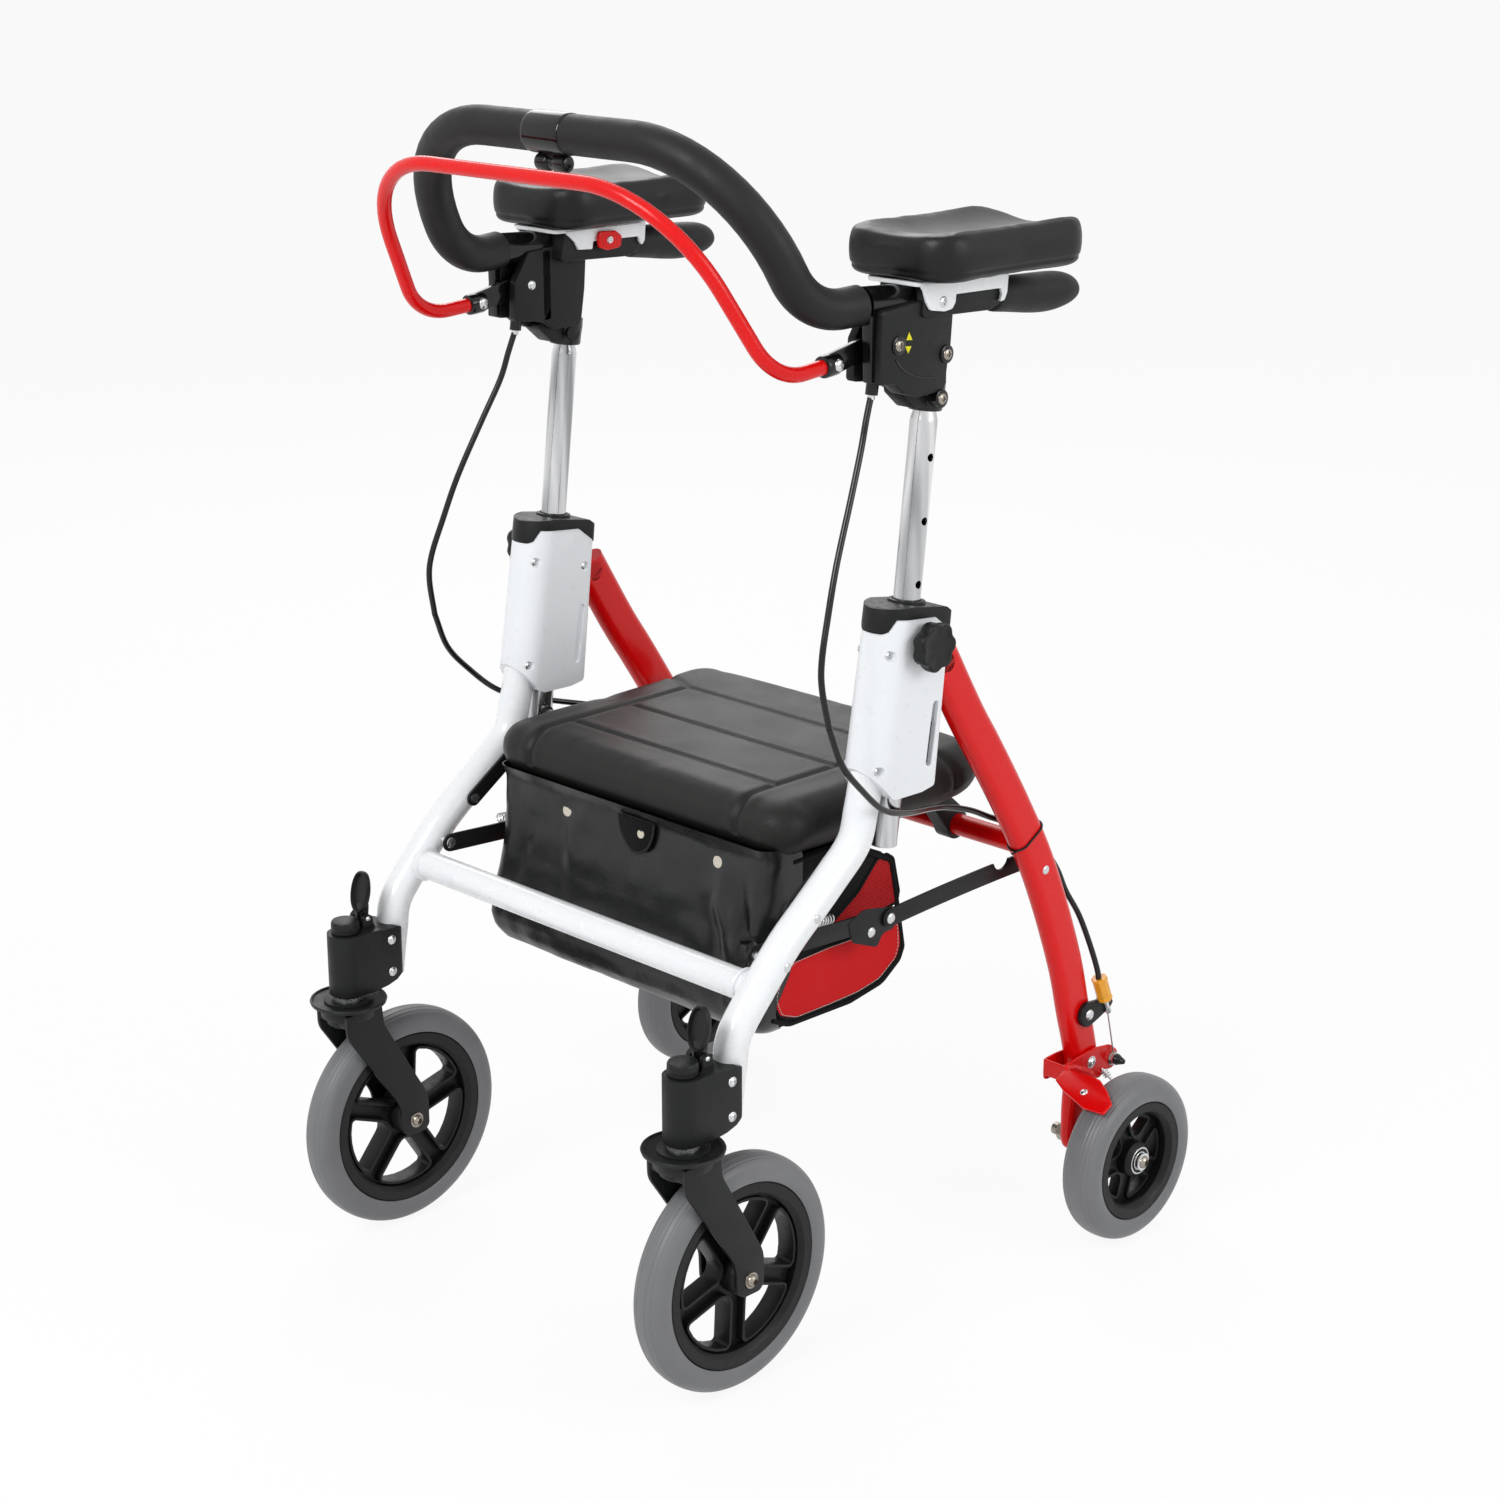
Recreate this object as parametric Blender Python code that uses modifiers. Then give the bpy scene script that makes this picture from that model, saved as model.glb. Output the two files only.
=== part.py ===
"""Wheeled walker with forearm pads: a folding frame on two casters and two braked rear wheels.

Metres, +Z up. The front of the walker faces -Y and the user's left side is +X.
The origin is on the floor, in the middle of the walker's footprint.
Side pieces are modelled on the left and mirrored to the right.
"""

import math

import bmesh
import bpy
from mathutils import Matrix, Vector

# Clearances between pieces
GAP = 0.0003
SLIDE_GAP = 0.0004
PIN_GAP = 0.0004

# Side frames: both stand in a plane this far from the middle
SIDE_X = 0.211
TUBE_RADIUS = 0.014
TUBE_PATH = (
    (-0.2113, 0.2400),
    (-0.2054, 0.2766),
    (-0.1990, 0.3050),
    (-0.1720, 0.3360),
    (-0.1442, 0.3640),
    (-0.1175, 0.3851),
    (-0.0906, 0.4065),
    (-0.0660, 0.4286),
    (-0.0575, 0.4554),
    (-0.0510, 0.4840),
    (-0.0478, 0.5020),
)
CROSSBAR_RADIUS = 0.0125
CROSSBAR_Y, CROSSBAR_Z = -0.1745, 0.3330

# Telescopic posts
POST_RADIUS = 0.011
POST_LEAN = 0.1155
POST_Y_AT, POST_Z_AT = -0.0085, 0.6094
POST_BOTTOM_Z, POST_TOP_Z = 0.418, 0.806
HOLE_RADIUS, HOLE_DEPTH, HOLE_PITCH = 0.0033, 0.004, 0.050
HOLE_TOP_Z, HOLE_COUNT = 0.7314, 3
TUBE_POST_GAP, LUG_POST_GAP = 0.0015, 0.0014

# Side housings, their caps and the rear leg pivot
HOUSING_HALF = 0.022
HOUSING_BOTTOM_Z, HOUSING_TOP_Z = 0.462, 0.6055
HOUSING_FRONT_LOW_Y, HOUSING_FRONT_HIGH_Y = -0.0492, -0.0262
HOUSING_REAR_LOW_Y, HOUSING_REAR_HIGH_Y = 0.0085, 0.0236
HOUSING_CORNER = 0.006
CAP_GROW, CAP_HEIGHT, CAP_CHAMFER = 0.0012, 0.0130, 0.006
FOLD_PIN_RADIUS = 0.004
LEG_LUG_RADIUS = 0.0095
FOLD_Z = 0.5713
FOLD_Y = POST_Y_AT + POST_LEAN * (FOLD_Z - POST_Z_AT) + POST_RADIUS + LUG_POST_GAP + LEG_LUG_RADIUS

# Rear legs: flat-oval tube
LEG_WIDTH, LEG_THICK = 0.036, 0.018
LEG_PATH = (
    (0.0300, 0.5670),
    (0.0656, 0.5085),
    (0.0905, 0.4720),
    (0.1134, 0.4374),
    (0.1370, 0.4000),
    (0.1594, 0.3620),
    (0.1781, 0.3237),
    (0.1972, 0.2779),
    (0.2110, 0.2400),
    (0.2217, 0.2012),
    (0.2300, 0.1740),
    (0.2374, 0.1440),
)
REAR_BAR_Y, REAR_BAR_Z, REAR_BAR_RADIUS = 0.152, 0.371, 0.0095

# Front casters
STEM_Y, STEM_RADIUS = -0.2556, 0.006
SLEEVE_RADIUS, SLEEVE_BOTTOM_Z, SLEEVE_TOP_Z = 0.016, 0.232, 0.2875
STEM_CAP_RADIUS, STEM_CAP_TOP_Z = 0.0125, 0.2992
BRACKET_HALF, BRACKET_REAR_Y = 0.0179, -0.2065
BRACKET_BOLTS = ((-0.2194, 0.2762), (-0.2196, 0.2459))
SAUCER_RADIUS, SAUCER_Z = 0.0335, 0.2248
CROWN_RADIUS, CROWN_BOTTOM_Z = 0.0245, 0.2045
FRONT_WHEEL_Y, FRONT_WHEEL_RADIUS, FRONT_TYRE_WIDTH = -0.2034, 0.100, 0.030
FRONT_RIM_RADIUS = 0.0788
BLADE_WIDTH, BLADE_THICK, BLADE_GAP = 0.030, 0.0035, 0.0035
LOCK_Y, LOCK_Z = -0.2380, 0.2977
LOCK_EAR_HALF, LOCK_PADDLE_HALF, LOCK_TOP_Z = 0.009, 0.0105, 0.340

# Rear wheels
REAR_WHEEL_OUT = 0.0618
REAR_WHEEL_X = SIDE_X + REAR_WHEEL_OUT
REAR_WHEEL_Y, REAR_WHEEL_RADIUS = 0.2279, 0.0755
REAR_TYRE_WIDTH, REAR_RIM_RADIUS = 0.0357, 0.0544
AXLE_RADIUS = 0.006
RIM_DEPTH = 0.010
WHEEL_STEPS = 20
SPOKES = 5

# Rear brakes
BRAKE_Y, BRAKE_Z = 0.2360, 0.1475
BRAKE_PLATE = 0.0025
SHOE_ANGLE, SHOE_GAP, SHOE_HALF_ANGLE = 122.0, 0.0040, 11.0
EAR_Y, EAR_Z, EAR_RADIUS, EAR_THICK = 0.2290, 0.1957, 0.0115, 0.005
EAR_TIP = (0.2560, 0.1975)

# Fold linkage, in three layers beside the seat
BRACE_A = (-0.1550, 0.3505)
BRACE_M = (0.0000, 0.3410)
BRACE_L = (0.1673, 0.3470)
LINK_S = (-0.1215, 0.3820)
LINK_T = (-0.0340, 0.4410)
LINK_THICK, LINK_GAP = 0.0024, 0.0008
TUBE_FACE = SIDE_X - max(TUBE_RADIUS, LEG_THICK / 2)
SEAT_LINK_X = (TUBE_FACE - LINK_GAP - 0.0026, TUBE_FACE - LINK_GAP)
BRACE_REAR_X = (SEAT_LINK_X[0] - 0.0012 - LINK_THICK, SEAT_LINK_X[0] - 0.0012)
BRACE_FRONT_X = (BRACE_REAR_X[0] - LINK_GAP - LINK_THICK, BRACE_REAR_X[0] - LINK_GAP)
BRACE_WIDTH, SEAT_LINK_WIDTH, RIVET_RADIUS = 0.016, 0.014, 0.005
BRACE_RISE = 0.006
# The rear brace turns up this far when the walker is folded
BRACE_REAR_TURN, BRACE_BAR_GAP = 36.0, 0.0008
SPRING_START_Y, SPRING_END_Y = -0.100, -0.066
SPRING_RADIUS, SPRING_WIRE, SPRING_CURLS = 0.0036, 0.0007, 6

# Seat and bag
SEAT_SIDE_GAP = 0.0036
SEAT_HALF = BRACE_FRONT_X[0] - SEAT_SIDE_GAP
SEAT_FRONT_Y, SEAT_REAR_Y = -0.120, 0.137
SEAT_BOTTOM_Z, SEAT_TOP_Z, SEAT_CROWN = 0.4100, 0.4560, 0.004
SEAT_BORDER_IN = 0.0572
SEAT_BORDER_X = SEAT_HALF - SEAT_BORDER_IN
SEAT_SEAMS_Y = (-0.065, 0.0, 0.075)
SEAM_DEPTH, SEAM_HALF = 0.0030, 0.006
HINGE_STRAP_X = SEAT_BORDER_X - 0.002
HINGE_STRAP_WIDTH, HINGE_STRAP_WALL = 0.016, 0.004
BAG_HALF, BAG_WALL = SEAT_HALF - 0.0182, 0.003
BAG_SIDE = (
    (-0.1020, 0.4096),
    (-0.1180, 0.3450),
    (-0.1350, 0.2850),
    (-0.1220, 0.2615),
    (-0.0300, 0.2560),
    (0.0380, 0.2765),
    (0.0480, 0.2960),
    (0.0400, 0.3370),
    (0.0320, 0.3800),
    (-0.0250, 0.4096),
)

# Handle: cast blocks, bent tube, foam, brake bar
BLOCK_HALF = 0.018
BLOCK_SIDE = (
    (-0.0707, 0.8385),
    (-0.0707, 0.7884),
    (-0.0452, 0.7879),
    (-0.0371, 0.7799),
    (-0.0100, 0.7790),
    (0.0200, 0.7700),
    (0.0265, 0.8180),
    (0.0219, 0.8533),
    (-0.0508, 0.8560),
    (-0.0508, 0.8385),
)
COLLAR_RADIUS, COLLAR_BOTTOM_Z, COLLAR_TOP_Z = 0.0160, 0.757, 0.785
SLEEVE_OUTER = 0.0148
SLEEVE_START_Y, SLEEVE_END_Y = -0.0508, -0.0215
ARM_X = (SIDE_X - 0.0287, SIDE_X + 0.0207)
ARM_SIDE = ((-0.0150, 0.8400), (0.0219, 0.8400), (0.0780, 0.8375), (0.0780, 0.8655), (-0.0150, 0.8655))
LEVER_PIVOT = (-0.0420, 0.8258)
LEVER_SLOT = ((-0.0320, 0.8380), (-0.0320, 0.8120), (-0.0950, 0.7860), (-0.0950, 0.8380))
LEVER_X = SIDE_X - 0.0046
LEVER_THICK, LEVER_SLOT_WIDTH = 0.0050, 0.0062
BLOCK_BOLTS = ((0.0132, 0.8126), (0.0096, 0.7785))
BOLT_HEAD_RADIUS, BOLT_HEAD_HEIGHT = 0.0055, 0.003
CABLE_STUB = ((SIDE_X - 0.0027, -0.0489, 0.7863), (SIDE_X - 0.0027, -0.0455, 0.7960))
HANDLE_RADIUS = 0.011
GRIP_END = (SIDE_X, 0.1840, 0.8432)
FOAM_END = (SIDE_X - 0.0016, -0.0532, 0.8562)
LOOP_CORNERS = ((SIDE_X - 0.0080, -0.1155, 0.8537), (SIDE_X - 0.0210, -0.1795, 0.9774))
LOOP_FILLETS = (0.054, 0.115)
FOAM_RADIUS = 0.0156
LABEL_HALF, LABEL_WALL = 0.032, 0.0014
BAR_RADIUS = 0.006
BAR_START = (SIDE_X - 0.0048, -0.0886, 0.8151)
BAR_CORNERS = ((SIDE_X - 0.0021, -0.1540, 0.8095), (SIDE_X - 0.0377, -0.2335, 0.9515))
BAR_FILLETS = (0.048, 0.106)
SOCKET_RADIUS, SOCKET_LENGTH = 0.0085, 0.036

# Forearm rests and hand grips
PAD_HALF, PAD_FRONT_Y, PAD_REAR_Y = 0.059, -0.037, 0.147
PAD_SIDE_Z, PAD_MIDDLE_Z = 0.9110, 0.9010
CHANNEL_X = (SIDE_X - 0.0320, SIDE_X + 0.0240)
CHANNEL_WALL = 0.003
CHANNEL_TOP_Z = 0.8720
CHANNEL_SIDE = (
    (-0.0190, 0.8720),
    (-0.0170, 0.8630),
    (-0.0075, 0.8580),
    (-0.0035, 0.8470),
    (0.0020, 0.8450),
    (0.0135, 0.8458),
    (0.0150, 0.8500),
    (0.0780, 0.8441),
    (0.0825, 0.8480),
    (0.0830, 0.8720),
)
CHANNEL_WINDOW = ((0.0190, 0.8530), (0.0740, 0.8490), (0.0740, 0.8570), (0.0190, 0.8600))
CHANNEL_BOLT = (0.0020, 0.8545)
LATCH_Y, LATCH_Z = 0.0325, 0.8590
GRIP_FRONT_Y, GRIP_REAR_Y = 0.0830, 0.1900
GRIP_HALF_X, GRIP_HALF_Z = 0.0150, 0.0150

# Knobs, cables
KNOB_Y, KNOB_Z, KNOB_RADIUS = -0.0112, 0.5864, 0.0205
KNOB_OUTER_X = SIDE_X + HOUSING_HALF + 0.0170
KNOB_LOBES = 7
CABLE_RADIUS = 0.0026
CABLE_UPPER = (
    (0.2083, -0.0492, 0.7857),
    (0.2098, -0.0560, 0.7680),
    (0.2120, -0.0641, 0.7450),
    (0.2180, -0.0815, 0.7099),
    (0.2250, -0.1038, 0.6644),
    (0.2300, -0.1184, 0.6263),
    (0.2340, -0.1285, 0.5964),
    (0.2360, -0.1301, 0.5745),
    (0.2380, -0.1239, 0.5423),
    (0.2390, -0.1106, 0.5107),
    (0.2380, -0.0891, 0.4865),
    (0.2340, -0.0576, 0.4600),
    (0.2260, -0.0210, 0.4460),
    (0.2070, 0.0300, 0.4330),
    (0.1990, 0.0600, 0.4250),
    (0.1985, 0.0900, 0.4150),
    (0.1985, 0.1150, 0.4030),
)
CABLE_LOWER = (
    (0.1985, 0.1154, 0.4028),
    (0.1980, 0.1480, 0.3880),
    (0.1975, 0.1700, 0.3755),
    (0.1980, 0.1900, 0.3560),
    (0.2000, 0.2070, 0.3330),
    (0.2020, 0.2180, 0.3100),
    (0.2080, 0.2300, 0.2860),
    (0.2160, 0.2365, 0.2593),
    (0.2236, 0.2392, 0.2360),
    (0.2247, 0.2412, 0.2220),
)
FERRULE = ((0.2245, 0.2403, 0.2254), (0.2255, 0.2466, 0.2073))
FERRULE_RADIUS = 0.0058

COLOURS = {
    "white_paint": ((0.86, 0.86, 0.85), 0.30, 0.0),
    "red_paint": ((0.78, 0.03, 0.03), 0.28, 0.0),
    "black_paint": ((0.02, 0.02, 0.021), 0.40, 0.0),
    "black_plastic": ((0.025, 0.025, 0.027), 0.45, 0.0),
    "black_gloss": ((0.012, 0.012, 0.013), 0.15, 0.0),
    "aluminium": ((0.80, 0.81, 0.82), 0.25, 1.0),
    "steel": ((0.62, 0.60, 0.57), 0.30, 1.0),
    "tyre": ((0.16, 0.16, 0.165), 0.75, 0.0),
    "foam": ((0.02, 0.02, 0.02), 0.70, 0.0),
    "vinyl": ((0.022, 0.022, 0.023), 0.40, 0.0),
    "fabric": ((0.03, 0.03, 0.032), 0.85, 0.0),
}


for leftover in list(bpy.data.objects):
    bpy.data.objects.remove(leftover, do_unlink=True)

walker = bpy.data.collections.new("wheeled_walker")
helpers = bpy.data.collections.new("helpers")
for folder in (walker, helpers):
    bpy.context.scene.collection.children.link(folder)


def material(kind):
    found = bpy.data.materials.get(kind)
    if found:
        return found
    colour, roughness, metallic = COLOURS[kind]
    made = bpy.data.materials.new(kind)
    made.use_nodes = True
    shader = made.node_tree.nodes["Principled BSDF"]
    shader.inputs["Base Color"].default_value = (*colour, 1.0)
    shader.inputs["Roughness"].default_value = roughness
    shader.inputs["Metallic"].default_value = metallic
    return made


def helper(mesh):
    obj = bpy.data.objects.new("helper", mesh)
    helpers.objects.link(obj)
    return obj


def plain(obj):
    """The object as a plain mesh with its place in its points."""
    bpy.context.view_layer.update()
    graph = bpy.context.evaluated_depsgraph_get()
    mesh = bpy.data.meshes.new_from_object(obj.evaluated_get(graph))
    mesh.transform(obj.matrix_world)
    bm = bmesh.new()
    bm.from_mesh(mesh)
    bmesh.ops.remove_doubles(bm, verts=bm.verts, dist=1e-6)
    bmesh.ops.recalc_face_normals(bm, faces=bm.faces)
    bm.to_mesh(mesh)
    bm.free()
    bpy.data.objects.remove(obj, do_unlink=True)
    return helper(mesh)


def boolean(base, others, operation):
    for other in others:
        modifier = base.modifiers.new(operation.lower(), "BOOLEAN")
        modifier.operation = operation
        modifier.object = other
    result = plain(base)
    for other in others:
        bpy.data.objects.remove(other, do_unlink=True)
    return result


def joined(base, *others):
    return boolean(base, others, "UNION")


def cut(base, *cutters):
    return boolean(base, cutters, "DIFFERENCE")


def common(base, other):
    return boolean(base, (other,), "INTERSECT")


def along(start, end):
    """The matrix that stands a Z cylinder between two points."""
    start, end = Vector(start), Vector(end)
    turn = (end - start).to_track_quat("Z", "Y").to_matrix().to_4x4()
    return Matrix.Translation((start + end) / 2) @ turn


def rod(start, end, radius, sides=12, end_radius=None):
    bm = bmesh.new()
    bmesh.ops.create_cone(
        bm,
        cap_ends=True,
        segments=sides,
        radius1=radius,
        radius2=radius if end_radius is None else end_radius,
        depth=(Vector(end) - Vector(start)).length,
        matrix=along(start, end),
    )
    mesh = bpy.data.meshes.new("rod")
    bm.to_mesh(mesh)
    bm.free()
    return helper(mesh)


def block(low, high):
    bm = bmesh.new()
    size = Vector(high) - Vector(low)
    place = Matrix.Translation((Vector(low) + Vector(high)) / 2) @ Matrix.Diagonal((*size, 1))
    bmesh.ops.create_cube(bm, size=1.0, matrix=place)
    mesh = bpy.data.meshes.new("block")
    bm.to_mesh(mesh)
    bm.free()
    return helper(mesh)


def plate(outline, low_x, high_x):
    """A flat (y, z) outline, filled and thickened from low_x to high_x."""
    curve = bpy.data.curves.new("plate", "CURVE")
    curve.dimensions = "2D"
    curve.fill_mode = "BOTH"
    curve.extrude = (high_x - low_x) / 2
    spline = curve.splines.new("POLY")
    spline.points.add(len(outline) - 1)
    for point, (y, z) in zip(spline.points, outline):
        point.co = (y, z, 0, 1)
    spline.use_cyclic_u = True
    obj = helper(curve)
    # The curve's own X, Y and Z become Y, Z and X
    obj.matrix_world = Matrix.Translation(((low_x + high_x) / 2, 0, 0)) @ Matrix(
        ((0, 0, 1, 0), (1, 0, 0, 0), (0, 1, 0, 0), (0, 0, 0, 1))
    )
    return plain(obj)


def tube(points, radius, resolution=3, lengthen=0.0):
    """A round tube or rod along the points; lengthen moves both of its ends out."""
    points = [Vector(p) for p in points]
    points[0] += (points[0] - points[1]).normalized() * lengthen
    points[-1] += (points[-1] - points[-2]).normalized() * lengthen
    curve = bpy.data.curves.new("tube", "CURVE")
    curve.dimensions = "3D"
    curve.bevel_depth = radius
    curve.bevel_resolution = resolution
    curve.use_fill_caps = True
    spline = curve.splines.new("POLY")
    spline.points.add(len(points) - 1)
    for point, place in zip(spline.points, points):
        point.co = (*place, 1)
    return plain(helper(curve))


def turned(profile, centre, steps=WHEEL_STEPS):
    """A (radius, x) profile, listed with x falling on its outer side, turned about an X axis."""
    mesh = bpy.data.meshes.new("profile")
    count = len(profile)
    edges = [(i, (i + 1) % count) for i in range(count)]
    mesh.from_pydata([(r, 0, x) for r, x in profile], edges, [])
    obj = helper(mesh)
    screw = obj.modifiers.new("turn", "SCREW")
    screw.steps = screw.render_steps = steps
    screw.use_merge_vertices = True
    screw.merge_threshold = 1e-5
    # The profile's Z becomes X, and its X becomes Z
    obj.matrix_world = Matrix.Translation(centre) @ Matrix(
        ((0, 0, 1, 0), (0, -1, 0, 0), (1, 0, 0, 0), (0, 0, 0, 1))
    )
    return plain(obj)


def loft(rings):
    """A closed skin through rings of equal point counts, for shapes between unlike sections."""
    bm = bmesh.new()
    rows = [[bm.verts.new(point) for point in ring] for ring in rings]
    count = len(rows[0])
    for low, high in zip(rows, rows[1:]):
        for i in range(count):
            j = (i + 1) % count
            bm.faces.new((low[i], low[j], high[j], high[i]))
    bm.faces.new(rows[0][::-1])
    bm.faces.new(rows[-1])
    bmesh.ops.recalc_face_normals(bm, faces=bm.faces)
    mesh = bpy.data.meshes.new("loft")
    bm.to_mesh(mesh)
    bm.free()
    return helper(mesh)


def smooth(points, per_span):
    """A curve through the points, with per_span steps between two of them."""
    points = [Vector(p) for p in points]
    padded = [2 * points[0] - points[1], *points, 2 * points[-1] - points[-2]]
    found = []
    for a, b, c, d in zip(padded, padded[1:], padded[2:], padded[3:]):
        for step in range(per_span):
            t = step / per_span
            found.append(
                0.5
                * (
                    2 * b
                    + (c - a) * t
                    + (2 * a - 5 * b + 4 * c - d) * t**2
                    + (3 * b - a - 3 * c + d) * t**3
                )
            )
    found.append(points[-1])
    return found


def filleted(corners, radii, steps):
    """A path of straight runs with an arc of its own radius at each inner corner."""
    corners = [Vector(p) for p in corners]
    path = [corners[0]]
    for before, corner, after, radius in zip(corners, corners[1:], corners[2:], radii):
        back = (before - corner).normalized()
        ahead = (after - corner).normalized()
        half = back.angle(ahead) / 2
        reach = radius / math.tan(half)
        centre = corner + (back + ahead).normalized() * radius / math.sin(half)
        first = corner + back * reach - centre
        last = corner + ahead * reach - centre
        turn = first.angle(last)
        for step in range(steps + 1):
            t = step / steps
            spoke = (first * math.sin((1 - t) * turn) + last * math.sin(t * turn)) / math.sin(turn)
            path.append(centre + spoke)
    path.append(corners[-1])
    return path


def both_halves(path):
    """A path that ends on the middle plane, followed by its mirror image."""
    return list(path) + [Vector((-p[0], p[1], p[2])) for p in reversed(path[:-1])]


def bar_outline(start, end, width, rise=0.0, steps=5):
    """A flat bar between two (y, z) pivots with round ends, arched upward by rise."""
    start, end = Vector(start), Vector(end)
    ahead = (end - start).normalized()
    side = Vector((-ahead.y, ahead.x))
    half = width / 2
    outline = []
    for step in range(steps + 1):
        turn = math.pi / 2 - math.pi * step / steps
        outline.append(end + half * (math.cos(turn) * ahead + math.sin(turn) * side))
    middle = (start + end) / 2 + side * rise
    outline.append(middle - side * half)
    for step in range(steps + 1):
        turn = math.pi / 2 - math.pi * step / steps
        outline.append(start - half * (math.cos(turn) * ahead + math.sin(turn) * side))
    outline.append(middle + side * half)
    return [tuple(point) for point in outline]


def swept_disc_outline(centre, middle, turn, radius, steps=6):
    """The outline of the room that a disc needs when it turns about centre, from middle on."""
    centre = Vector(centre)
    off = Vector(middle) - centre
    first = math.atan2(off.y, off.x)

    def arc(origin, reach, begin, sweep):
        angles = [begin + sweep * step / steps for step in range(steps)]
        return [tuple(origin + reach * Vector((math.cos(a), math.sin(a)))) for a in angles]

    start, end = [
        centre + off.length * Vector((math.cos(a), math.sin(a))) for a in (first, first + turn)
    ]
    return (
        arc(centre, off.length + radius, first, turn)
        + arc(end, radius, first + turn, math.pi)
        + arc(centre, off.length - radius, first + turn, -turn)
        + arc(start, radius, first + math.pi, math.pi)
    )


def disc_outline(y, z, radius, steps=16):
    angles = [2 * math.pi * step / steps for step in range(steps)]
    return [(y + radius * math.cos(a), z + radius * math.sin(a)) for a in angles]


def keep(obj, name, kind, pivot=(0, 0, 0), parent=None):
    """Names a finished solid, gives it its material and puts its origin on its joint's axis."""
    mesh = obj.data
    mesh.transform(Matrix.Translation(-Vector(pivot)))
    mesh.materials.clear()
    mesh.materials.append(material(kind))
    mesh.shade_smooth()
    mesh.set_sharp_from_angle(angle=math.radians(35))
    mesh.name = name
    made = bpy.data.objects.new(name, mesh)
    bpy.data.objects.remove(obj, do_unlink=True)
    walker.objects.link(made)
    made.parent = parent
    made.location = Vector(pivot) - (parent.location if parent else Vector())
    return made


def keep_pair(obj, name, kind, pivot=(0, 0, 0), parent=None):
    """The left piece as modelled, and its mirror image on the right."""
    mirrored = obj.data.copy()
    mirrored.transform(Matrix.Diagonal((-1, 1, 1, 1)))
    mirrored.flip_normals()
    keep(obj, name + "_left", kind, pivot, parent)
    keep(helper(mirrored), name + "_right", kind, (-pivot[0], pivot[1], pivot[2]), parent)


def pivot_empty(name, y, z):
    empty = bpy.data.objects.new(name, None)
    empty.location = (0, y, z)
    walker.objects.link(empty)
    return empty


def post_y(z):
    return POST_Y_AT + POST_LEAN * (z - POST_Z_AT)


def post_point(z):
    return (SIDE_X, post_y(z), z)


def in_side(path, x=SIDE_X):
    return [(x, y, z) for y, z in path]


def front_tube(grow=0.0):
    """The front tube along its path, which stays clear in front of the post."""
    reach = POST_RADIUS + TUBE_RADIUS + TUBE_POST_GAP
    path = [(min(y, post_y(z) - reach), z) for y, z in TUBE_PATH]
    return tube(in_side(path), TUBE_RADIUS + grow, 3, grow)


def loop_points(start):
    """The handle tube's centre line from start, through the loop, to the middle plane."""
    middle = (0, LOOP_CORNERS[-1][1], LOOP_CORNERS[-1][2])
    return filleted((start, *LOOP_CORNERS, middle), LOOP_FILLETS, 4)


def handle_tube(grow=0.0):
    half = [Vector(GRIP_END)] + loop_points(FOAM_END)
    return tube(both_halves(half), HANDLE_RADIUS + grow, 2, grow)


# Fold pivot of the rear frame, and the pivots that hang on it
rear_frame = pivot_empty("rear_frame_pivot", FOLD_Y, FOLD_Z)
handle_frame = pivot_empty("handle_slide", post_y(COLLAR_BOTTOM_Z), COLLAR_BOTTOM_Z)


def make_front_frame():
    keep_pair(front_tube(), "front_tube", "white_paint")
    bar = rod(
        (-SIDE_X, CROSSBAR_Y, CROSSBAR_Z), (SIDE_X, CROSSBAR_Y, CROSSBAR_Z), CROSSBAR_RADIUS
    )
    left = front_tube(GAP)
    right = front_tube(GAP)
    right.data.transform(Matrix.Diagonal((-1, 1, 1, 1)))
    right.data.flip_normals()
    # Only the stretch between the tubes stays
    inside = block((-SIDE_X + 0.004, -1, 0), (SIDE_X - 0.004, 1, 1))
    keep(cut(common(bar, inside), left, right), "front_crossbar", "white_paint")


def housing_ring(z, grow=0.0, half=HOUSING_HALF, rear_y=None, front_y=None):
    """The housing's section at a height: a half circle in front, small corners behind."""
    t = (z - HOUSING_BOTTOM_Z) / (HOUSING_TOP_Z - HOUSING_BOTTOM_Z)
    front = HOUSING_FRONT_LOW_Y + t * (HOUSING_FRONT_HIGH_Y - HOUSING_FRONT_LOW_Y)
    rear = HOUSING_REAR_LOW_Y + t * (HOUSING_REAR_HIGH_Y - HOUSING_REAR_LOW_Y)
    half = half + grow
    rear += grow
    ring = []
    for step in range(9):
        turn = math.pi * step / 8
        ring.append((SIDE_X + half * math.cos(turn), front - half * math.sin(turn), z))
    for side in (-1, 1):
        for step in range(4):
            turn = math.pi / 2 * step / 3
            away, back = (math.cos(turn), math.sin(turn)) if side < 0 else (math.sin(turn), math.cos(turn))
            x = SIDE_X + side * (half - HOUSING_CORNER + HOUSING_CORNER * away)
            ring.append((x, rear - HOUSING_CORNER + HOUSING_CORNER * back, z))
    return ring


def post_rod(low_z, high_z, grow=0.0):
    return rod(post_point(low_z), post_point(high_z), POST_RADIUS + grow, 16)


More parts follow.
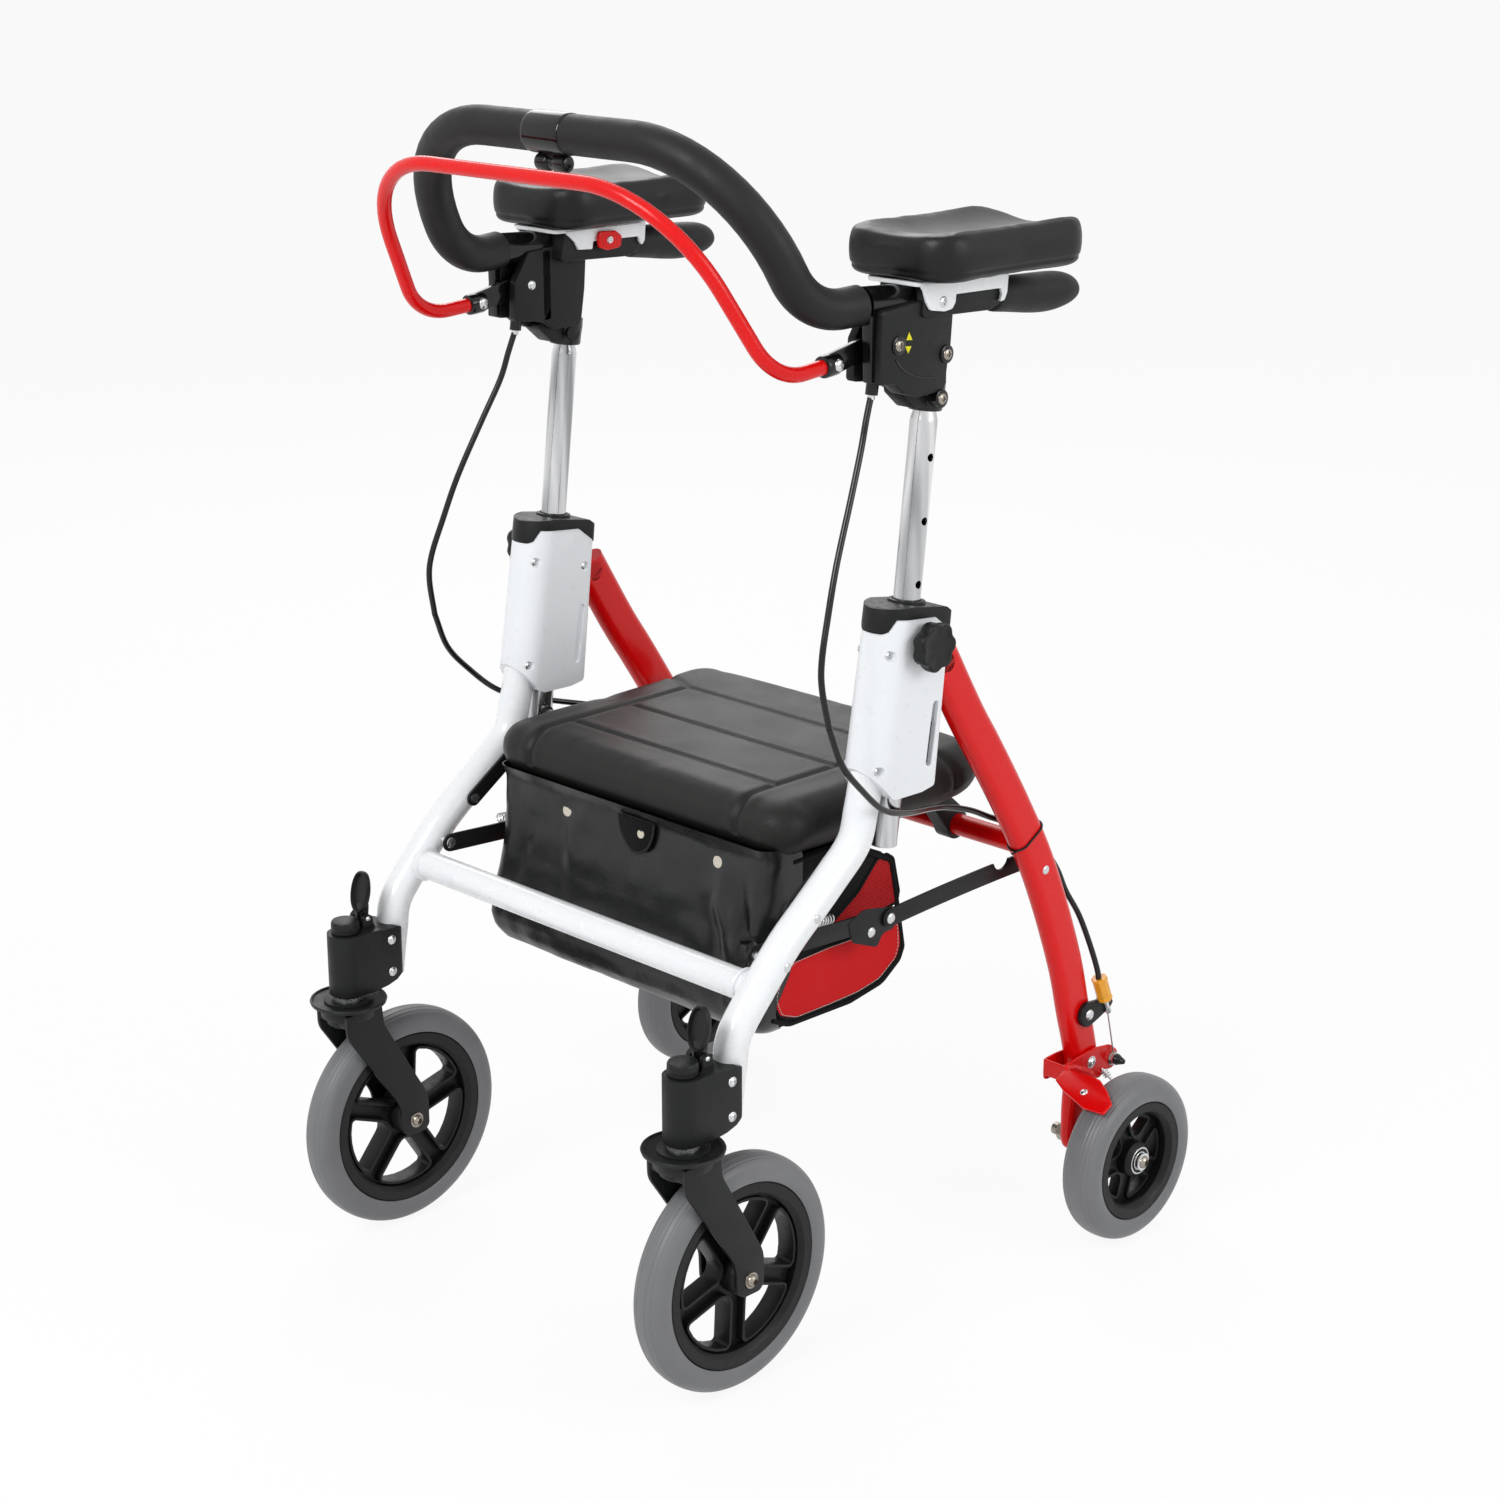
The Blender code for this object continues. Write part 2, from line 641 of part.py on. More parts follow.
def make_housings():
    body = loft([housing_ring(HOUSING_BOTTOM_Z), housing_ring(HOUSING_TOP_Z)])
    side = plate(
        (
            (-0.0900, 0.4960),
            (-0.0720, 0.4960),
            (-0.0440, HOUSING_BOTTOM_Z + 0.0015),
            (-0.0100, HOUSING_BOTTOM_Z + 0.0010),
            (0.0050, HOUSING_BOTTOM_Z + 0.0040),
            (0.0110, 0.4740),
            (0.0400, 0.4740),
            (0.0400, 0.7000),
            (-0.0900, 0.7000),
        ),
        SIDE_X - 0.05,
        SIDE_X + 0.05,
    )
    body = common(body, side)
    leg_half = LEG_THICK / 2 + 0.0005
    slot_top = FOLD_Z + LEG_LUG_RADIUS + 0.006
    slot = plate(
        (
            (post_y(slot_top) + 0.002, slot_top),
            (0.05, slot_top),
            (0.05, 0.40),
            (post_y(0.40) + 0.002, 0.40),
        ),
        SIDE_X - leg_half,
        SIDE_X + leg_half,
    )
    knob_hole = rod((SIDE_X, KNOB_Y, KNOB_Z), (SIDE_X + 0.05, KNOB_Y, KNOB_Z), 0.0045)
    body = cut(
        body,
        front_tube(GAP),
        post_rod(0.3, 0.7, SLIDE_GAP),
        slot,
        knob_hole,
    )
    pin = rod(
        (SIDE_X - leg_half - 0.002, FOLD_Y, FOLD_Z),
        (SIDE_X + leg_half + 0.002, FOLD_Y, FOLD_Z),
        FOLD_PIN_RADIUS,
        12,
    )
    keep_pair(joined(body, pin), "housing", "white_paint")


def make_housing_caps():
    base_z = HOUSING_TOP_Z + GAP
    top_z = base_z + CAP_HEIGHT
    cap = loft([housing_ring(base_z, CAP_GROW), housing_ring(top_z, CAP_GROW)])
    side = plate(
        (
            (-0.0700, base_z - 0.01),
            (0.0500, base_z - 0.01),
            (0.0260, base_z + 0.001),
            (0.0130, base_z + 0.0065),
            (-0.0415, top_z - 0.0002),
            (-0.0700, base_z + 0.0075),
        ),
        SIDE_X - 0.05,
        SIDE_X + 0.05,
    )
    cap = common(cap, side)
    keep_pair(cut(cap, post_rod(0.4, 0.7, SLIDE_GAP)), "housing_cap", "black_plastic")


def make_caster_brackets():
    sleeve = rod((SIDE_X, STEM_Y, SLEEVE_BOTTOM_Z), (SIDE_X, STEM_Y, SLEEVE_TOP_Z), SLEEVE_RADIUS, 16)
    clamp = plate(
        (
            (STEM_Y, 0.2360),
            (-0.2250, 0.2360),
            (BRACKET_REAR_Y - 0.006, 0.2420),
            (BRACKET_REAR_Y - 0.002, 0.2500),
            (BRACKET_REAR_Y, 0.2600),
            (BRACKET_REAR_Y, 0.2820),
            (-0.2120, 0.2860),
            (STEM_Y, 0.2860),
        ),
        SIDE_X - BRACKET_HALF,
        SIDE_X + BRACKET_HALF,
    )
    ears = plate(
        (
            (LOCK_Y - 0.004, 0.2840),
            (LOCK_Y + 0.009, 0.2840),
            (LOCK_Y + 0.005, LOCK_Z + 0.003),
            (LOCK_Y, LOCK_Z + 0.005),
            (LOCK_Y - 0.004, LOCK_Z + 0.003),
        ),
        SIDE_X - LOCK_EAR_HALF,
        SIDE_X + LOCK_EAR_HALF,
    )
    body = joined(sleeve, clamp, ears)
    lever_room = block(
        (SIDE_X - 0.0055, LOCK_Y - 0.012, 0.2885), (SIDE_X + 0.0055, LOCK_Y + 0.02, 0.32)
    )
    bore = rod((SIDE_X, STEM_Y, 0.2), (SIDE_X, STEM_Y, 0.4), STEM_RADIUS + PIN_GAP)
    cap_room = rod(
        (SIDE_X, STEM_Y, SLEEVE_TOP_Z), (SIDE_X, STEM_Y, 0.4), STEM_CAP_RADIUS + 0.0008, 14
    )
    body = cut(body, front_tube(GAP), bore, lever_room, cap_room)
    rivet = rod((SIDE_X - 0.008, LOCK_Y, LOCK_Z), (SIDE_X + 0.008, LOCK_Y, LOCK_Z), 0.002, 10)
    bolts = [
        rod((SIDE_X + BRACKET_HALF - 0.001, y, z), (SIDE_X + BRACKET_HALF + 0.003, y, z), 0.005, 8)
        for y, z in BRACKET_BOLTS
    ]
    keep_pair(joined(body, rivet, *bolts), "caster_bracket", "black_paint")


def make_swivel_locks():
    foot = plate(
        (
            (LOCK_Y - 0.0040, LOCK_Z - 0.002),
            (LOCK_Y, LOCK_Z - 0.0045),
            (LOCK_Y + 0.0045, LOCK_Z - 0.002),
            (LOCK_Y + 0.0050, LOCK_Z + 0.010),
            (LOCK_Y - 0.0040, LOCK_Z + 0.010),
        ),
        SIDE_X - 0.0050,
        SIDE_X + 0.0050,
    )
    paddle = plate(
        (
            (LOCK_Y - 0.0040, LOCK_Z + 0.007),
            (LOCK_Y + 0.0055, LOCK_Z + 0.007),
            (LOCK_Y + 0.0100, LOCK_TOP_Z - 0.004),
            (LOCK_Y + 0.0070, LOCK_TOP_Z),
            (LOCK_Y - 0.0005, LOCK_TOP_Z - 0.002),
            (LOCK_Y - 0.0025, LOCK_TOP_Z - 0.014),
        ),
        SIDE_X - LOCK_PADDLE_HALF,
        SIDE_X + LOCK_PADDLE_HALF,
    )
    lever = joined(foot, paddle)
    hole = rod((SIDE_X - 0.02, LOCK_Y, LOCK_Z), (SIDE_X + 0.02, LOCK_Y, LOCK_Z), 0.0023, 10)
    keep_pair(cut(lever, hole), "swivel_lock", "black_plastic", (SIDE_X, LOCK_Y, LOCK_Z))


def make_caster_forks():
    blade_in = FRONT_TYRE_WIDTH / 2 + BLADE_GAP
    blade_out = blade_in + BLADE_THICK
    axle_z = FRONT_WHEEL_RADIUS
    stem = rod((SIDE_X, STEM_Y, CROWN_BOTTOM_Z + 0.005), (SIDE_X, STEM_Y, SLEEVE_TOP_Z + 0.004), STEM_RADIUS)
    cap = rod(
        (SIDE_X, STEM_Y, SLEEVE_TOP_Z + 0.001), (SIDE_X, STEM_Y, STEM_CAP_TOP_Z), STEM_CAP_RADIUS, 14
    )
    ring_top = SLEEVE_BOTTOM_Z - 0.0006
    ring = rod((SIDE_X, STEM_Y, SAUCER_Z), (SIDE_X, STEM_Y, ring_top), 0.012, 14)
    saucer = rod(
        (SIDE_X, STEM_Y, SAUCER_Z - 0.003),
        (SIDE_X, STEM_Y, SAUCER_Z + 0.002),
        SAUCER_RADIUS,
        20,
        SAUCER_RADIUS - 0.004,
    )
    crown = rod(
        (SIDE_X, STEM_Y, CROWN_BOTTOM_Z), (SIDE_X, STEM_Y, SAUCER_Z - 0.002), CROWN_RADIUS, 16
    )
    half = BLADE_WIDTH / 2
    side = (
        (STEM_Y - half - 0.004, SAUCER_Z - 0.006),
        (STEM_Y - half - 0.002, 0.1950),
        (FRONT_WHEEL_Y - half, axle_z + 0.020),
        (FRONT_WHEEL_Y - half, axle_z - 0.007),
        (FRONT_WHEEL_Y - half + 0.006, axle_z - 0.013),
        (FRONT_WHEEL_Y + half - 0.006, axle_z - 0.013),
        (FRONT_WHEEL_Y + half, axle_z - 0.007),
        (FRONT_WHEEL_Y + half, axle_z + 0.020),
        (STEM_Y + half + 0.004, 0.1950),
        (STEM_Y + half + 0.004, SAUCER_Z - 0.006),
    )
    blades = [
        plate(side, SIDE_X + blade_in, SIDE_X + blade_out),
        plate(side, SIDE_X - blade_out, SIDE_X - blade_in),
    ]
    bridge = plate(
        (
            (STEM_Y - half - 0.003, SAUCER_Z - 0.007),
            (STEM_Y - half - 0.003, CROWN_BOTTOM_Z + 0.001),
            (STEM_Y + half + 0.003, CROWN_BOTTOM_Z + 0.001),
            (STEM_Y + half + 0.003, SAUCER_Z - 0.007),
        ),
        SIDE_X - blade_in - 0.001,
        SIDE_X + blade_in + 0.001,
    )
    axle = rod(
        (SIDE_X - blade_out + 0.001, FRONT_WHEEL_Y, axle_z),
        (SIDE_X + blade_out - 0.001, FRONT_WHEEL_Y, axle_z),
        AXLE_RADIUS,
    )
    heads = [
        rod(
            (SIDE_X + sign * (blade_out - 0.001), FRONT_WHEEL_Y, axle_z),
            (SIDE_X + sign * (blade_out + 0.005), FRONT_WHEEL_Y, axle_z),
            0.009,
            8,
        )
        for sign in (-1, 1)
    ]
    fork = joined(crown, bridge, saucer, ring, stem, cap, *blades, axle, *heads)
    keep_pair(fork, "caster_fork", "black_paint", (SIDE_X, STEM_Y, CROWN_BOTTOM_Z))


def tyre_profile(radius, rim_radius, width):
    """A tyre's section: rounded tread outside, straight bead on the rim."""
    half = width / 2
    bead = rim_radius + GAP
    deep = radius - bead
    return [
        (radius, half * 0.45),
        (radius, -half * 0.45),
        (radius - deep * 0.10, -half * 0.82),
        (radius - deep * 0.40, -half),
        (bead, -half * 0.86),
        (bead, half * 0.86),
        (radius - deep * 0.40, half),
        (radius - deep * 0.10, half * 0.82),
    ]


def make_wheel(name, centre, radius, rim_radius, width, hub_half):
    keep_pair(turned(tyre_profile(radius, rim_radius, width), centre), name + "_tyre", "tyre", centre)
    half = width / 2
    lip = half * 0.80
    inner = rim_radius - RIM_DEPTH
    rim = turned(
        [
            (rim_radius, lip),
            (rim_radius, -lip),
            (inner, -lip * 0.85),
            (inner, lip * 0.85),
        ],
        centre,
    )
    x, y, z = centre
    boss = rod((x - hub_half, y, z), (x + hub_half, y, z), 0.0155, 14)
    spokes = []
    for spoke in range(SPOKES):
        arm = block((-half * 0.42, -0.0075, 0.008), (half * 0.42, 0.0075, inner + RIM_DEPTH * 0.5))
        turn = Matrix.Rotation(2 * math.pi * spoke / SPOKES, 4, "X")
        arm.data.transform(Matrix.Translation(centre) @ turn)
        spokes.append(arm)
    hub = joined(rim, boss, *spokes)
    bore = rod((x - 0.05, y, z), (x + 0.05, y, z), AXLE_RADIUS + PIN_GAP)
    keep_pair(cut(hub, bore), name + "_hub", "black_plastic", centre)


def make_wheels():
    make_wheel(
        "front",
        (SIDE_X, FRONT_WHEEL_Y, FRONT_WHEEL_RADIUS),
        FRONT_WHEEL_RADIUS,
        FRONT_RIM_RADIUS,
        FRONT_TYRE_WIDTH,
        FRONT_TYRE_WIDTH / 2 + BLADE_GAP - 0.0006,
    )
    make_wheel(
        "rear",
        (REAR_WHEEL_X, REAR_WHEEL_Y, REAR_WHEEL_RADIUS),
        REAR_WHEEL_RADIUS,
        REAR_RIM_RADIUS,
        REAR_TYRE_WIDTH,
        REAR_TYRE_WIDTH / 2,
    )


def oval_ring(centre, ahead):
    """The leg's flat-oval section, square to its path in the side plane."""
    side = Vector((0, -ahead.z, ahead.y))
    flat = (LEG_WIDTH - LEG_THICK) / 2
    round_radius = LEG_THICK / 2
    ring = []
    for end in (1, -1):
        for step in range(6):
            turn = math.pi * step / 5
            across = end * round_radius * math.cos(turn)
            out = end * (flat + round_radius * math.sin(turn))
            ring.append(centre + Vector((across, 0, 0)) + side * out)
    return ring


def make_rear_legs():
    points = smooth(in_side(LEG_PATH), 1)
    rings = []
    for i, point in enumerate(points):
        ahead = points[min(i + 1, len(points) - 1)] - points[max(i - 1, 0)]
        rings.append(oval_ring(point, ahead.normalized()))
    leg = loft(rings)
    half = LEG_THICK / 2
    lug = plate(
        (
            *disc_outline(FOLD_Y, FOLD_Z, LEG_LUG_RADIUS, 16)[2:12],
            (FOLD_Y + 0.006, FOLD_Z - 0.022),
            (0.0420, 0.5450),
            (0.0300, 0.5760),
        ),
        SIDE_X - half,
        SIDE_X + half,
    )
    wheel_plate = plate(
        (
            (0.2215, 0.1560),
            (0.2200, 0.1250),
            (REAR_WHEEL_Y - 0.0125, REAR_WHEEL_RADIUS),
            (REAR_WHEEL_Y - 0.0085, REAR_WHEEL_RADIUS - 0.0095),
            (REAR_WHEEL_Y, REAR_WHEEL_RADIUS - 0.0130),
            (REAR_WHEEL_Y + 0.0085, REAR_WHEEL_RADIUS - 0.0095),
            (REAR_WHEEL_Y + 0.0125, REAR_WHEEL_RADIUS),
            (0.2530, 0.1250),
            (0.2540, 0.1560),
        ),
        SIDE_X - 0.006,
        SIDE_X + 0.006,
    )
    axle = rod(
        (SIDE_X - 0.009, REAR_WHEEL_Y, REAR_WHEEL_RADIUS),
        (REAR_WHEEL_X + REAR_TYRE_WIDTH / 2 + 0.002, REAR_WHEEL_Y, REAR_WHEEL_RADIUS),
        AXLE_RADIUS,
    )
    spacer = rod(
        (SIDE_X, REAR_WHEEL_Y, REAR_WHEEL_RADIUS),
        (REAR_WHEEL_X - REAR_TYRE_WIDTH / 2 - 0.0006, REAR_WHEEL_Y, REAR_WHEEL_RADIUS),
        0.0105,
    )
    bolt = rod(
        (REAR_WHEEL_X + REAR_TYRE_WIDTH / 2 + 0.0006, REAR_WHEEL_Y, REAR_WHEEL_RADIUS),
        (REAR_WHEEL_X + REAR_TYRE_WIDTH / 2 + 0.0050, REAR_WHEEL_Y, REAR_WHEEL_RADIUS),
        0.0085,
        12,
    )
    leg = joined(leg, lug, wheel_plate, axle, spacer, bolt)
    hole = rod(
        (SIDE_X - 0.03, FOLD_Y, FOLD_Z), (SIDE_X + 0.03, FOLD_Y, FOLD_Z), FOLD_PIN_RADIUS + PIN_GAP, 12
    )
    brake_pin = rod(
        (SIDE_X - half - 0.0045, BRAKE_Y, BRAKE_Z), (SIDE_X + half + 0.0060, BRAKE_Y, BRAKE_Z), 0.003, 12
    )
    leg = joined(cut(leg, hole), brake_pin)
    keep_pair(leg, "rear_leg", "red_paint", (SIDE_X, FOLD_Y, FOLD_Z), rear_frame)
    reach = SIDE_X - half - GAP
    bar = rod((-reach, REAR_BAR_Y, REAR_BAR_Z), (reach, REAR_BAR_Y, REAR_BAR_Z), REAR_BAR_RADIUS)
    keep(bar, "rear_crossbar", "red_paint", (0, FOLD_Y, FOLD_Z), rear_frame)


def make_brakes():
    """A saddle over the leg that turns on a pin through it, with a shoe that reaches over the tyre."""
    outer_x = SIDE_X + LEG_THICK / 2 + 0.0010
    inner_x = SIDE_X - LEG_THICK / 2 - 0.0010
    web_front, web_back = 0.1985, 0.2020
    outer = plate(
        (
            (web_front, 0.1540),
            (web_front, 0.1320),
            (0.2080, 0.1290),
            (0.2280, 0.1330),
            (0.2520, 0.1350),
            (0.2680, 0.1330),
            (0.2720, 0.1440),
            (0.2650, 0.1560),
            (0.2420, 0.1600),
            (0.2150, 0.1580),
        ),
        outer_x,
        outer_x + BRAKE_PLATE,
    )
    inner = plate(
        (
            (web_front, 0.1540),
            (web_front, 0.1340),
            (0.2120, 0.1330),
            (0.2430, 0.1380),
            (0.2430, 0.1540),
            (0.2150, 0.1560),
        ),
        inner_x - BRAKE_PLATE,
        inner_x,
    )
    web = block(
        (inner_x - BRAKE_PLATE, web_front, 0.1360), (outer_x + BRAKE_PLATE, web_back - 0.001, 0.1530)
    )
    outline = []
    for radius in (REAR_WHEEL_RADIUS + SHOE_GAP, REAR_WHEEL_RADIUS + SHOE_GAP + 0.004):
        arc = []
        for step in range(5):
            turn = math.radians(SHOE_ANGLE - SHOE_HALF_ANGLE + SHOE_HALF_ANGLE * step / 2)
            arc.append(
                (
                    REAR_WHEEL_Y + radius * math.cos(turn),
                    REAR_WHEEL_RADIUS + radius * math.sin(turn),
                )
            )
        outline += arc if not outline else arc[::-1]
    shoe = plate(outline, outer_x + 0.0005, REAR_WHEEL_X + REAR_TYRE_WIDTH / 2 - 0.002)
    cone = rod((outer_x, 0.2675, 0.1390), (outer_x + 0.011, 0.2675, 0.1390), 0.0045, 12, 0.0020)
    arm = joined(outer, web, inner, shoe, cone)
    hole = rod((SIDE_X - 0.03, BRAKE_Y, BRAKE_Z), (SIDE_X + 0.03, BRAKE_Y, BRAKE_Z), 0.0034, 12)
    keep_pair(cut(arm, hole), "brake_arm", "red_paint", (SIDE_X, BRAKE_Y, BRAKE_Z), rear_frame)


def make_cable_clips():
    """The ear on the leg that takes the end of the brake cable."""
    low_x = SIDE_X + LEG_THICK / 2 + GAP
    tip_y, tip_z = EAR_TIP
    outline = disc_outline(EAR_Y, EAR_Z, EAR_RADIUS, 16)
    outline = outline[3:14] + [(tip_y, tip_z - 0.004), (tip_y + 0.002, tip_z), (tip_y, tip_z + 0.004)]
    ear = plate(outline, low_x, low_x + EAR_THICK)
    rivet = rod(
        (low_x + EAR_THICK - 0.001, EAR_Y, EAR_Z), (low_x + EAR_THICK + 0.0015, EAR_Y, EAR_Z), 0.0045, 12
    )
    keep_pair(joined(ear, rivet), "cable_clip", "black_plastic", (0, FOLD_Y, FOLD_Z), rear_frame)


def make_links():
    """The fold linkage: each bar lies in its own layer and carries its own rivets."""
    low, high = BRACE_FRONT_X
    tube_face = SIDE_X - TUBE_RADIUS
    leg_face = SIDE_X - LEG_THICK / 2
    front = joined(
        plate(bar_outline(BRACE_A, BRACE_M, BRACE_WIDTH), low, high),
        rod((low - 0.0012, *BRACE_A), (tube_face - GAP, *BRACE_A), RIVET_RADIUS, 8),
        rod((low - 0.0012, *BRACE_M), (low + 0.0005, *BRACE_M), RIVET_RADIUS, 8),
    )
    keep_pair(front, "brace_front", "black_paint", (low, *BRACE_A))
    low, high = BRACE_REAR_X
    # A hollow in the top edge takes the rear crossbar when the walker is folded
    bar_room = plate(
        swept_disc_outline(
            BRACE_L,
            (REAR_BAR_Y, REAR_BAR_Z),
            math.radians(BRACE_REAR_TURN),
            REAR_BAR_RADIUS + BRACE_BAR_GAP,
        ),
        low - 0.01,
        high + 0.01,
    )
    rear = joined(
        cut(plate(bar_outline(BRACE_M, BRACE_L, BRACE_WIDTH, BRACE_RISE), low, high), bar_room),
        rod((high - 0.0005, *BRACE_M), (high + 0.0020, *BRACE_M), RIVET_RADIUS, 8),
        rod((low - 0.0012, *BRACE_L), (leg_face - GAP, *BRACE_L), RIVET_RADIUS, 8),
    )
    keep_pair(rear, "brace_rear", "black_paint", (low, *BRACE_L), rear_frame)
    low, high = SEAT_LINK_X
    link = joined(
        plate(bar_outline(LINK_S, LINK_T, SEAT_LINK_WIDTH), low, high),
        rod((low - 0.0012, *LINK_S), (tube_face - GAP, *LINK_S), RIVET_RADIUS, 8),
        rod((SEAT_HALF + GAP, *LINK_T), (high + 0.0005, *LINK_T), RIVET_RADIUS, 8),
    )
    keep_pair(link, "seat_link", "black_paint", (low, *LINK_S))
    make_springs()


def make_springs():
    """A short coil on top of each front brace, one unbroken wire."""
    x = (BRACE_FRONT_X[0] + BRACE_FRONT_X[1]) / 2
    slope = (BRACE_M[1] - BRACE_A[1]) / (BRACE_M[0] - BRACE_A[0])
    per_curl = 8
    points = []
    for step in range(SPRING_CURLS * per_curl + 1):
        t = step / (SPRING_CURLS * per_curl)
        y = SPRING_START_Y + t * (SPRING_END_Y - SPRING_START_Y)
        centre_z = BRACE_A[1] + slope * (y - BRACE_A[0]) + BRACE_WIDTH / 2
        centre_z += SPRING_RADIUS + SPRING_WIRE + GAP
        turn = 2 * math.pi * step / per_curl
        points.append((x + SPRING_RADIUS * math.sin(turn), y, centre_z + SPRING_RADIUS * math.cos(turn)))
    pitch = (SPRING_END_Y - SPRING_START_Y) / SPRING_CURLS
    print("spring: least gap between curls", round((pitch - 2 * SPRING_WIRE) * 1000, 2), "mm")
    keep_pair(tube(points, SPRING_WIRE, 1), "brace_spring", "steel", (x, *BRACE_A))


def spaced(low, high, count):
    return [low + (high - low) * i / (count - 1) for i in range(count)]


def cushion(across, ahead, top, bottom):
    """A closed pad over a grid: top and bottom heights are functions that meet at the rim."""
    bm = bmesh.new()
    last_i, last_j = len(across) - 1, len(ahead) - 1
    upper, lower = {}, {}
    for i, x in enumerate(across):
        for j, y in enumerate(ahead):
            upper[i, j] = bm.verts.new((x, y, top(x, y)))
            lower[i, j] = bm.verts.new((x, y, bottom(x, y)))
    for i in range(last_i):
        for j in range(last_j):
            corners = ((i, j), (i + 1, j), (i + 1, j + 1), (i, j + 1))
            bm.faces.new([upper[c] for c in corners])
            bm.faces.new([lower[c] for c in reversed(corners)])
    rim = [(i, 0) for i in range(last_i)] + [(last_i, j) for j in range(last_j)]
    rim += [(i, last_j) for i in range(last_i, 0, -1)] + [(0, j) for j in range(last_j, 0, -1)]
    for here, there in zip(rim, rim[1:] + rim[:1]):
        bm.faces.new((lower[here], lower[there], upper[there], upper[here]))
    bmesh.ops.recalc_face_normals(bm, faces=bm.faces)
    mesh = bpy.data.meshes.new("cushion")
    bm.to_mesh(mesh)
    bm.free()
    return helper(mesh)


def rim_drop(distance, reach):
    """How far a quarter-round edge lies below the flat top, for a point this far from the rim."""
    if distance >= reach:
        return 0.0
    return reach - math.sqrt(max(reach**2 - (reach - distance) ** 2, 0.0))


def make_seat():
    soft = 0.016
    middle_y = (SEAT_FRONT_Y + SEAT_REAR_Y) / 2
    half_y = (SEAT_REAR_Y - SEAT_FRONT_Y) / 2

    def top(x, y):
        edge = min(SEAT_HALF - abs(x), SEAT_REAR_Y - y, y - SEAT_FRONT_Y)
        crown = SEAT_CROWN * (1 - (x / SEAT_HALF) ** 2) * (1 - ((y - middle_y) / half_y) ** 2)
        seam = min([abs(abs(x) - SEAT_BORDER_X)] + [abs(y - place) for place in SEAT_SEAMS_Y])
        groove = SEAM_DEPTH * max(0.0, 1 - seam / SEAM_HALF)
        return SEAT_TOP_Z + crown - groove - rim_drop(edge, soft)

    def bottom(x, y):
        edge = min(SEAT_HALF - abs(x), SEAT_REAR_Y - y, y - SEAT_FRONT_Y)
        return SEAT_BOTTOM_Z + rim_drop(edge, soft)

    rounding = (0.0, 0.0035, soft)
    across = [SEAT_HALF - step for step in rounding]
    across += [SEAT_BORDER_X + SEAM_HALF, SEAT_BORDER_X, SEAT_BORDER_X - SEAM_HALF, 0.060]
    across = sorted([-x for x in across] + [0.0] + across)
    ahead = [SEAT_FRONT_Y + step for step in rounding] + [SEAT_REAR_Y - step for step in rounding]
    for place in SEAT_SEAMS_Y:
        ahead += [place - SEAM_HALF, place, place + SEAM_HALF]
    ahead = sorted(ahead + [-0.035, 0.035])
    seat = cushion(across, ahead, top, bottom)
    straps = []
    round_end = disc_outline(REAR_BAR_Y, REAR_BAR_Z, REAR_BAR_RADIUS + HINGE_STRAP_WALL, 12)
    for side in (-1, 1):
        low = side * HINGE_STRAP_X - HINGE_STRAP_WIDTH / 2
        strap = plate(
            (
                *round_end[7:],
                *round_end[:2],
                (REAR_BAR_Y + 0.0060, REAR_BAR_Z + 0.0145),
                (REAR_BAR_Y - 0.0060, REAR_BAR_Z + 0.0250),
                (SEAT_REAR_Y - 0.0180, SEAT_BOTTOM_Z + 0.0080),
                (SEAT_REAR_Y - 0.0300, SEAT_BOTTOM_Z + 0.0080),
                (SEAT_REAR_Y - 0.0260, SEAT_BOTTOM_Z - 0.0040),
            ),
            low,
            low + HINGE_STRAP_WIDTH,
        )
        bore = rod(
            (low - 0.01, REAR_BAR_Y, REAR_BAR_Z),
            (low + HINGE_STRAP_WIDTH + 0.01, REAR_BAR_Y, REAR_BAR_Z),
            REAR_BAR_RADIUS + PIN_GAP,
        )
        straps.append(cut(strap, bore))
    keep(joined(seat, *straps), "seat", "vinyl", (0, REAR_BAR_Y, REAR_BAR_Z), rear_frame)


def make_bag():
    outer = plate(BAG_SIDE, -BAG_HALF, BAG_HALF)
    centre = Vector((sum(y for y, _ in BAG_SIDE), sum(z for _, z in BAG_SIDE))) / len(BAG_SIDE)
    inner_side = []
    for y, z in BAG_SIDE:
        away = Vector((y, z)) - centre
        inner_side.append(tuple(centre + away * (1 - BAG_WALL * 1.3 / away.length)))
    top_front, top_rear = inner_side[0], inner_side[-1]
    low_rear = inner_side[-2]
    inner_side = inner_side[1:-2]
    inner_side = [(top_front[0], 0.45)] + inner_side + [low_rear, (low_rear[0] - 0.002, 0.45)]
    room = plate(inner_side, -BAG_HALF + BAG_WALL, BAG_HALF - BAG_WALL)
    keep(cut(outer, room), "bag", "fabric")


def make_posts():
    holes = []
    for step in range(HOLE_COUNT):
        x, y, z = post_point(HOLE_TOP_Z - step * HOLE_PITCH)
        holes.append(rod((x + POST_RADIUS - HOLE_DEPTH, y, z), (x + 0.03, y, z), HOLE_RADIUS, 12))
    post = cut(post_rod(POST_BOTTOM_Z, POST_TOP_Z), *holes)
    keep_pair(post, "post", "aluminium", (SIDE_X, post_y(POST_BOTTOM_Z), POST_BOTTOM_Z), handle_frame)


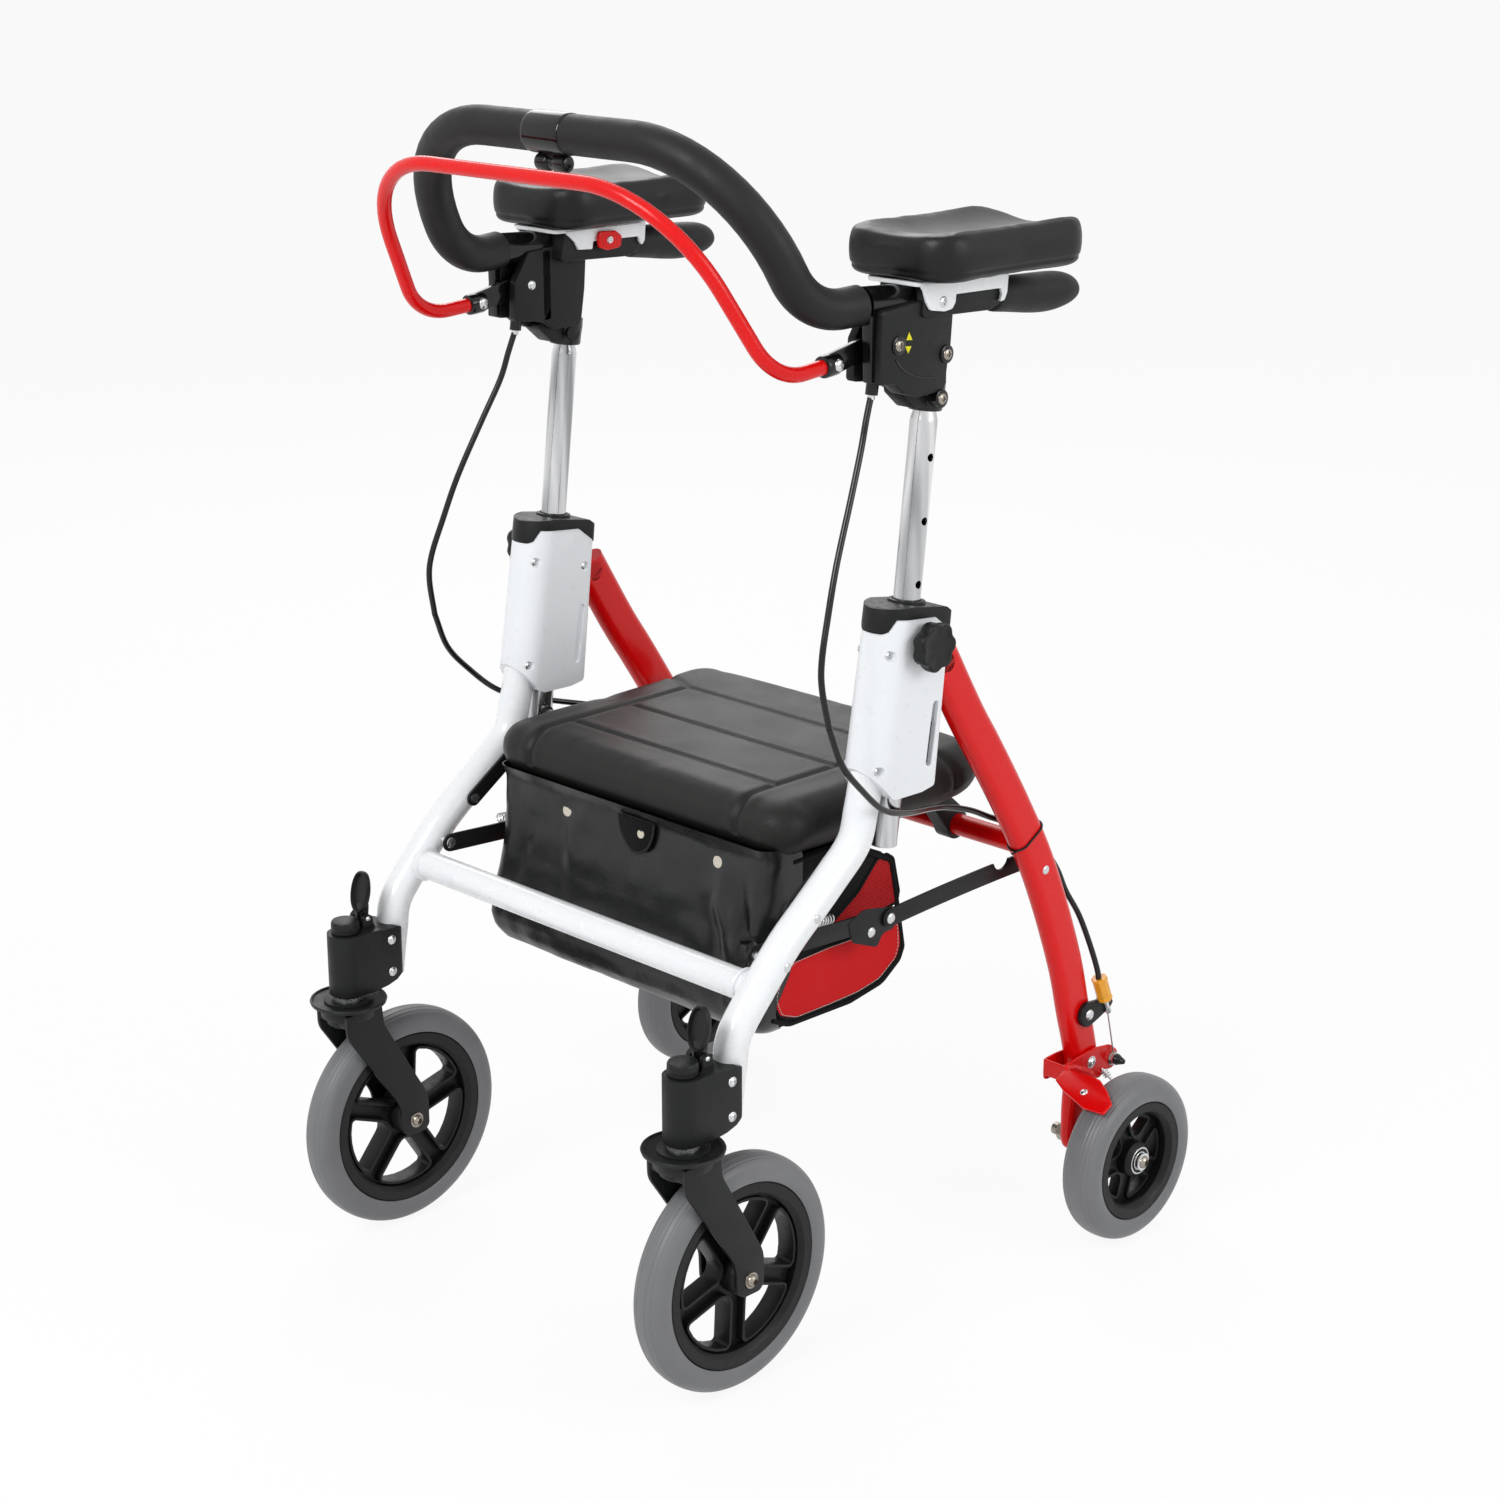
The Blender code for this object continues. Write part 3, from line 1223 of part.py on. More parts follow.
def make_handle_blocks():
    body = plate(BLOCK_SIDE, SIDE_X - BLOCK_HALF, SIDE_X + BLOCK_HALF)
    collar = post_rod(COLLAR_BOTTOM_Z, COLLAR_TOP_Z, COLLAR_RADIUS - POST_RADIUS)
    tube_ahead = (Vector(GRIP_END) - Vector(FOAM_END)).normalized()

    def on_tube(y):
        return Vector(FOAM_END) + tube_ahead * (y - FOAM_END[1]) / tube_ahead.y

    sleeve = rod(on_tube(SLEEVE_START_Y), on_tube(SLEEVE_END_Y), SLEEVE_OUTER, 16)
    arm = plate(ARM_SIDE, *ARM_X)
    face = SIDE_X + BLOCK_HALF
    boss = [
        rod((face - 0.004, y, z), (face + 0.0015, y, z), BOLT_HEAD_RADIUS + 0.002, 10)
        for y, z in (*BLOCK_BOLTS, LEVER_PIVOT)
    ]
    clamp_boss = rod((SIDE_X, *BLOCK_BOLTS[1]), (face, *BLOCK_BOLTS[1]), BOLT_HEAD_RADIUS + 0.002, 10)
    heads = [
        rod((face, y, z), (face + BOLT_HEAD_HEIGHT, y, z), BOLT_HEAD_RADIUS, 8)
        for y, z in (*BLOCK_BOLTS, LEVER_PIVOT)
    ]
    stub = rod(*CABLE_STUB, 0.0046, 12)
    body = joined(body, collar, sleeve, arm, clamp_boss, *boss, *heads, stub)
    slot = plate(
        LEVER_SLOT, LEVER_X - LEVER_SLOT_WIDTH / 2, LEVER_X + LEVER_SLOT_WIDTH / 2
    )
    body = cut(body, handle_tube(GAP), post_rod(0.7, POST_TOP_Z + GAP, GAP), slot)
    pin = rod((SIDE_X - 0.012, *LEVER_PIVOT), (SIDE_X + 0.012, *LEVER_PIVOT), 0.003, 12)
    keep_pair(joined(body, pin), "handle_block", "black_plastic", (0, 0, 0), handle_frame)


def make_handle():
    keep(handle_tube(), "handle_tube", "black_gloss", (0, 0, 0), handle_frame)
    foam = tube(both_halves(loop_points(FOAM_END)), FOAM_RADIUS, 2)
    keep(cut(foam, handle_tube(GAP)), "handle_foam", "foam", (0, 0, 0), handle_frame)
    top_y, top_z = LOOP_CORNERS[-1][1:]
    inside = FOAM_RADIUS + 2 * GAP
    sleeve = rod((-LABEL_HALF, top_y, top_z), (LABEL_HALF, top_y, top_z), inside + LABEL_WALL, 20)
    clip_z = top_z - inside - 0.0065
    clip = rod((-0.015, top_y, clip_z), (0.015, top_y, clip_z), 0.007, 14)
    bore = rod((-0.1, top_y, top_z), (0.1, top_y, top_z), inside, 20)
    keep(cut(joined(sleeve, clip), bore), "handle_sleeve", "black_gloss", (0, 0, 0), handle_frame)


def make_brake_bar():
    middle = (0, BAR_CORNERS[-1][1], BAR_CORNERS[-1][2])
    half = filleted((BAR_START, *BAR_CORNERS, middle), BAR_FILLETS, 4)
    bar = tube(both_halves(half), BAR_RADIUS, 2)
    ahead = (Vector(BAR_CORNERS[0]) - Vector(BAR_START)).normalized()
    pieces = []
    for side in (1, -1):
        start = Vector((side * BAR_START[0], *BAR_START[1:]))
        along_bar = Vector((side * ahead.x, ahead.y, ahead.z))
        end = start + along_bar * SOCKET_LENGTH
        pieces.append(rod(start - along_bar * 0.0015, end, SOCKET_RADIUS, 12))
        low = side * LEVER_X - LEVER_THICK / 2
        tongue = plate(
            bar_outline(LEVER_PIVOT, (BAR_START[1] - 0.004, BAR_START[2]), 0.0115), low, low + LEVER_THICK
        )
        hole = rod(
            (low - 0.01, *LEVER_PIVOT), (low + LEVER_THICK + 0.01, *LEVER_PIVOT), 0.003 + PIN_GAP, 12
        )
        pieces.append(cut(tongue, hole))
    keep(joined(bar, *pieces), "brake_bar", "red_paint", (0, *LEVER_PIVOT), handle_frame)


def make_hand_grips():
    """A grip that widens to a leaf at its rear end, around the end of the handle tube."""
    rings = []
    for t, wide, high, drop in (
        (0.0, 0.88, 0.86, 0.0),
        (0.05, 0.98, 0.96, 0.0),
        (0.28, 0.92, 0.94, 0.0),
        (0.55, 1.02, 1.04, 0.0006),
        (0.80, 1.16, 1.08, 0.0004),
        (0.94, 1.05, 0.88, 0.0),
        (1.0, 0.62, 0.52, 0.0),
    ):
        y = GRIP_FRONT_Y + t * (GRIP_REAR_Y - GRIP_FRONT_Y)
        slope = (GRIP_END[2] - FOAM_END[2]) / (GRIP_END[1] - FOAM_END[1])
        z = FOAM_END[2] + slope * (y - FOAM_END[1]) - drop
        rings.append(
            [
                (
                    GRIP_END[0] + wide * GRIP_HALF_X * math.cos(2 * math.pi * step / 16),
                    y,
                    z + high * GRIP_HALF_Z * math.sin(2 * math.pi * step / 16),
                )
                for step in range(16)
            ]
        )
    keep_pair(
        cut(loft(rings), handle_tube(GAP)), "hand_grip", "black_plastic", (0, 0, 0), handle_frame
    )


def make_arm_rests():
    low, high = CHANNEL_X
    channel = plate(CHANNEL_SIDE, low, high)
    room = block(
        (low + CHANNEL_WALL, -0.1, 0.80), (high - CHANNEL_WALL, 0.2, CHANNEL_TOP_Z - CHANNEL_WALL)
    )
    window = plate(CHANNEL_WINDOW, low - 0.01, high + 0.01)
    channel = cut(channel, room, window)
    bolt = rod((high - 0.0005, *CHANNEL_BOLT), (high + 0.0025, *CHANNEL_BOLT), 0.005, 12)
    latch_pin = rod((low - 0.0052, LATCH_Y, LATCH_Z), (low + 0.001, LATCH_Y, LATCH_Z), 0.003, 12)
    channel = joined(channel, bolt, latch_pin)
    pivot = (SIDE_X, 0, CHANNEL_TOP_Z)
    keep_pair(channel, "pad_bracket", "white_paint", pivot, handle_frame)
    latch = plate(
        (
            (LATCH_Y + 0.006, LATCH_Z - 0.004),
            (LATCH_Y + 0.007, LATCH_Z + 0.005),
            (LATCH_Y - 0.004, LATCH_Z + 0.009),
            (LATCH_Y - 0.020, LATCH_Z + 0.0095),
            (LATCH_Y - 0.024, LATCH_Z + 0.003),
            (LATCH_Y - 0.022, LATCH_Z - 0.004),
            (LATCH_Y - 0.006, LATCH_Z - 0.006),
        ),
        low - 0.0044,
        low - 0.0004,
    )
    hole = rod((low - 0.02, LATCH_Y, LATCH_Z), (low + 0.02, LATCH_Y, LATCH_Z), 0.0034, 12)
    keep_pair(cut(latch, hole), "pad_lever", "red_paint", (low, LATCH_Y, LATCH_Z), handle_frame)
    make_pads(pivot)


def make_pads(pivot):
    """A forearm cushion: a shallow trough along Y with raised sides and rounded front corners."""
    corner, soft = 0.030, 0.012
    middle_y = (PAD_FRONT_Y + PAD_REAR_Y) / 2

    def inset(x, y):
        """How far a point lies inside the pad's rim, with round corners."""
        away = PAD_HALF - abs(x - SIDE_X)
        front = min(y - PAD_FRONT_Y, PAD_REAR_Y - y)
        if away < corner and front < corner:
            return corner - math.hypot(corner - away, corner - front)
        return min(away, front)

    def top(x, y):
        share = min(abs(x - SIDE_X) / (PAD_HALF - soft), 1.0)
        trough = (PAD_SIDE_Z - PAD_MIDDLE_Z) * (1 - share**2)
        fall = 0.004 * max(0.0, (middle_y - y) / (middle_y - PAD_FRONT_Y)) ** 2
        return PAD_SIDE_Z - trough - fall - rim_drop(max(inset(x, y), 0.0), soft)

    def bottom(x, y):
        return CHANNEL_TOP_Z + GAP + 0.5 * rim_drop(max(inset(x, y), 0.0), soft)

    rounding = (0.0, 0.003, soft)
    across = [PAD_HALF - step for step in rounding] + [PAD_HALF - 0.022, 0.018]
    across = sorted([SIDE_X - x for x in across] + [SIDE_X] + [SIDE_X + x for x in across])
    ahead = [PAD_FRONT_Y + step for step in (*rounding, 0.022, corner)]
    ahead += [PAD_REAR_Y - step for step in (*rounding, 0.022, corner)]
    ahead = sorted(ahead + spaced(0.02, 0.09, 3))
    pad = cushion(across, ahead, top, bottom)
    # The rim's square corners are drawn in to the round outline
    inner_x, front, rear = PAD_HALF - corner, PAD_FRONT_Y + corner, PAD_REAR_Y - corner
    for vertex in pad.data.vertices:
        x, y = vertex.co.x - SIDE_X, vertex.co.y
        edge_y = front if y < front else rear if y > rear else None
        if abs(x) <= inner_x or edge_y is None:
            continue
        off = Vector((abs(x) - inner_x, abs(y - edge_y)))
        square = max(off)
        if off.length > 0:
            off = off * (square / off.length)
        vertex.co.x = SIDE_X + math.copysign(inner_x + off.x, x)
        vertex.co.y = edge_y + math.copysign(off.y, y - edge_y)
    keep_pair(pad, "arm_pad", "vinyl", pivot, handle_frame)


def make_knobs():
    outline = []
    for step in range(KNOB_LOBES * 4):
        turn = 2 * math.pi * step / (KNOB_LOBES * 4)
        radius = KNOB_RADIUS * (0.93 + 0.07 * math.cos(KNOB_LOBES * turn))
        outline.append((KNOB_Y + radius * math.cos(turn), KNOB_Z + radius * math.sin(turn)))
    face = SIDE_X + HOUSING_HALF
    knob = plate(outline, face + 0.005, KNOB_OUTER_X)
    neck = rod((face + 0.0006, KNOB_Y, KNOB_Z), (face + 0.006, KNOB_Y, KNOB_Z), 0.011, 12)
    bolt = rod((SIDE_X + POST_RADIUS + 0.0004, KNOB_Y, KNOB_Z), (face + 0.002, KNOB_Y, KNOB_Z), 0.004, 12)
    keep_pair(joined(knob, neck, bolt), "height_knob", "black_plastic", (face, KNOB_Y, KNOB_Z))


def make_cables():
    keep_pair(tube(smooth(CABLE_UPPER, 2), CABLE_RADIUS, 2), "cable_upper", "black_gloss")
    cable = tube(smooth(CABLE_LOWER, 2), CABLE_RADIUS, 2)
    ferrule = rod(*FERRULE, FERRULE_RADIUS, 12)
    tie = rod(CABLE_LOWER[1], (SIDE_X - LEG_THICK / 2 - GAP, CABLE_LOWER[1][1], CABLE_LOWER[1][2]), 0.0015, 8)
    keep_pair(
        joined(cable, ferrule, tie), "cable_lower", "black_gloss", (0, FOLD_Y, FOLD_Z), rear_frame
    )


make_front_frame()
make_housings()
make_housing_caps()
make_caster_brackets()
make_swivel_locks()
make_caster_forks()
make_wheels()
make_rear_legs()
make_brakes()
make_cable_clips()
make_links()
make_seat()
make_bag()
make_posts()
make_handle_blocks()
make_handle()
make_brake_bar()
make_hand_grips()
make_arm_rests()
make_knobs()
make_cables()
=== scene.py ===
"""Wheeled walker with forearm pads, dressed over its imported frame. Metres, +Z up, front towards -Y."""

import math

import bmesh
import bpy
from mathutils import Matrix, Vector, noise


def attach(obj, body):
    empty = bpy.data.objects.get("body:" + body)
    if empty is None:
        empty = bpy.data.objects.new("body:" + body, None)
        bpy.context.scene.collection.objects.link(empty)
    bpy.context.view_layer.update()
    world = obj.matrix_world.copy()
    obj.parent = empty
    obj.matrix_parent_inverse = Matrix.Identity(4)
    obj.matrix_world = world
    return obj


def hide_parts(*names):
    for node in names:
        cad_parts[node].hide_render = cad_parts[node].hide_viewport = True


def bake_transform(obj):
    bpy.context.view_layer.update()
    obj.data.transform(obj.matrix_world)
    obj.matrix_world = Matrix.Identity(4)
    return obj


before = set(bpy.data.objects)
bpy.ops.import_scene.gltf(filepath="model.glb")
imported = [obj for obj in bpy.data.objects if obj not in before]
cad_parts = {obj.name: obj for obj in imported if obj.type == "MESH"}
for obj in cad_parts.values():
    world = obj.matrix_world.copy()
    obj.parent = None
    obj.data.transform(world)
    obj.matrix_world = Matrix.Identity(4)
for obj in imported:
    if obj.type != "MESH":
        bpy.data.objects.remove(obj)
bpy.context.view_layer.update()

# Camera
# The photograph is taken with a long lens from the walker's front left,
# a little above its handle.
eye = Vector((1.692, -1.6636, 1.205))
ahead = Vector((-0.673, 0.673, -0.3056)).normalized()
across = Vector((1, 1, 0)).normalized()
camera = bpy.data.objects.new("camera", bpy.data.cameras.new("camera"))
camera.data.lens = 69.595
camera.data.sensor_width = 36
camera.matrix_world = Matrix.Translation(eye) @ Matrix(
    (across, across.cross(ahead), -ahead)
).transposed().to_4x4()
bpy.context.scene.collection.objects.link(camera)
bpy.context.scene.camera = camera

# Studio
# A white paper floor without an edge in sight, a white sky and three soft lamps.
# The paper and the sky show white to the camera and in reflections.
bpy.context.scene.view_settings.view_transform = "Standard"


class Signal:
    """An output socket; arithmetic on it adds the Math nodes that work it out."""

    def __init__(self, graph, socket):
        self.graph = graph
        self.socket = socket

    def math(self, operation, *values):
        return self.graph.node("ShaderNodeMath", {"operation": operation}, dict(enumerate(values)))

    def __add__(self, other):
        return self.math("ADD", self, other)

    def __mul__(self, other):
        return self.math("MULTIPLY", self, other)

    def __sub__(self, other):
        return self.math("SUBTRACT", self, other)

    def __rsub__(self, other):
        return self.math("SUBTRACT", other, self)

    def __lt__(self, other):
        return self.math("LESS_THAN", self, other)

    def capped(self):
        """The signal, but never over 1."""
        return self.math("MINIMUM", self, 1.0)


class Graph:
    """A shader or Geometry Nodes tree that is filled one node at a time."""

    def __init__(self, tree):
        self.tree = tree

    def plug(self, socket, value):
        if isinstance(value, Signal):
            self.tree.links.new(value.socket, socket)
        elif hasattr(value, "__len__") and socket.type == "RGBA" and len(value) == 3:
            socket.default_value = (*value, 1)
        else:
            socket.default_value = value

    def node(self, kind, settings=None, sockets=None, output=0):
        made = self.tree.nodes.new(kind)
        for name, value in (settings or {}).items():
            setattr(made, name, value)
        for name, value in (sockets or {}).items():
            self.plug(made.inputs[name], value)
        return Signal(self, made.outputs[output])

    def tint(self, factor, first, second):
        """A colour between two others."""
        return self.node("ShaderNodeMix", {"data_type": "RGBA"}, {0: factor, 6: first, 7: second}, 2)


class Finish(Graph):
    """A procedural material. Numbers and colours go straight onto the shader's sockets."""

    def __init__(self, name, **sockets):
        self.material = bpy.data.materials.new(name)
        self.material.use_nodes = True
        super().__init__(self.material.node_tree)
        self.shader = self.tree.nodes["Principled BSDF"]
        self.end = self.tree.nodes["Material Output"]
        self.place = self.node("ShaderNodeTexCoord", output="Object")
        self.feed(sockets)

    def feed(self, sockets):
        for name, value in sockets.items():
            self.plug(self.shader.inputs[name.replace("_", " ")], value)

    def stretched(self, scale):
        return self.node("ShaderNodeMapping", {}, {"Vector": self.place, "Scale": scale})

    def noise(self, scale, detail=3.0, where=None):
        return self.node(
            "ShaderNodeTexNoise", {}, {"Vector": where or self.place, "Scale": scale, "Detail": detail}
        )

    def range(self, signal, low, high):
        """The signal's middle part as a value from low to high."""
        return self.node(
            "ShaderNodeMapRange",
            {},
            {"Value": signal, "From Min": 0.3, "From Max": 0.7, "To Min": low, "To Max": high},
        )

    def relief(self, height, depth, over=None):
        sockets = {"Height": height, "Distance": depth}
        if over:
            sockets["Normal"] = over
        return self.node("ShaderNodeBump", {}, sockets)

    def pattern(self, kind):
        """A signal as it is, or the noise of a scale or of a scale and its detail."""
        if isinstance(kind, Signal):
            return kind
        return self.noise(*kind) if isinstance(kind, tuple) else self.noise(kind)

    def surface(self, tones, gloss, grain=None, waves=None, coat=None):
        """Tones, roughness, fine relief, broad relief and coat; each starts with its pattern."""
        sockets = {
            "Base Color": self.tint(self.pattern(tones[0]), *tones[1:]),
            "Roughness": self.range(self.pattern(gloss[0]), *gloss[1:]),
        }
        if coat:
            sockets["Coat Weight"] = self.range(self.pattern(coat[0]), *coat[1:])
        if grain:
            below = self.relief(self.pattern(waves[0]), waves[1]) if waves else None
            sockets["Normal"] = self.relief(self.pattern(grain[0]), grain[1], below)
        self.feed(sockets)
        return self


def srgb(red, green, blue):
    """A colour given in a screen's 0 to 255 values, as light."""
    return tuple(
        v / 12.92 if v <= 0.04045 else ((v + 0.055) / 1.055) ** 2.4
        for v in (red / 255, green / 255, blue / 255)
    )


def seen_white(graph):
    """1 for rays that show a background: straight, reflected or through glass."""
    rays = [
        graph.node("ShaderNodeLightPath", output=name)
        for name in ("Is Camera Ray", "Is Glossy Ray", "Is Transmission Ray")
    ]
    return (rays[0] + rays[1] + rays[2]).capped()


sky = bpy.data.worlds.new("sky")
sky.use_nodes = True
bpy.context.scene.world = sky
air = Graph(sky.node_tree)
dim = air.node("ShaderNodeBackground", {}, {"Color": (1, 1, 1), "Strength": 0.5})
white = air.node("ShaderNodeBackground", {}, {"Color": (1, 1, 1), "Strength": 1.0})
shown = air.node("ShaderNodeMixShader", {}, {0: seen_white(air), 1: dim, 2: white})
air.plug(sky.node_tree.nodes["World Output"].inputs["Surface"], shown)

paper = Finish("paper", Roughness=0.9, Specular_IOR_Level=0.1)
paper.feed({"Base Color": paper.tint(paper.noise(3.0), (0.9, 0.9, 0.9), (0.92, 0.92, 0.92))})
glow = paper.node("ShaderNodeEmission", {}, {"Color": (1, 1, 1), "Strength": 1.0})
veil = paper.node(
    "ShaderNodeMixShader",
    {},
    {0: seen_white(paper) * 0.9, 1: Signal(paper, paper.shader.outputs[0]), 2: glow},
)
paper.plug(paper.end.inputs["Surface"], veil)
floor_mesh = bpy.data.meshes.new("floor")
floor_mesh.from_pydata([(-40, -40, 0), (40, -40, 0), (40, 40, 0), (-40, 40, 0)], [], [(0, 1, 2, 3)])
floor_mesh.materials.append(paper.material)
floor = bpy.data.objects.new("floor", floor_mesh)
bpy.context.scene.collection.objects.link(floor)

for name, place, side, power in (
    ("key_lamp", (0.3, -2.6, 2.6), 1.3, 62),
    ("side_lamp", (3.0, 0.8, 1.9), 1.6, 34),
    ("back_lamp", (-2.2, 1.6, 2.4), 1.6, 26),
):
    lamp = bpy.data.objects.new(name, bpy.data.lights.new(name, "AREA"))
    lamp.data.size = side
    lamp.data.energy = power
    lamp.location = place
    aim = Vector((0, 0, 0.5)) - lamp.location
    lamp.rotation_euler = aim.to_track_quat("-Z", "Y").to_euler()
    bpy.context.scene.collection.objects.link(lamp)

# Front tubes and crossbar
# Two round steel tubes bent in one plane carry the casters below and the housings above;
# a straight tube is welded between them. All gloss white; rivet heads of the links show on them.
side_x = 0.211
tube_radius = 0.014
tube_path = (
    (-0.2113, 0.24), (-0.2054, 0.2766), (-0.199, 0.305), (-0.172, 0.336), (-0.1442, 0.364),
    (-0.1175, 0.3851), (-0.0906, 0.4065), (-0.066, 0.4286), (-0.0575, 0.4554), (-0.051, 0.484),
    (-0.0478, 0.502),
)
crossbar_y, crossbar_z, crossbar_radius = -0.1745, 0.333, 0.0125

white_paint = Finish("white_paint", Coat_Roughness=0.06).surface(
    (9, srgb(236, 238, 240), srgb(233, 236, 239)),
    (60, 0.2, 0.32),
    ((700, 2), 0.00004),
    coat=(9, 0.36, 0.42),
)
zinc = Finish("zinc", Metallic=1.0).surface(
    (300, (0.72, 0.73, 0.74), (0.55, 0.56, 0.57)), (500, 0.18, 0.38), (2500, 0.00003)
)


def bench(data):
    """A loose object on the workbench, to be made into a part."""
    obj = bpy.data.objects.new("part", data)
    bpy.context.scene.collection.objects.link(obj)
    return obj


def settled(obj):
    """The object as a plain mesh, with its modifiers and its place worked into the points."""
    bpy.context.view_layer.update()
    mesh = bpy.data.meshes.new_from_object(obj.evaluated_get(bpy.context.evaluated_depsgraph_get()))
    mesh.transform(obj.matrix_world)
    bpy.data.objects.remove(obj, do_unlink=True)
    return bench(mesh)


def painted(obj, finish):
    obj.data.materials.clear()
    obj.data.materials.append(finish.material)
    return obj


def creased(obj, angle=35):
    obj.data.shade_smooth()
    obj.data.set_sharp_from_angle(angle=math.radians(angle))
    return obj


def shell(bm, angle=35):
    """A closed skin from a bmesh, its doubles merged and its faces turned outwards."""
    bmesh.ops.remove_doubles(bm, verts=bm.verts, dist=1e-6)
    bmesh.ops.recalc_face_normals(bm, faces=bm.faces)
    mesh = bpy.data.meshes.new("part")
    bm.to_mesh(mesh)
    bm.free()
    return creased(bench(mesh), angle)


def flowing(points, per_span):
    """A smooth curve through the points."""
    points = [Vector(p) for p in points]
    padded = [2 * points[0] - points[1], *points, 2 * points[-1] - points[-2]]
    found = []
    for a, b, c, d in zip(padded, padded[1:], padded[2:], padded[3:]):
        for step in range(per_span):
            t = step / per_span
            bend = (c - a) * t + (2 * a - 5 * b + 4 * c - d) * t**2 + (3 * b - a - 3 * c + d) * t**3
            found.append(b + bend / 2)
    return [*found, points[-1]]


class Recipe(Graph):
    """A Geometry Nodes tree with named inputs, which ends in plain geometry of one material."""

    def __init__(self, name, **inputs):
        tree = bpy.data.node_groups.new(name, "GeometryNodeTree")
        super().__init__(tree)
        tree.interface.new_socket("Geometry", in_out="INPUT", socket_type="NodeSocketGeometry")
        for label, kind in {**inputs, "Material": "Material"}.items():
            tree.interface.new_socket(label, in_out="INPUT", socket_type="NodeSocket" + kind)
        tree.interface.new_socket("Geometry", in_out="OUTPUT", socket_type="NodeSocketGeometry")
        self.given = tree.nodes.new("NodeGroupInput")
        self.result = tree.nodes.new("NodeGroupOutput")

    def taken(self, label):
        return Signal(self, self.given.outputs[label])

    def ends(self, geometry):
        real = self.node("GeometryNodeRealizeInstances", {}, {"Geometry": geometry})
        smooth = self.node("GeometryNodeSetShadeSmooth", {}, {"Geometry": real})
        paint = self.node(
            "GeometryNodeSetMaterial", {}, {"Geometry": smooth, "Material": self.taken("Material")}
        )
        self.plug(self.result.inputs["Geometry"], paint)

    def follow(self, obj, finish, angle=35, **values):
        modifier = obj.modifiers.new("recipe", "NODES")
        modifier.node_group = self.tree
        values["Material"] = finish.material
        for item in self.tree.interface.items_tree:
            if item.in_out == "INPUT" and item.name in values:
                modifier[item.identifier] = values[item.name]
        obj = settled(obj)
        obj.data.set_sharp_from_angle(angle=math.radians(angle))
        return obj


drawn_tube = Recipe("drawn_tube", Radius="Float", Sides="Int")
line = drawn_tube.node("GeometryNodeMeshToCurve", {}, {"Mesh": drawn_tube.taken("Geometry")})
hoop = drawn_tube.node(
    "GeometryNodeCurvePrimitiveCircle",
    {},
    {"Resolution": drawn_tube.taken("Sides"), "Radius": drawn_tube.taken("Radius")},
)
girth = drawn_tube.node("GeometryNodeInputNamedAttribute", {"data_type": "FLOAT"}, {"Name": "girth"})
drawn_tube.ends(
    drawn_tube.node(
        "GeometryNodeCurveToMesh",
        {},
        {"Curve": line, "Profile Curve": hoop, "Scale": girth, "Fill Caps": True},
    )
)


def wire_of(points):
    """A mesh of the points and the edges between them."""
    mesh = bpy.data.meshes.new("line")
    mesh.from_pydata([tuple(p) for p in points], [(i, i + 1) for i in range(len(points) - 1)], [])
    return mesh


def pipe(points, radius, finish, sides=32, girths=None):
    """A round bar or tube along the points; girths are shares of the radius, one for each point."""
    mesh = wire_of(points)
    mesh.attributes.new("girth", "FLOAT", "POINT").data.foreach_set(
        "value", girths or [1.0] * len(points)
    )
    return drawn_tube.follow(bench(mesh), finish, Radius=radius, Sides=sides)


def rod(spot, low, high, radius, finish, sides=24):
    """A round bar across the walker, from x = low to x = high."""
    return pipe([(low, *spot), (high, *spot)], radius, finish, sides)


def spun(profile, centre, finish, along=(1, 0, 0), sides=64, closed=False, angle=35):
    """A turned part: (distance along the axis, radius) pairs from one end to the other."""
    turn = Vector(along).to_track_quat("Z", "Y").to_matrix()
    bm = bmesh.new()
    rows = []
    for distance, radius in profile:
        steps = sides if radius > 1e-6 else 1
        row = []
        for step in range(steps):
            way = 2 * math.pi * step / steps
            spot = Vector((radius * math.cos(way), radius * math.sin(way), distance))
            row.append(bm.verts.new(turn @ spot + Vector(centre)))
        rows.append(row)
    for low, high in zip(rows, rows[1:] + (rows[:1] if closed else [])):
        for i in range(sides):
            j = (i + 1) % sides
            corners = (low[i % len(low)], low[j % len(low)], high[j % len(high)], high[i % len(high)])
            bm.faces.new(list(dict.fromkeys(corners)))
    for row in (rows[0], rows[-1]):
        if not closed and len(row) > 1:
            bm.faces.new(row)
    return painted(shell(bm, angle), finish)


def disc(radius, height, spot, finish, sides=64):
    """A plain cylinder, or a nut of six sides, that stands out from spot towards +X."""
    return spun([(0, 0), (0, radius), (height, radius), (height, 0)], spot, finish, sides=sides)


def skin(rings, finish, angle=35):
    """A closed skin through rings of equal point counts."""
    bm = bmesh.new()
    rows = [[bm.verts.new(point) for point in ring] for ring in rings]
    count = len(rows[0])
    for low, high in zip(rows, rows[1:]):
        for i in range(count):
            j = (i + 1) % count
            bm.faces.new((low[i], low[j], high[j], high[i]))
    bm.faces.new(rows[0])
    bm.faces.new(rows[-1])
    return painted(shell(bm, angle), finish)


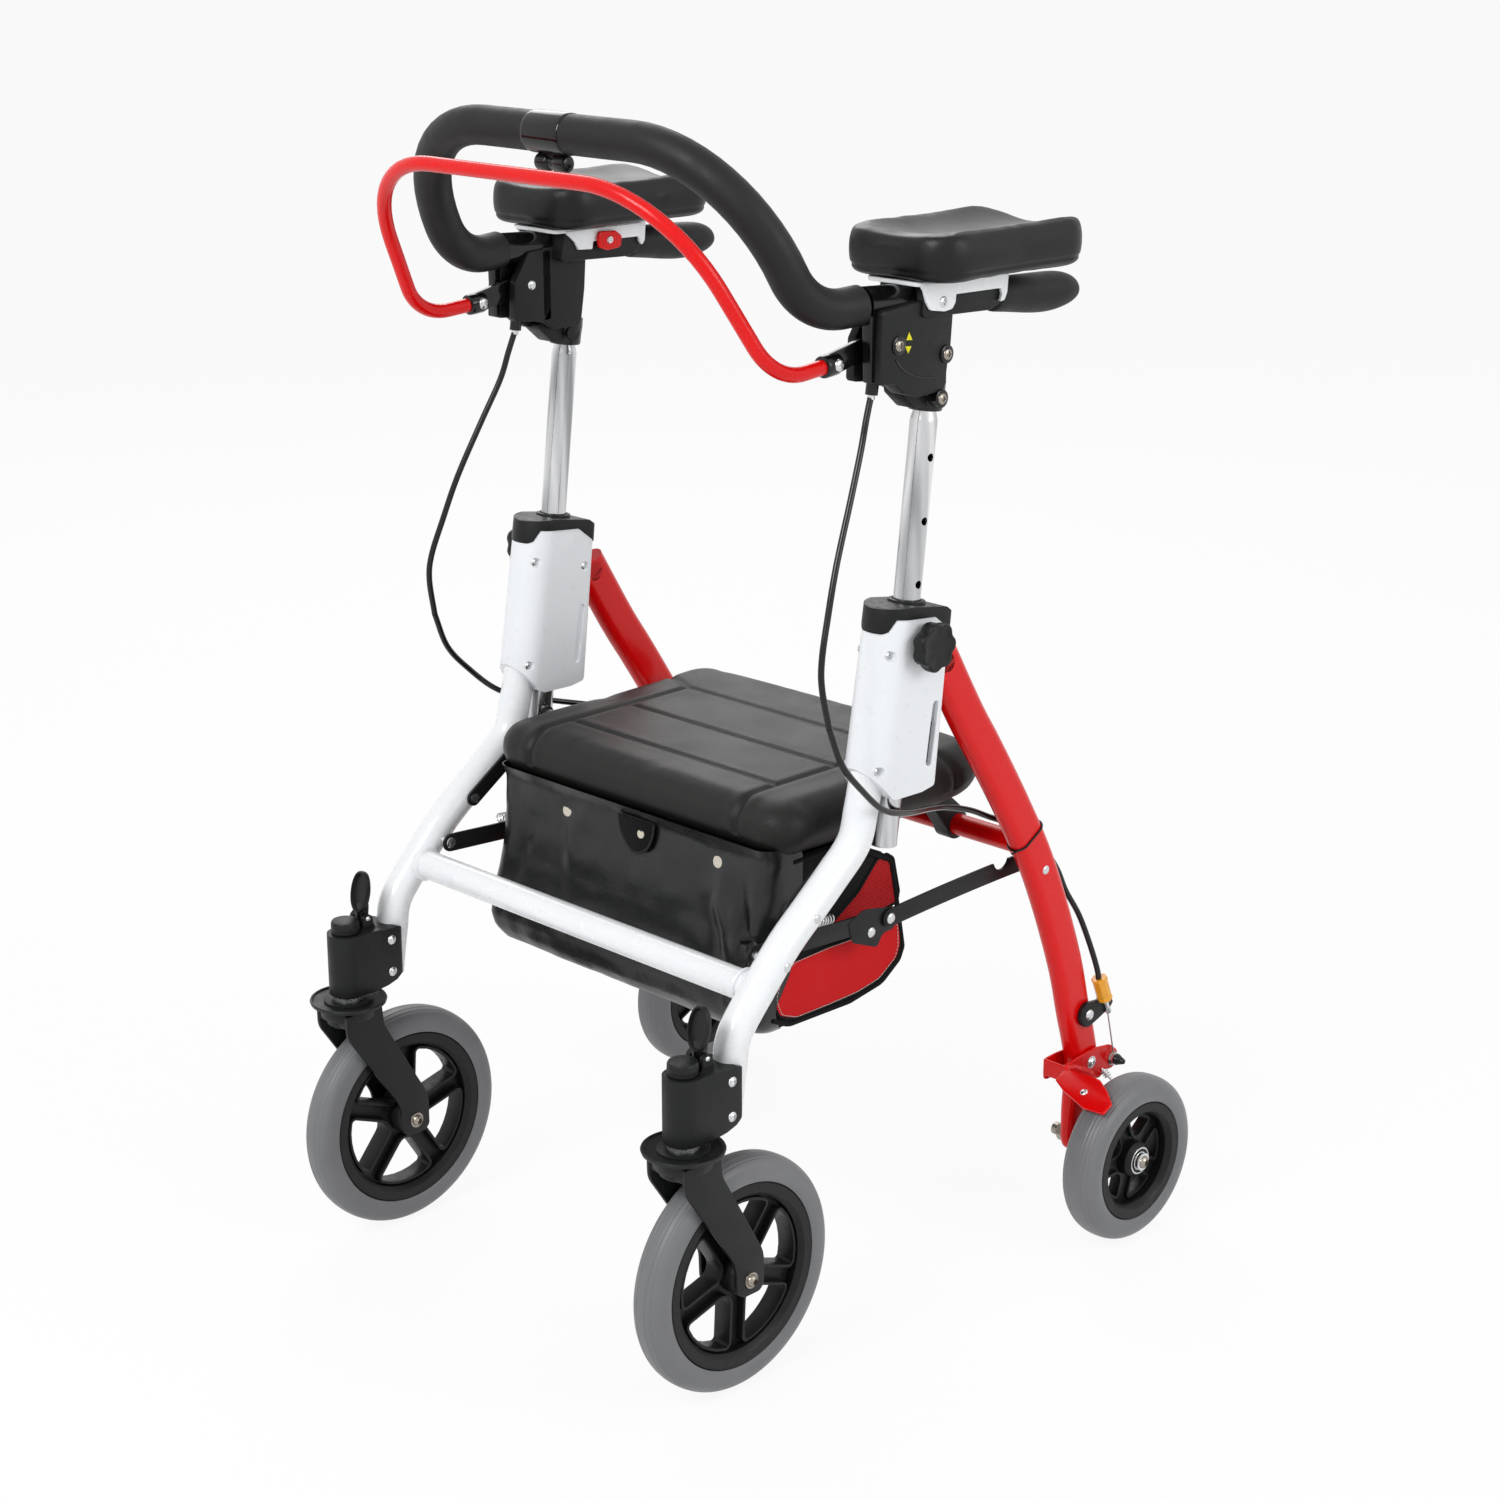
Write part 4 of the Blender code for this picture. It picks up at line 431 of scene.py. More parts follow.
def rounded(corners, radius, steps=6, closed=True, share=0.48):
    """The line through the corners with an arc at each; radius is one value or one per corner."""
    corners = [Vector(corner) for corner in corners]
    radii = radius if hasattr(radius, "__len__") else [radius] * len(corners)
    path = []
    for i, corner in enumerate(corners):
        back = corners[i - 1] - corner
        ahead = corners[(i + 1) % len(corners)] - corner
        ends = not closed and i in (0, len(corners) - 1)
        half = 0 if ends else back.angle(ahead) / 2
        if ends or half > 1.55 or radii[i] <= 0:
            path.append(corner)
            continue
        reach = min(radii[i] / math.tan(half), share * back.length, share * ahead.length)
        back.normalize()
        ahead.normalize()
        centre = corner + (back + ahead).normalized() * reach / math.cos(half)
        first, last = corner + back * reach - centre, corner + ahead * reach - centre
        turn = first.angle(last)
        for step in range(steps + 1):
            t = step / steps
            spoke = first * math.sin((1 - t) * turn) + last * math.sin(t * turn)
            path.append(centre + spoke / math.sin(turn))
    return path


facing_x = Matrix(((0, 0, 1, 0), (1, 0, 0, 0), (0, 1, 0, 0), (0, 0, 0, 1)))


def plate(outlines, low, high, finish, edge=0.0006, facing=facing_x):
    """A flat part between two heights with eased edges: an outline, then the outlines of its holes."""
    if not hasattr(outlines[0][0], "__len__"):
        outlines = [outlines]
    curve = bpy.data.curves.new("plate", "CURVE")
    curve.dimensions = "2D"
    curve.fill_mode = "BOTH"
    edge = min(edge, 0.45 * (high - low))
    curve.extrude = (high - low) / 2 - edge
    curve.bevel_depth = edge
    curve.offset = -edge
    curve.bevel_resolution = 2
    for outline in outlines:
        spline = curve.splines.new("POLY")
        spline.points.add(len(outline) - 1)
        for point, spot in zip(spline.points, outline):
            point.co = (spot[0], spot[1], 0, 1)
        spline.use_cyclic_u = True
    obj = bench(curve)
    obj.matrix_world = facing @ Matrix.Translation((0, 0, (low + high) / 2))
    obj = settled(obj)
    bm = bmesh.new()
    bm.from_mesh(obj.data)
    bpy.data.objects.remove(obj, do_unlink=True)
    return painted(shell(bm, 30), finish)


def brick(low, high, finish, edge=0.001):
    """A block between two corners with eased edges."""
    outline = [(low[1], low[2]), (high[1], low[2]), (high[1], high[2]), (low[1], high[2])]
    return plate(rounded(outline, 2 * edge, 4), low[0], high[0], finish, edge)


def worked(base, operation, others):
    for other in others:
        step = base.modifiers.new(operation, "BOOLEAN")
        step.operation = operation
        step.object = other
    finish = list(base.data.materials)
    base = settled(base)
    for other in others:
        bpy.data.objects.remove(other, do_unlink=True)
    base.data.materials.clear()
    for material in finish[:1]:
        base.data.materials.append(material)
    return creased(base)


def carved(base, *cutters):
    return worked(base, "DIFFERENCE", cutters)


def shared(base, other):
    return worked(base, "INTERSECT", (other,))


def eased(obj, width, angle=40):
    """The part with its sharp edges rounded off."""
    step = obj.modifiers.new("ease", "BEVEL")
    step.width = width
    step.segments = 3
    step.limit_method = "ANGLE"
    step.angle_limit = math.radians(angle)
    step.harden_normals = False
    return creased(settled(obj), 40)


def together(parts):
    """One object from several, each keeping its own material."""
    bm = bmesh.new()
    materials = []
    for part in parts:
        places = []
        for material in part.data.materials:
            if material not in materials:
                materials.append(material)
            places.append(materials.index(material))
        before = len(bm.faces)
        bm.from_mesh(part.data)
        bm.faces.ensure_lookup_table()
        for face in bm.faces[before:]:
            face.material_index = places[min(face.material_index, len(places) - 1)]
        bpy.data.objects.remove(part, do_unlink=True)
    mesh = bpy.data.meshes.new("part")
    bm.to_mesh(mesh)
    bm.free()
    for material in materials:
        mesh.materials.append(material)
    return bench(mesh)


def cast(parts, grain, passes):
    """One casting from overlapping parts, with soft fillets where they meet."""
    finish = parts[0].data.materials[0]
    body = together(parts)
    melt = body.modifiers.new("melt", "REMESH")
    melt.mode = "VOXEL"
    melt.voxel_size = grain
    ease = body.modifiers.new("ease", "SMOOTH")
    ease.factor = 0.5
    ease.iterations = passes
    body = settled(body)
    body.data.materials.clear()
    body.data.materials.append(finish)
    body.data.shade_smooth()
    return body


def mirrored(obj):
    """The same part for the other side of the walker."""
    mesh = obj.data.copy()
    mesh.transform(Matrix.Diagonal((-1, 1, 1, 1)))
    mesh.flip_normals()
    return bench(mesh)


def piece(name, parts, body, stands_for=()):
    """The finished piece, on its body and in place of its CAD nodes."""
    made = together(parts)
    made.name = made.data.name = name
    if stands_for:
        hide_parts(*stands_for)
    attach(made, body)
    return made


def pair(name, parts, body, stands_for=()):
    """The left piece as made and its mirror image on the right."""
    others = [mirrored(part) for part in parts]
    for side, parts in (("left", parts), ("right", others)):
        nodes = [node + "_" + side for node in stands_for]
        piece(name + "_" + side, parts, body.replace("*", side), nodes)


def in_side(path, x=side_x):
    return [(x, y, z) for y, z in path]


def rivet(spot, reach, radius, height, finish=zinc, along=(1, 0, 0)):
    """A domed rivet head whose seat is at spot; reach is how far its shank goes back."""
    dome = [(height * math.sin(a), radius * math.cos(a)) for a in (0.0, 0.35, 0.7, 1.05, 1.35)]
    return spun([(-reach, radius), *dome, (height, 0)], spot, finish, along, 24)


link_a, link_s = (-0.155, 0.3505), (-0.1215, 0.382)
outer_face = side_x + tube_radius
pair(
    "front_tube",
    [
        pipe(flowing(in_side(tube_path), 8), tube_radius, white_paint, 48),
        rivet((outer_face - 0.0006, *link_a), 0.001, 0.0042, 0.0016),
        rivet((outer_face - 0.0006, *link_s), 0.001, 0.0042, 0.0016),
    ],
    "front_frame",
    ["front_tube"],
)


def crossbar(name, spot, reach, radius, sides, weld, weld_x, finish, body):
    """A round bar between both sides of the frame, with a bead of weld at each end."""
    bar = rod(spot, -reach, reach, radius, finish, sides)
    beads = [spun(weld, (-way * weld_x, *spot), finish, (way, 0, 0)) for way in (1, -1)]
    piece(name, [bar, *beads], body, [name])


front_weld = [(0, 0.0122), (0.0006, 0.0146), (0.0018, 0.0152), (0.0032, 0.0142), (0.0042, 0.0126)]
crossbar(
    "front_crossbar", (crossbar_y, crossbar_z), side_x - 0.006, crossbar_radius, 48,
    front_weld, side_x - 0.0125, white_paint, "front_frame",
)

# Telescopic posts
# Polished aluminium tubes that slide in the housings and carry the handle. Round holes on the
# outer side take the sprung plunger, one for each height.
post_radius, post_wall, post_lean = 0.011, 0.0016, 0.1155
post_low, post_high = 0.418, 0.78

aluminium = Finish("polished_aluminium", Metallic=1.0)
drawing = aluminium.noise(1.0, 4.0, aluminium.stretched((1500, 1500, 14)))
# Painted reflections: the long light and dark bands along the posts are painted into the base colour; the
# fine drawn lines mixed in are the metal's own grain.
painted_reflection_bands = aluminium.noise(1.0, 1.0, aluminium.stretched((95, 95, 1.2)))
aluminium.surface(
    ((painted_reflection_bands - 0.32) * 2.4 + drawing * 0.2, (0.3, 0.31, 0.32), (0.78, 0.78, 0.79)),
    (drawing, 0.1, 0.2),
    (drawing, 0.000012),
)


def post_point(z):
    """The middle of the left post at a height; it leans back."""
    return Vector((side_x, -0.0085 + post_lean * (z - 0.6094), z))


post_way = post_point(post_high) - post_point(post_low)
post_length = post_way.length
bore = post_radius - post_wall
step_at = (post_point(0.766) - post_point(post_low)).length
post_line = [
    (0.0006, bore), (0, bore + 0.0004), (0, post_radius - 0.0006), (0.0006, post_radius),
    (step_at - 0.008, post_radius), (step_at - 0.005, post_radius - 0.0003),
    (step_at, post_radius - post_wall), (post_length, post_radius - post_wall),
    (post_length, bore - post_wall), (step_at, bore - post_wall), (step_at - 0.006, bore),
]
post = spun(post_line, post_point(post_low), aluminium, post_way, 64, closed=True)
drills = [
    rod(post_point(z)[1:], side_x, side_x + 0.03, 0.0033, aluminium) for z in (0.7314, 0.6814, 0.6314)
]
post_foot = spun(
    [
        (-0.0006, bore - 0.001), (-0.0006, bore + 0.0007), (0, bore + 0.0008), (0.02, bore),
        (0.02, bore - 0.001),
    ],
    post_point(post_low), white_paint, post_way, 48, closed=True,
)
pair("post", [carved(post, *drills), post_foot], "handle", ["post"])

# Side housings
# White mouldings screwed together around the front tube and the post, each with a black cap
# pressed on top. A long slot in the outer face shows the slide block that the folding leg moves.
housing_half, housing_corner = 0.022, 0.006
housing_low, housing_high = 0.462, 0.6055

white_plastic = Finish("white_moulding", Coat_Roughness=0.12).surface(
    (14, srgb(234, 237, 240), srgb(229, 232, 236)),
    (90, 0.26, 0.36),
    ((1600, 2), 0.00002),
    coat=(14, 0.15, 0.3),
)
black_plastic = Finish("black_moulding", Specular_IOR_Level=0.22).surface(
    (35, srgb(20, 21, 21), srgb(27, 28, 28)), (240, 0.34, 0.5), ((2400, 2), 0.00005)
)


def housing_ring(z, grow=0.0):
    """The housing's section at a height: half round in front, small corners behind."""
    t = (z - housing_low) / (housing_high - housing_low)
    front = -0.0492 + 0.023 * t
    rear = 0.0085 + 0.0151 * t + grow - housing_corner
    half = housing_half + grow
    ring = []
    for step in range(33):
        turn = math.pi * step / 32
        ring.append((side_x + half * math.cos(turn), front - half * math.sin(turn), z))
    for side in (-1, 1):
        for step in range(7):
            turn = math.pi / 2 * (step if side < 0 else 6 - step) / 6
            x = side_x + side * (half - housing_corner + housing_corner * math.cos(turn))
            ring.append((x, rear + housing_corner * math.sin(turn), z))
    return ring


def stadium(start, end, half):
    """The outline of a bar with round ends between two points."""
    start, end = Vector(start), Vector(end)
    ahead = (end - start).normalized()
    side = Vector((-ahead.y, ahead.x))
    outline = []
    for centre, sense in ((end, 1), (start, -1)):
        for step in range(13):
            turn = math.pi / 2 - math.pi * step / 12
            outline.append(centre + sense * half * (math.cos(turn) * ahead + math.sin(turn) * side))
    return outline


fasteners = Recipe("fasteners", Head="Object")
head_mesh = fasteners.node("GeometryNodeObjectInfo", {}, {"Object": fasteners.taken("Head")}, "Geometry")
way_out = fasteners.node(
    "GeometryNodeInputNamedAttribute", {"data_type": "FLOAT_VECTOR"}, {"Name": "way_out"}
)
turned_out = fasteners.node("FunctionNodeAlignRotationToVector", {"axis": "Z"}, {"Vector": way_out})
fasteners.ends(
    fasteners.node(
        "GeometryNodeInstanceOnPoints",
        {},
        {"Points": fasteners.taken("Geometry"), "Instance": head_mesh, "Rotation": turned_out},
    )
)


def fastened(head, finish, spots, way=(1, 0, 0)):
    """Copies of a screw or bolt head on the spots; a spot may bring its own direction."""
    spots = [spot if hasattr(spot[0], "__len__") else (spot, way) for spot in spots]
    mesh = bpy.data.meshes.new("spots")
    mesh.from_pydata([spot for spot, _ in spots], [], [])
    ways = [value for _, way in spots for value in way]
    mesh.attributes.new("way_out", "FLOAT_VECTOR", "POINT").data.foreach_set("vector", ways)
    model = bench(head)
    made = fasteners.follow(bench(mesh), finish, Head=model)
    bpy.data.objects.remove(model, do_unlink=True)
    return made


def head_shape(radius, height, socket, sides):
    """A domed head with a crossed or six-sided socket, seated at the origin and facing +Z."""
    dome = [(height * math.sin(a), radius * math.cos(a)) for a in (0.0, 0.4, 0.75, 1.05)]
    profile = [(-0.0008, radius), *dome, (height, radius * 0.45), (height, 0)]
    head = spun(profile, (0, 0, 0), zinc, (0, 0, 1), 28)
    if sides == 4:
        slim = socket * 0.3
        corners = [
            (socket, slim), (slim, slim), (slim, socket), (-slim, socket), (-slim, slim), (-socket, slim)
        ]
        hole = corners + [(-x, -y) for x, y in corners]
    else:
        hole = [(socket * math.cos(math.pi * i / 3), socket * math.sin(math.pi * i / 3)) for i in range(6)]
    head = carved(head, plate(hole, height * 0.2, height + 0.002, zinc, 0.00002, Matrix()))
    mesh = head.data
    bpy.data.objects.remove(head, do_unlink=True)
    return mesh


cross_screw = head_shape(0.0033, 0.001, 0.0018, 4)
side_line = [
    (-0.09, 0.496), (-0.0715, 0.496), (-0.044, 0.4636), (-0.01, 0.463), (0.005, 0.4655),
    (0.011, 0.4735), (0.04, 0.476), (0.04, 0.58), (0.0221, 0.5905), (0.0025, 0.6058),
    (-0.0385, 0.6098), (-0.0412, 0.6055), (-0.044, 0.6005), (-0.0475, 0.5985), (-0.09, 0.5985),
]
side_rounds = [0, 0.004, 0.01, 0.004, 0.006, 0.004, 0, 0, 0, 0.001, 0.001, 0.002, 0.002, 0.001, 0]
housing = shared(
    skin([housing_ring(z) for z in (housing_low, 0.512, 0.562, 0.615)], white_plastic),
    plate(rounded(side_line, side_rounds), side_x - 0.05, side_x + 0.05, white_plastic, 0.0001),
)
leg_room = plate(
    [(0.006, 0.5865), (0.06, 0.5865), (0.06, 0.42), (-0.012, 0.42)],
    side_x - 0.0096, side_x + 0.0096, white_plastic, 0.0001,
)
slot_top, slot_low = (0.0048, 0.5329), (-0.0024, 0.4867)
slot_line = stadium(slot_top, slot_low, 0.0035)
outer_screws = [(0.2275, -0.0442, 0.5815), (0.2283, -0.0568, 0.4893)]
inner_screws = [(0.1944, -0.0441, 0.582), (0.1923, -0.0562, 0.4901), (0.189, 0.0089, 0.5704)]
pockets = [rod((y, z), x - 0.002, x + 0.02, 0.0043, white_plastic) for x, y, z in outer_screws]
pockets += [rod((y, z), x + 0.0014, x - 0.02, 0.0043, white_plastic) for x, y, z in inner_screws]
housing = carved(
    eased(housing, 0.0007),
    pipe(in_side(tube_path), tube_radius + 0.0002, white_plastic, 40),
    pipe([post_point(0.4), post_point(0.64)], post_radius + 0.0004, white_plastic, 40),
    leg_room,
    plate(slot_line, side_x + 0.0175, side_x + 0.03, white_plastic, 0.0001),
    plate(slot_line, side_x - 0.03, side_x - 0.0205, white_plastic, 0.0001),
    *pockets,
)
slide_block = plate(
    stadium(slot_top, (0.003, 0.5215), 0.0033), side_x + 0.017, side_x + 0.019, aluminium, 0.0003
)
slot_floor = plate(
    stadium(slot_top, slot_low, 0.0034), side_x + 0.015, side_x + 0.0176, black_plastic, 0.0002
)
pair(
    "housing",
    [
        housing,
        slot_floor,
        slide_block,
        fastened(cross_screw, zinc, [(x - 0.0021, y, z) for x, y, z in outer_screws]),
        fastened(cross_screw, zinc, [(x + 0.0015, y, z) for x, y, z in inner_screws], (-1, 0, 0)),
    ],
    "front_frame",
    ["housing"],
)

cap_line = [
    (-0.09, 0.5988), (-0.0475, 0.5988), (-0.0443, 0.6008), (-0.0415, 0.6058), (-0.0388, 0.6101),
    (0.0026, 0.6061), (0.0223, 0.5906), (0.033, 0.589), (0.033, 0.599), (0.015, 0.6122),
    (-0.025, 0.6186), (-0.044, 0.6186), (-0.09, 0.609),
]
cap_rounds = [0, 0.001, 0.002, 0.002, 0.001, 0.001, 0.001, 0, 0, 0.006, 0.004, 0.008, 0]
cap = shared(
    skin([housing_ring(z, 0.0007) for z in (0.585, 0.605, 0.625)], black_plastic),
    plate(rounded(cap_line, cap_rounds), side_x - 0.05, side_x + 0.05, black_plastic, 0.0001),
)
cap = carved(
    eased(cap, 0.0016), pipe([post_point(0.58), post_point(0.64)], post_radius + 0.0005, black_plastic, 40)
)
lip = [
    (0, post_radius + 0.0005), (0.0012, post_radius + 0.0007), (0.0016, 0.013), (0.0009, 0.015),
    (-0.002, 0.0155),
]
collar = spun(
    [*lip, (-0.004, 0.0155), (-0.004, post_radius + 0.0005)],
    post_point(0.6172),
    black_plastic,
    post_way,
    48,
    closed=True,
)
pair("housing_cap", [cap, collar], "front_frame", ["housing_cap"])

# Height knobs
# Black seven-lobed hand knobs whose screws clamp the posts through the housings.
# Moulded in one piece with deep flutes and a shallow dished face.
knob_y, knob_z, knob_radius = -0.0112, 0.5864, 0.0205
knob_face = side_x + 0.039

knob_rings = []
for x, share in (
    (-0.0128, 0.6), (-0.0128, 0.86), (-0.012, 0.93), (-0.009, 0.985), (-0.004, 1.0), (-0.0012, 0.985),
    (-0.0004, 0.962), (0.0, 0.925), (0.0, 0.87), (-0.0006, 0.8), (-0.0008, 0.4),
):
    knob_ring = []
    for step in range(112):
        turn = 2 * math.pi * step / 112
        flute = (0.5 - 0.5 * math.cos(7 * turn)) ** 1.4
        radius = knob_radius * share * (1 - 0.125 * flute)
        knob_ring.append(
            (knob_face + x, knob_y + radius * math.cos(turn), knob_z + radius * math.sin(turn))
        )
    knob_rings.append(knob_ring)
knob_neck = [(0, 0.0), (0, 0.0108), (0.0012, 0.0115), (0.0044, 0.0105), (0.0044, 0.0)]
pair(
    "height_knob",
    [
        skin(knob_rings, black_plastic, 50),
        spun(knob_neck, (side_x + 0.0224, knob_y, knob_z), black_plastic),
        disc(0.004, 0.012, (side_x + 0.0115, knob_y, knob_z), zinc),
    ],
    "height_knob_*",
    ["height_knob"],
)

# Front casters
# Black die-cast brackets clamp the tube ends and hold the swivel stems; below a dust saucer the
# fork carries the wheel between two plates. A sprung paddle behind each stem stops the swivel.
stem_y = -0.2556
lock_y, lock_z = -0.238, 0.2977
front_wheel = Vector((side_x, -0.2034, 0.1))

black_cast = Finish("black_casting", Specular_IOR_Level=0.24).surface(
    (22, srgb(20, 21, 22), srgb(27, 28, 29)), (60, 0.36, 0.52), (900, 0.00008)
)
black_gloss = Finish("black_gloss_moulding", Specular_IOR_Level=0.38).surface(
    (30, srgb(10, 10, 11), srgb(15, 15, 16)), (80, 0.12, 0.22), ((500, 2), 0.00002)
)
bronze = Finish("bronze_plated_steel", Metallic=1.0).surface(
    (400, (0.42, 0.38, 0.33), (0.26, 0.23, 0.2)), (700, 0.22, 0.42), (2500, 0.00003)
)

plan = rounded(
    [
        (side_x + 0.0179, -0.2068), (side_x + 0.0179, -0.229), (side_x + 0.0163, stem_y),
        *[
            (side_x + 0.0163 * math.cos(a), stem_y - 0.0163 * math.sin(a))
            for a in [math.pi * i / 20 for i in range(1, 20)]
        ],
        (side_x - 0.0163, stem_y), (side_x - 0.0179, -0.229), (side_x - 0.0179, -0.2068),
    ],
    [0.004, 0.002] + [0] * 21 + [0.002, 0.004],
)
bracket_line = rounded(
    [
        (-0.29, 0.232), (-0.244, 0.232), (-0.225, 0.2345), (-0.215, 0.2375), (-0.2066, 0.244),
        (-0.206, 0.2838), (-0.213, 0.2864), (-0.23, 0.2866), (-0.2325, 0.293), (-0.2333, 0.299),
        (-0.238, 0.3028), (-0.2428, 0.299), (-0.244, 0.29), (-0.25, 0.2876), (-0.29, 0.2876),
    ],
    [0, 0.003, 0.006, 0.005, 0.006, 0.003, 0.003, 0.003, 0.002, 0.003, 0.005, 0.003, 0.003, 0.004, 0],
)
bracket = shared(
    plate(plan, 0.232, 0.31, black_cast, 0.0004, Matrix()),
    plate(bracket_line, side_x - 0.03, side_x + 0.03, black_cast, 0.0001),
)
bracket = carved(
    eased(bracket, 0.001),
    brick(
        (side_x - 0.0054, lock_y - 0.014, 0.2882),
        (side_x + 0.0054, lock_y + 0.02, 0.33),
        black_cast,
        0.0004,
    ),
    brick(
        (side_x + 0.0096, lock_y - 0.014, 0.288), (side_x + 0.03, lock_y + 0.02, 0.33), black_cast, 0.0004
    ),
    brick(
        (side_x - 0.03, lock_y - 0.014, 0.288), (side_x - 0.0096, lock_y + 0.02, 0.33), black_cast, 0.0004
    ),
    pipe([(side_x, stem_y, 0.288), (side_x, stem_y, 0.32)], 0.0134, black_cast, 40),
    pipe(flowing(in_side(tube_path[:4]), 6), tube_radius + 0.0003, black_cast, 40),
)
clamp_bolts = [
    ((side_x + side * 0.0179, y, z), (side, 0, 0))
    for y, z in ((-0.2196, 0.2755), (-0.2198, 0.246))
    for side in (-1, 1)
]
clamp_head = head_shape(0.0044, 0.0017, 0.0022, 6)
ear_rivets = [((side_x + side * 0.0096, lock_y, lock_z), (side, 0, 0)) for side in (-1, 1)]
ear_head = head_shape(0.0024, 0.001, 0.001, 6)
pair(
    "caster_bracket",
    [bracket, fastened(clamp_head, zinc, clamp_bolts), fastened(ear_head, zinc, ear_rivets)],
    "front_frame",
    ["caster_bracket"],
)

rise = Vector((0, 0.0075, 0.037)).normalized()
front = Vector((0, -rise.z, rise.y))
paddle_middle = Vector((side_x, lock_y + 0.0012, 0.3195))
paddle_rings = []
for share, lift in (
    (0.55, -0.0032), (0.8, -0.003), (0.97, -0.0014), (1.0, 0.0006), (1.0, 0.0026), (0.965, 0.0036),
    (0.9, 0.0038), (0.855, 0.003), (0.83, 0.0012), (0.8, 0.0006), (0.45, 0.0004),
):
    paddle_ring = []
    for step in range(56):
        turn = 2 * math.pi * step / 56
        wide = 0.0108 * share * math.copysign(abs(math.cos(turn)) ** 0.88, math.cos(turn))
        tall = (0.018 if math.sin(turn) < 0 else 0.019) * share * math.sin(turn)
        paddle_ring.append(paddle_middle + Vector((wide, 0, 0)) + rise * tall + front * lift)
    paddle_rings.append(paddle_ring)
paddle_foot_line = [
    (lock_y - 0.004, lock_z - 0.003), (lock_y, lock_z - 0.0047), (lock_y + 0.004, lock_z - 0.003),
    (lock_y + 0.0055, lock_z + 0.012), (lock_y - 0.001, lock_z + 0.014), (lock_y - 0.004, lock_z + 0.006),
]
paddle_foot = plate(rounded(paddle_foot_line, 0.003), side_x - 0.0048, side_x + 0.0048, black_gloss)
pair(
    "swivel_lock",
    [skin(paddle_rings, black_plastic, 45), paddle_foot],
    "swivel_lock_*",
    ["swivel_lock"],
)

blade = rounded(
    [
        (stem_y - 0.019, 0.2195), (stem_y - 0.0185, 0.199), (-0.2196, 0.118), (-0.2186, 0.092),
        (-0.211, 0.0868), (-0.1935, 0.0868), (-0.1884, 0.0915), (-0.1884, 0.12),
        (stem_y + 0.0215, 0.201), (stem_y + 0.0195, 0.2195),
    ],
    [0.001, 0.02, 0.03, 0.006, 0.006, 0.006, 0.006, 0.03, 0.02, 0.001],
)
bridge = rounded(
    [
        (stem_y - 0.018, 0.219), (stem_y - 0.018, 0.2056), (stem_y + 0.0185, 0.2056),
        (stem_y + 0.0185, 0.219),
    ],
    0.003,
)
drum = [
    (0.2047, 0.0), (0.2047, 0.0185), (0.2055, 0.0196), (0.2105, 0.02), (0.2118, 0.0238), (0.213, 0.0245),
    (0.2215, 0.0247), (0.2222, 0.03), (0.2232, 0.0328), (0.2256, 0.0336), (0.2268, 0.033),
    (0.2268, 0.0318), (0.2252, 0.0306), (0.2246, 0.025), (0.2248, 0.0),
]
seal = [(0.2245, 0.0), (0.2245, 0.0214), (0.2262, 0.0214), (0.2268, 0.02), (0.2268, 0.0)]
race = [(0.2262, 0.0), (0.2262, 0.013), (0.23, 0.013), (0.2312, 0.0118), (0.2312, 0.0)]
stem = [(0.22, 0.0), (0.22, 0.0058), (0.293, 0.0058), (0.293, 0.0)]
nut_cap = [
    (0.2888, 0.0), (0.2888, 0.0124), (0.2908, 0.0124), (0.2912, 0.0118), (0.2922, 0.0118),
    (0.2926, 0.0125), (0.2974, 0.0123), (0.2988, 0.0114), (0.2994, 0.009), (0.2996, 0.0),
]
stem_foot = (side_x, stem_y, 0)
up = (0, 0, 1)
axle_bolts = [(front_wheel + Vector((side * 0.0222, 0, 0)), (side, 0, 0)) for side in (-1, 1)]
axle_head = head_shape(0.0052, 0.004, 0.0026, 6)
washer = [(0.0, 0.0), (0.0, 0.007), (0.0009, 0.0068), (0.001, 0.0)]
pair(
    "caster_fork",
    [
        plate(blade, side_x + 0.0183, side_x + 0.0221, black_cast, 0.0009),
        plate(blade, side_x - 0.0221, side_x - 0.0183, black_cast, 0.0009),
        plate(bridge, side_x - 0.019, side_x + 0.019, black_cast, 0.0015),
        spun(drum, stem_foot, black_cast, up, 72),
        spun(seal, stem_foot, black_plastic, up, 64),
        spun(race, stem_foot, zinc, up, 48),
        spun(stem, stem_foot, zinc, up, 32),
        spun(nut_cap, stem_foot, black_plastic, up, 48),
        rod(front_wheel[1:], side_x - 0.0222, side_x + 0.0222, 0.0058, zinc),
        *[spun(washer, spot, bronze, way, 32) for spot, way in axle_bolts],
        fastened(axle_head, bronze, [(spot + Vector(way) * 0.0008, way) for spot, way in axle_bolts]),
    ],
    "caster_*",
    ["caster_fork"],
)

# Wheels
# Black moulded wheels with solid grey rubber tyres pressed on. Each wheel is a rim and a hub
# joined by a web that has five windows; a raised rib frames each window and stiffens the spokes.
spokes = 5
spoke_half = 0.0075

grey_rubber = Finish("grey_rubber", Specular_IOR_Level=0.45).surface(
    ((16, 4), srgb(104, 105, 108), srgb(118, 119, 121)), ((30, 4), 0.34, 0.52), (900, 0.00006)
)

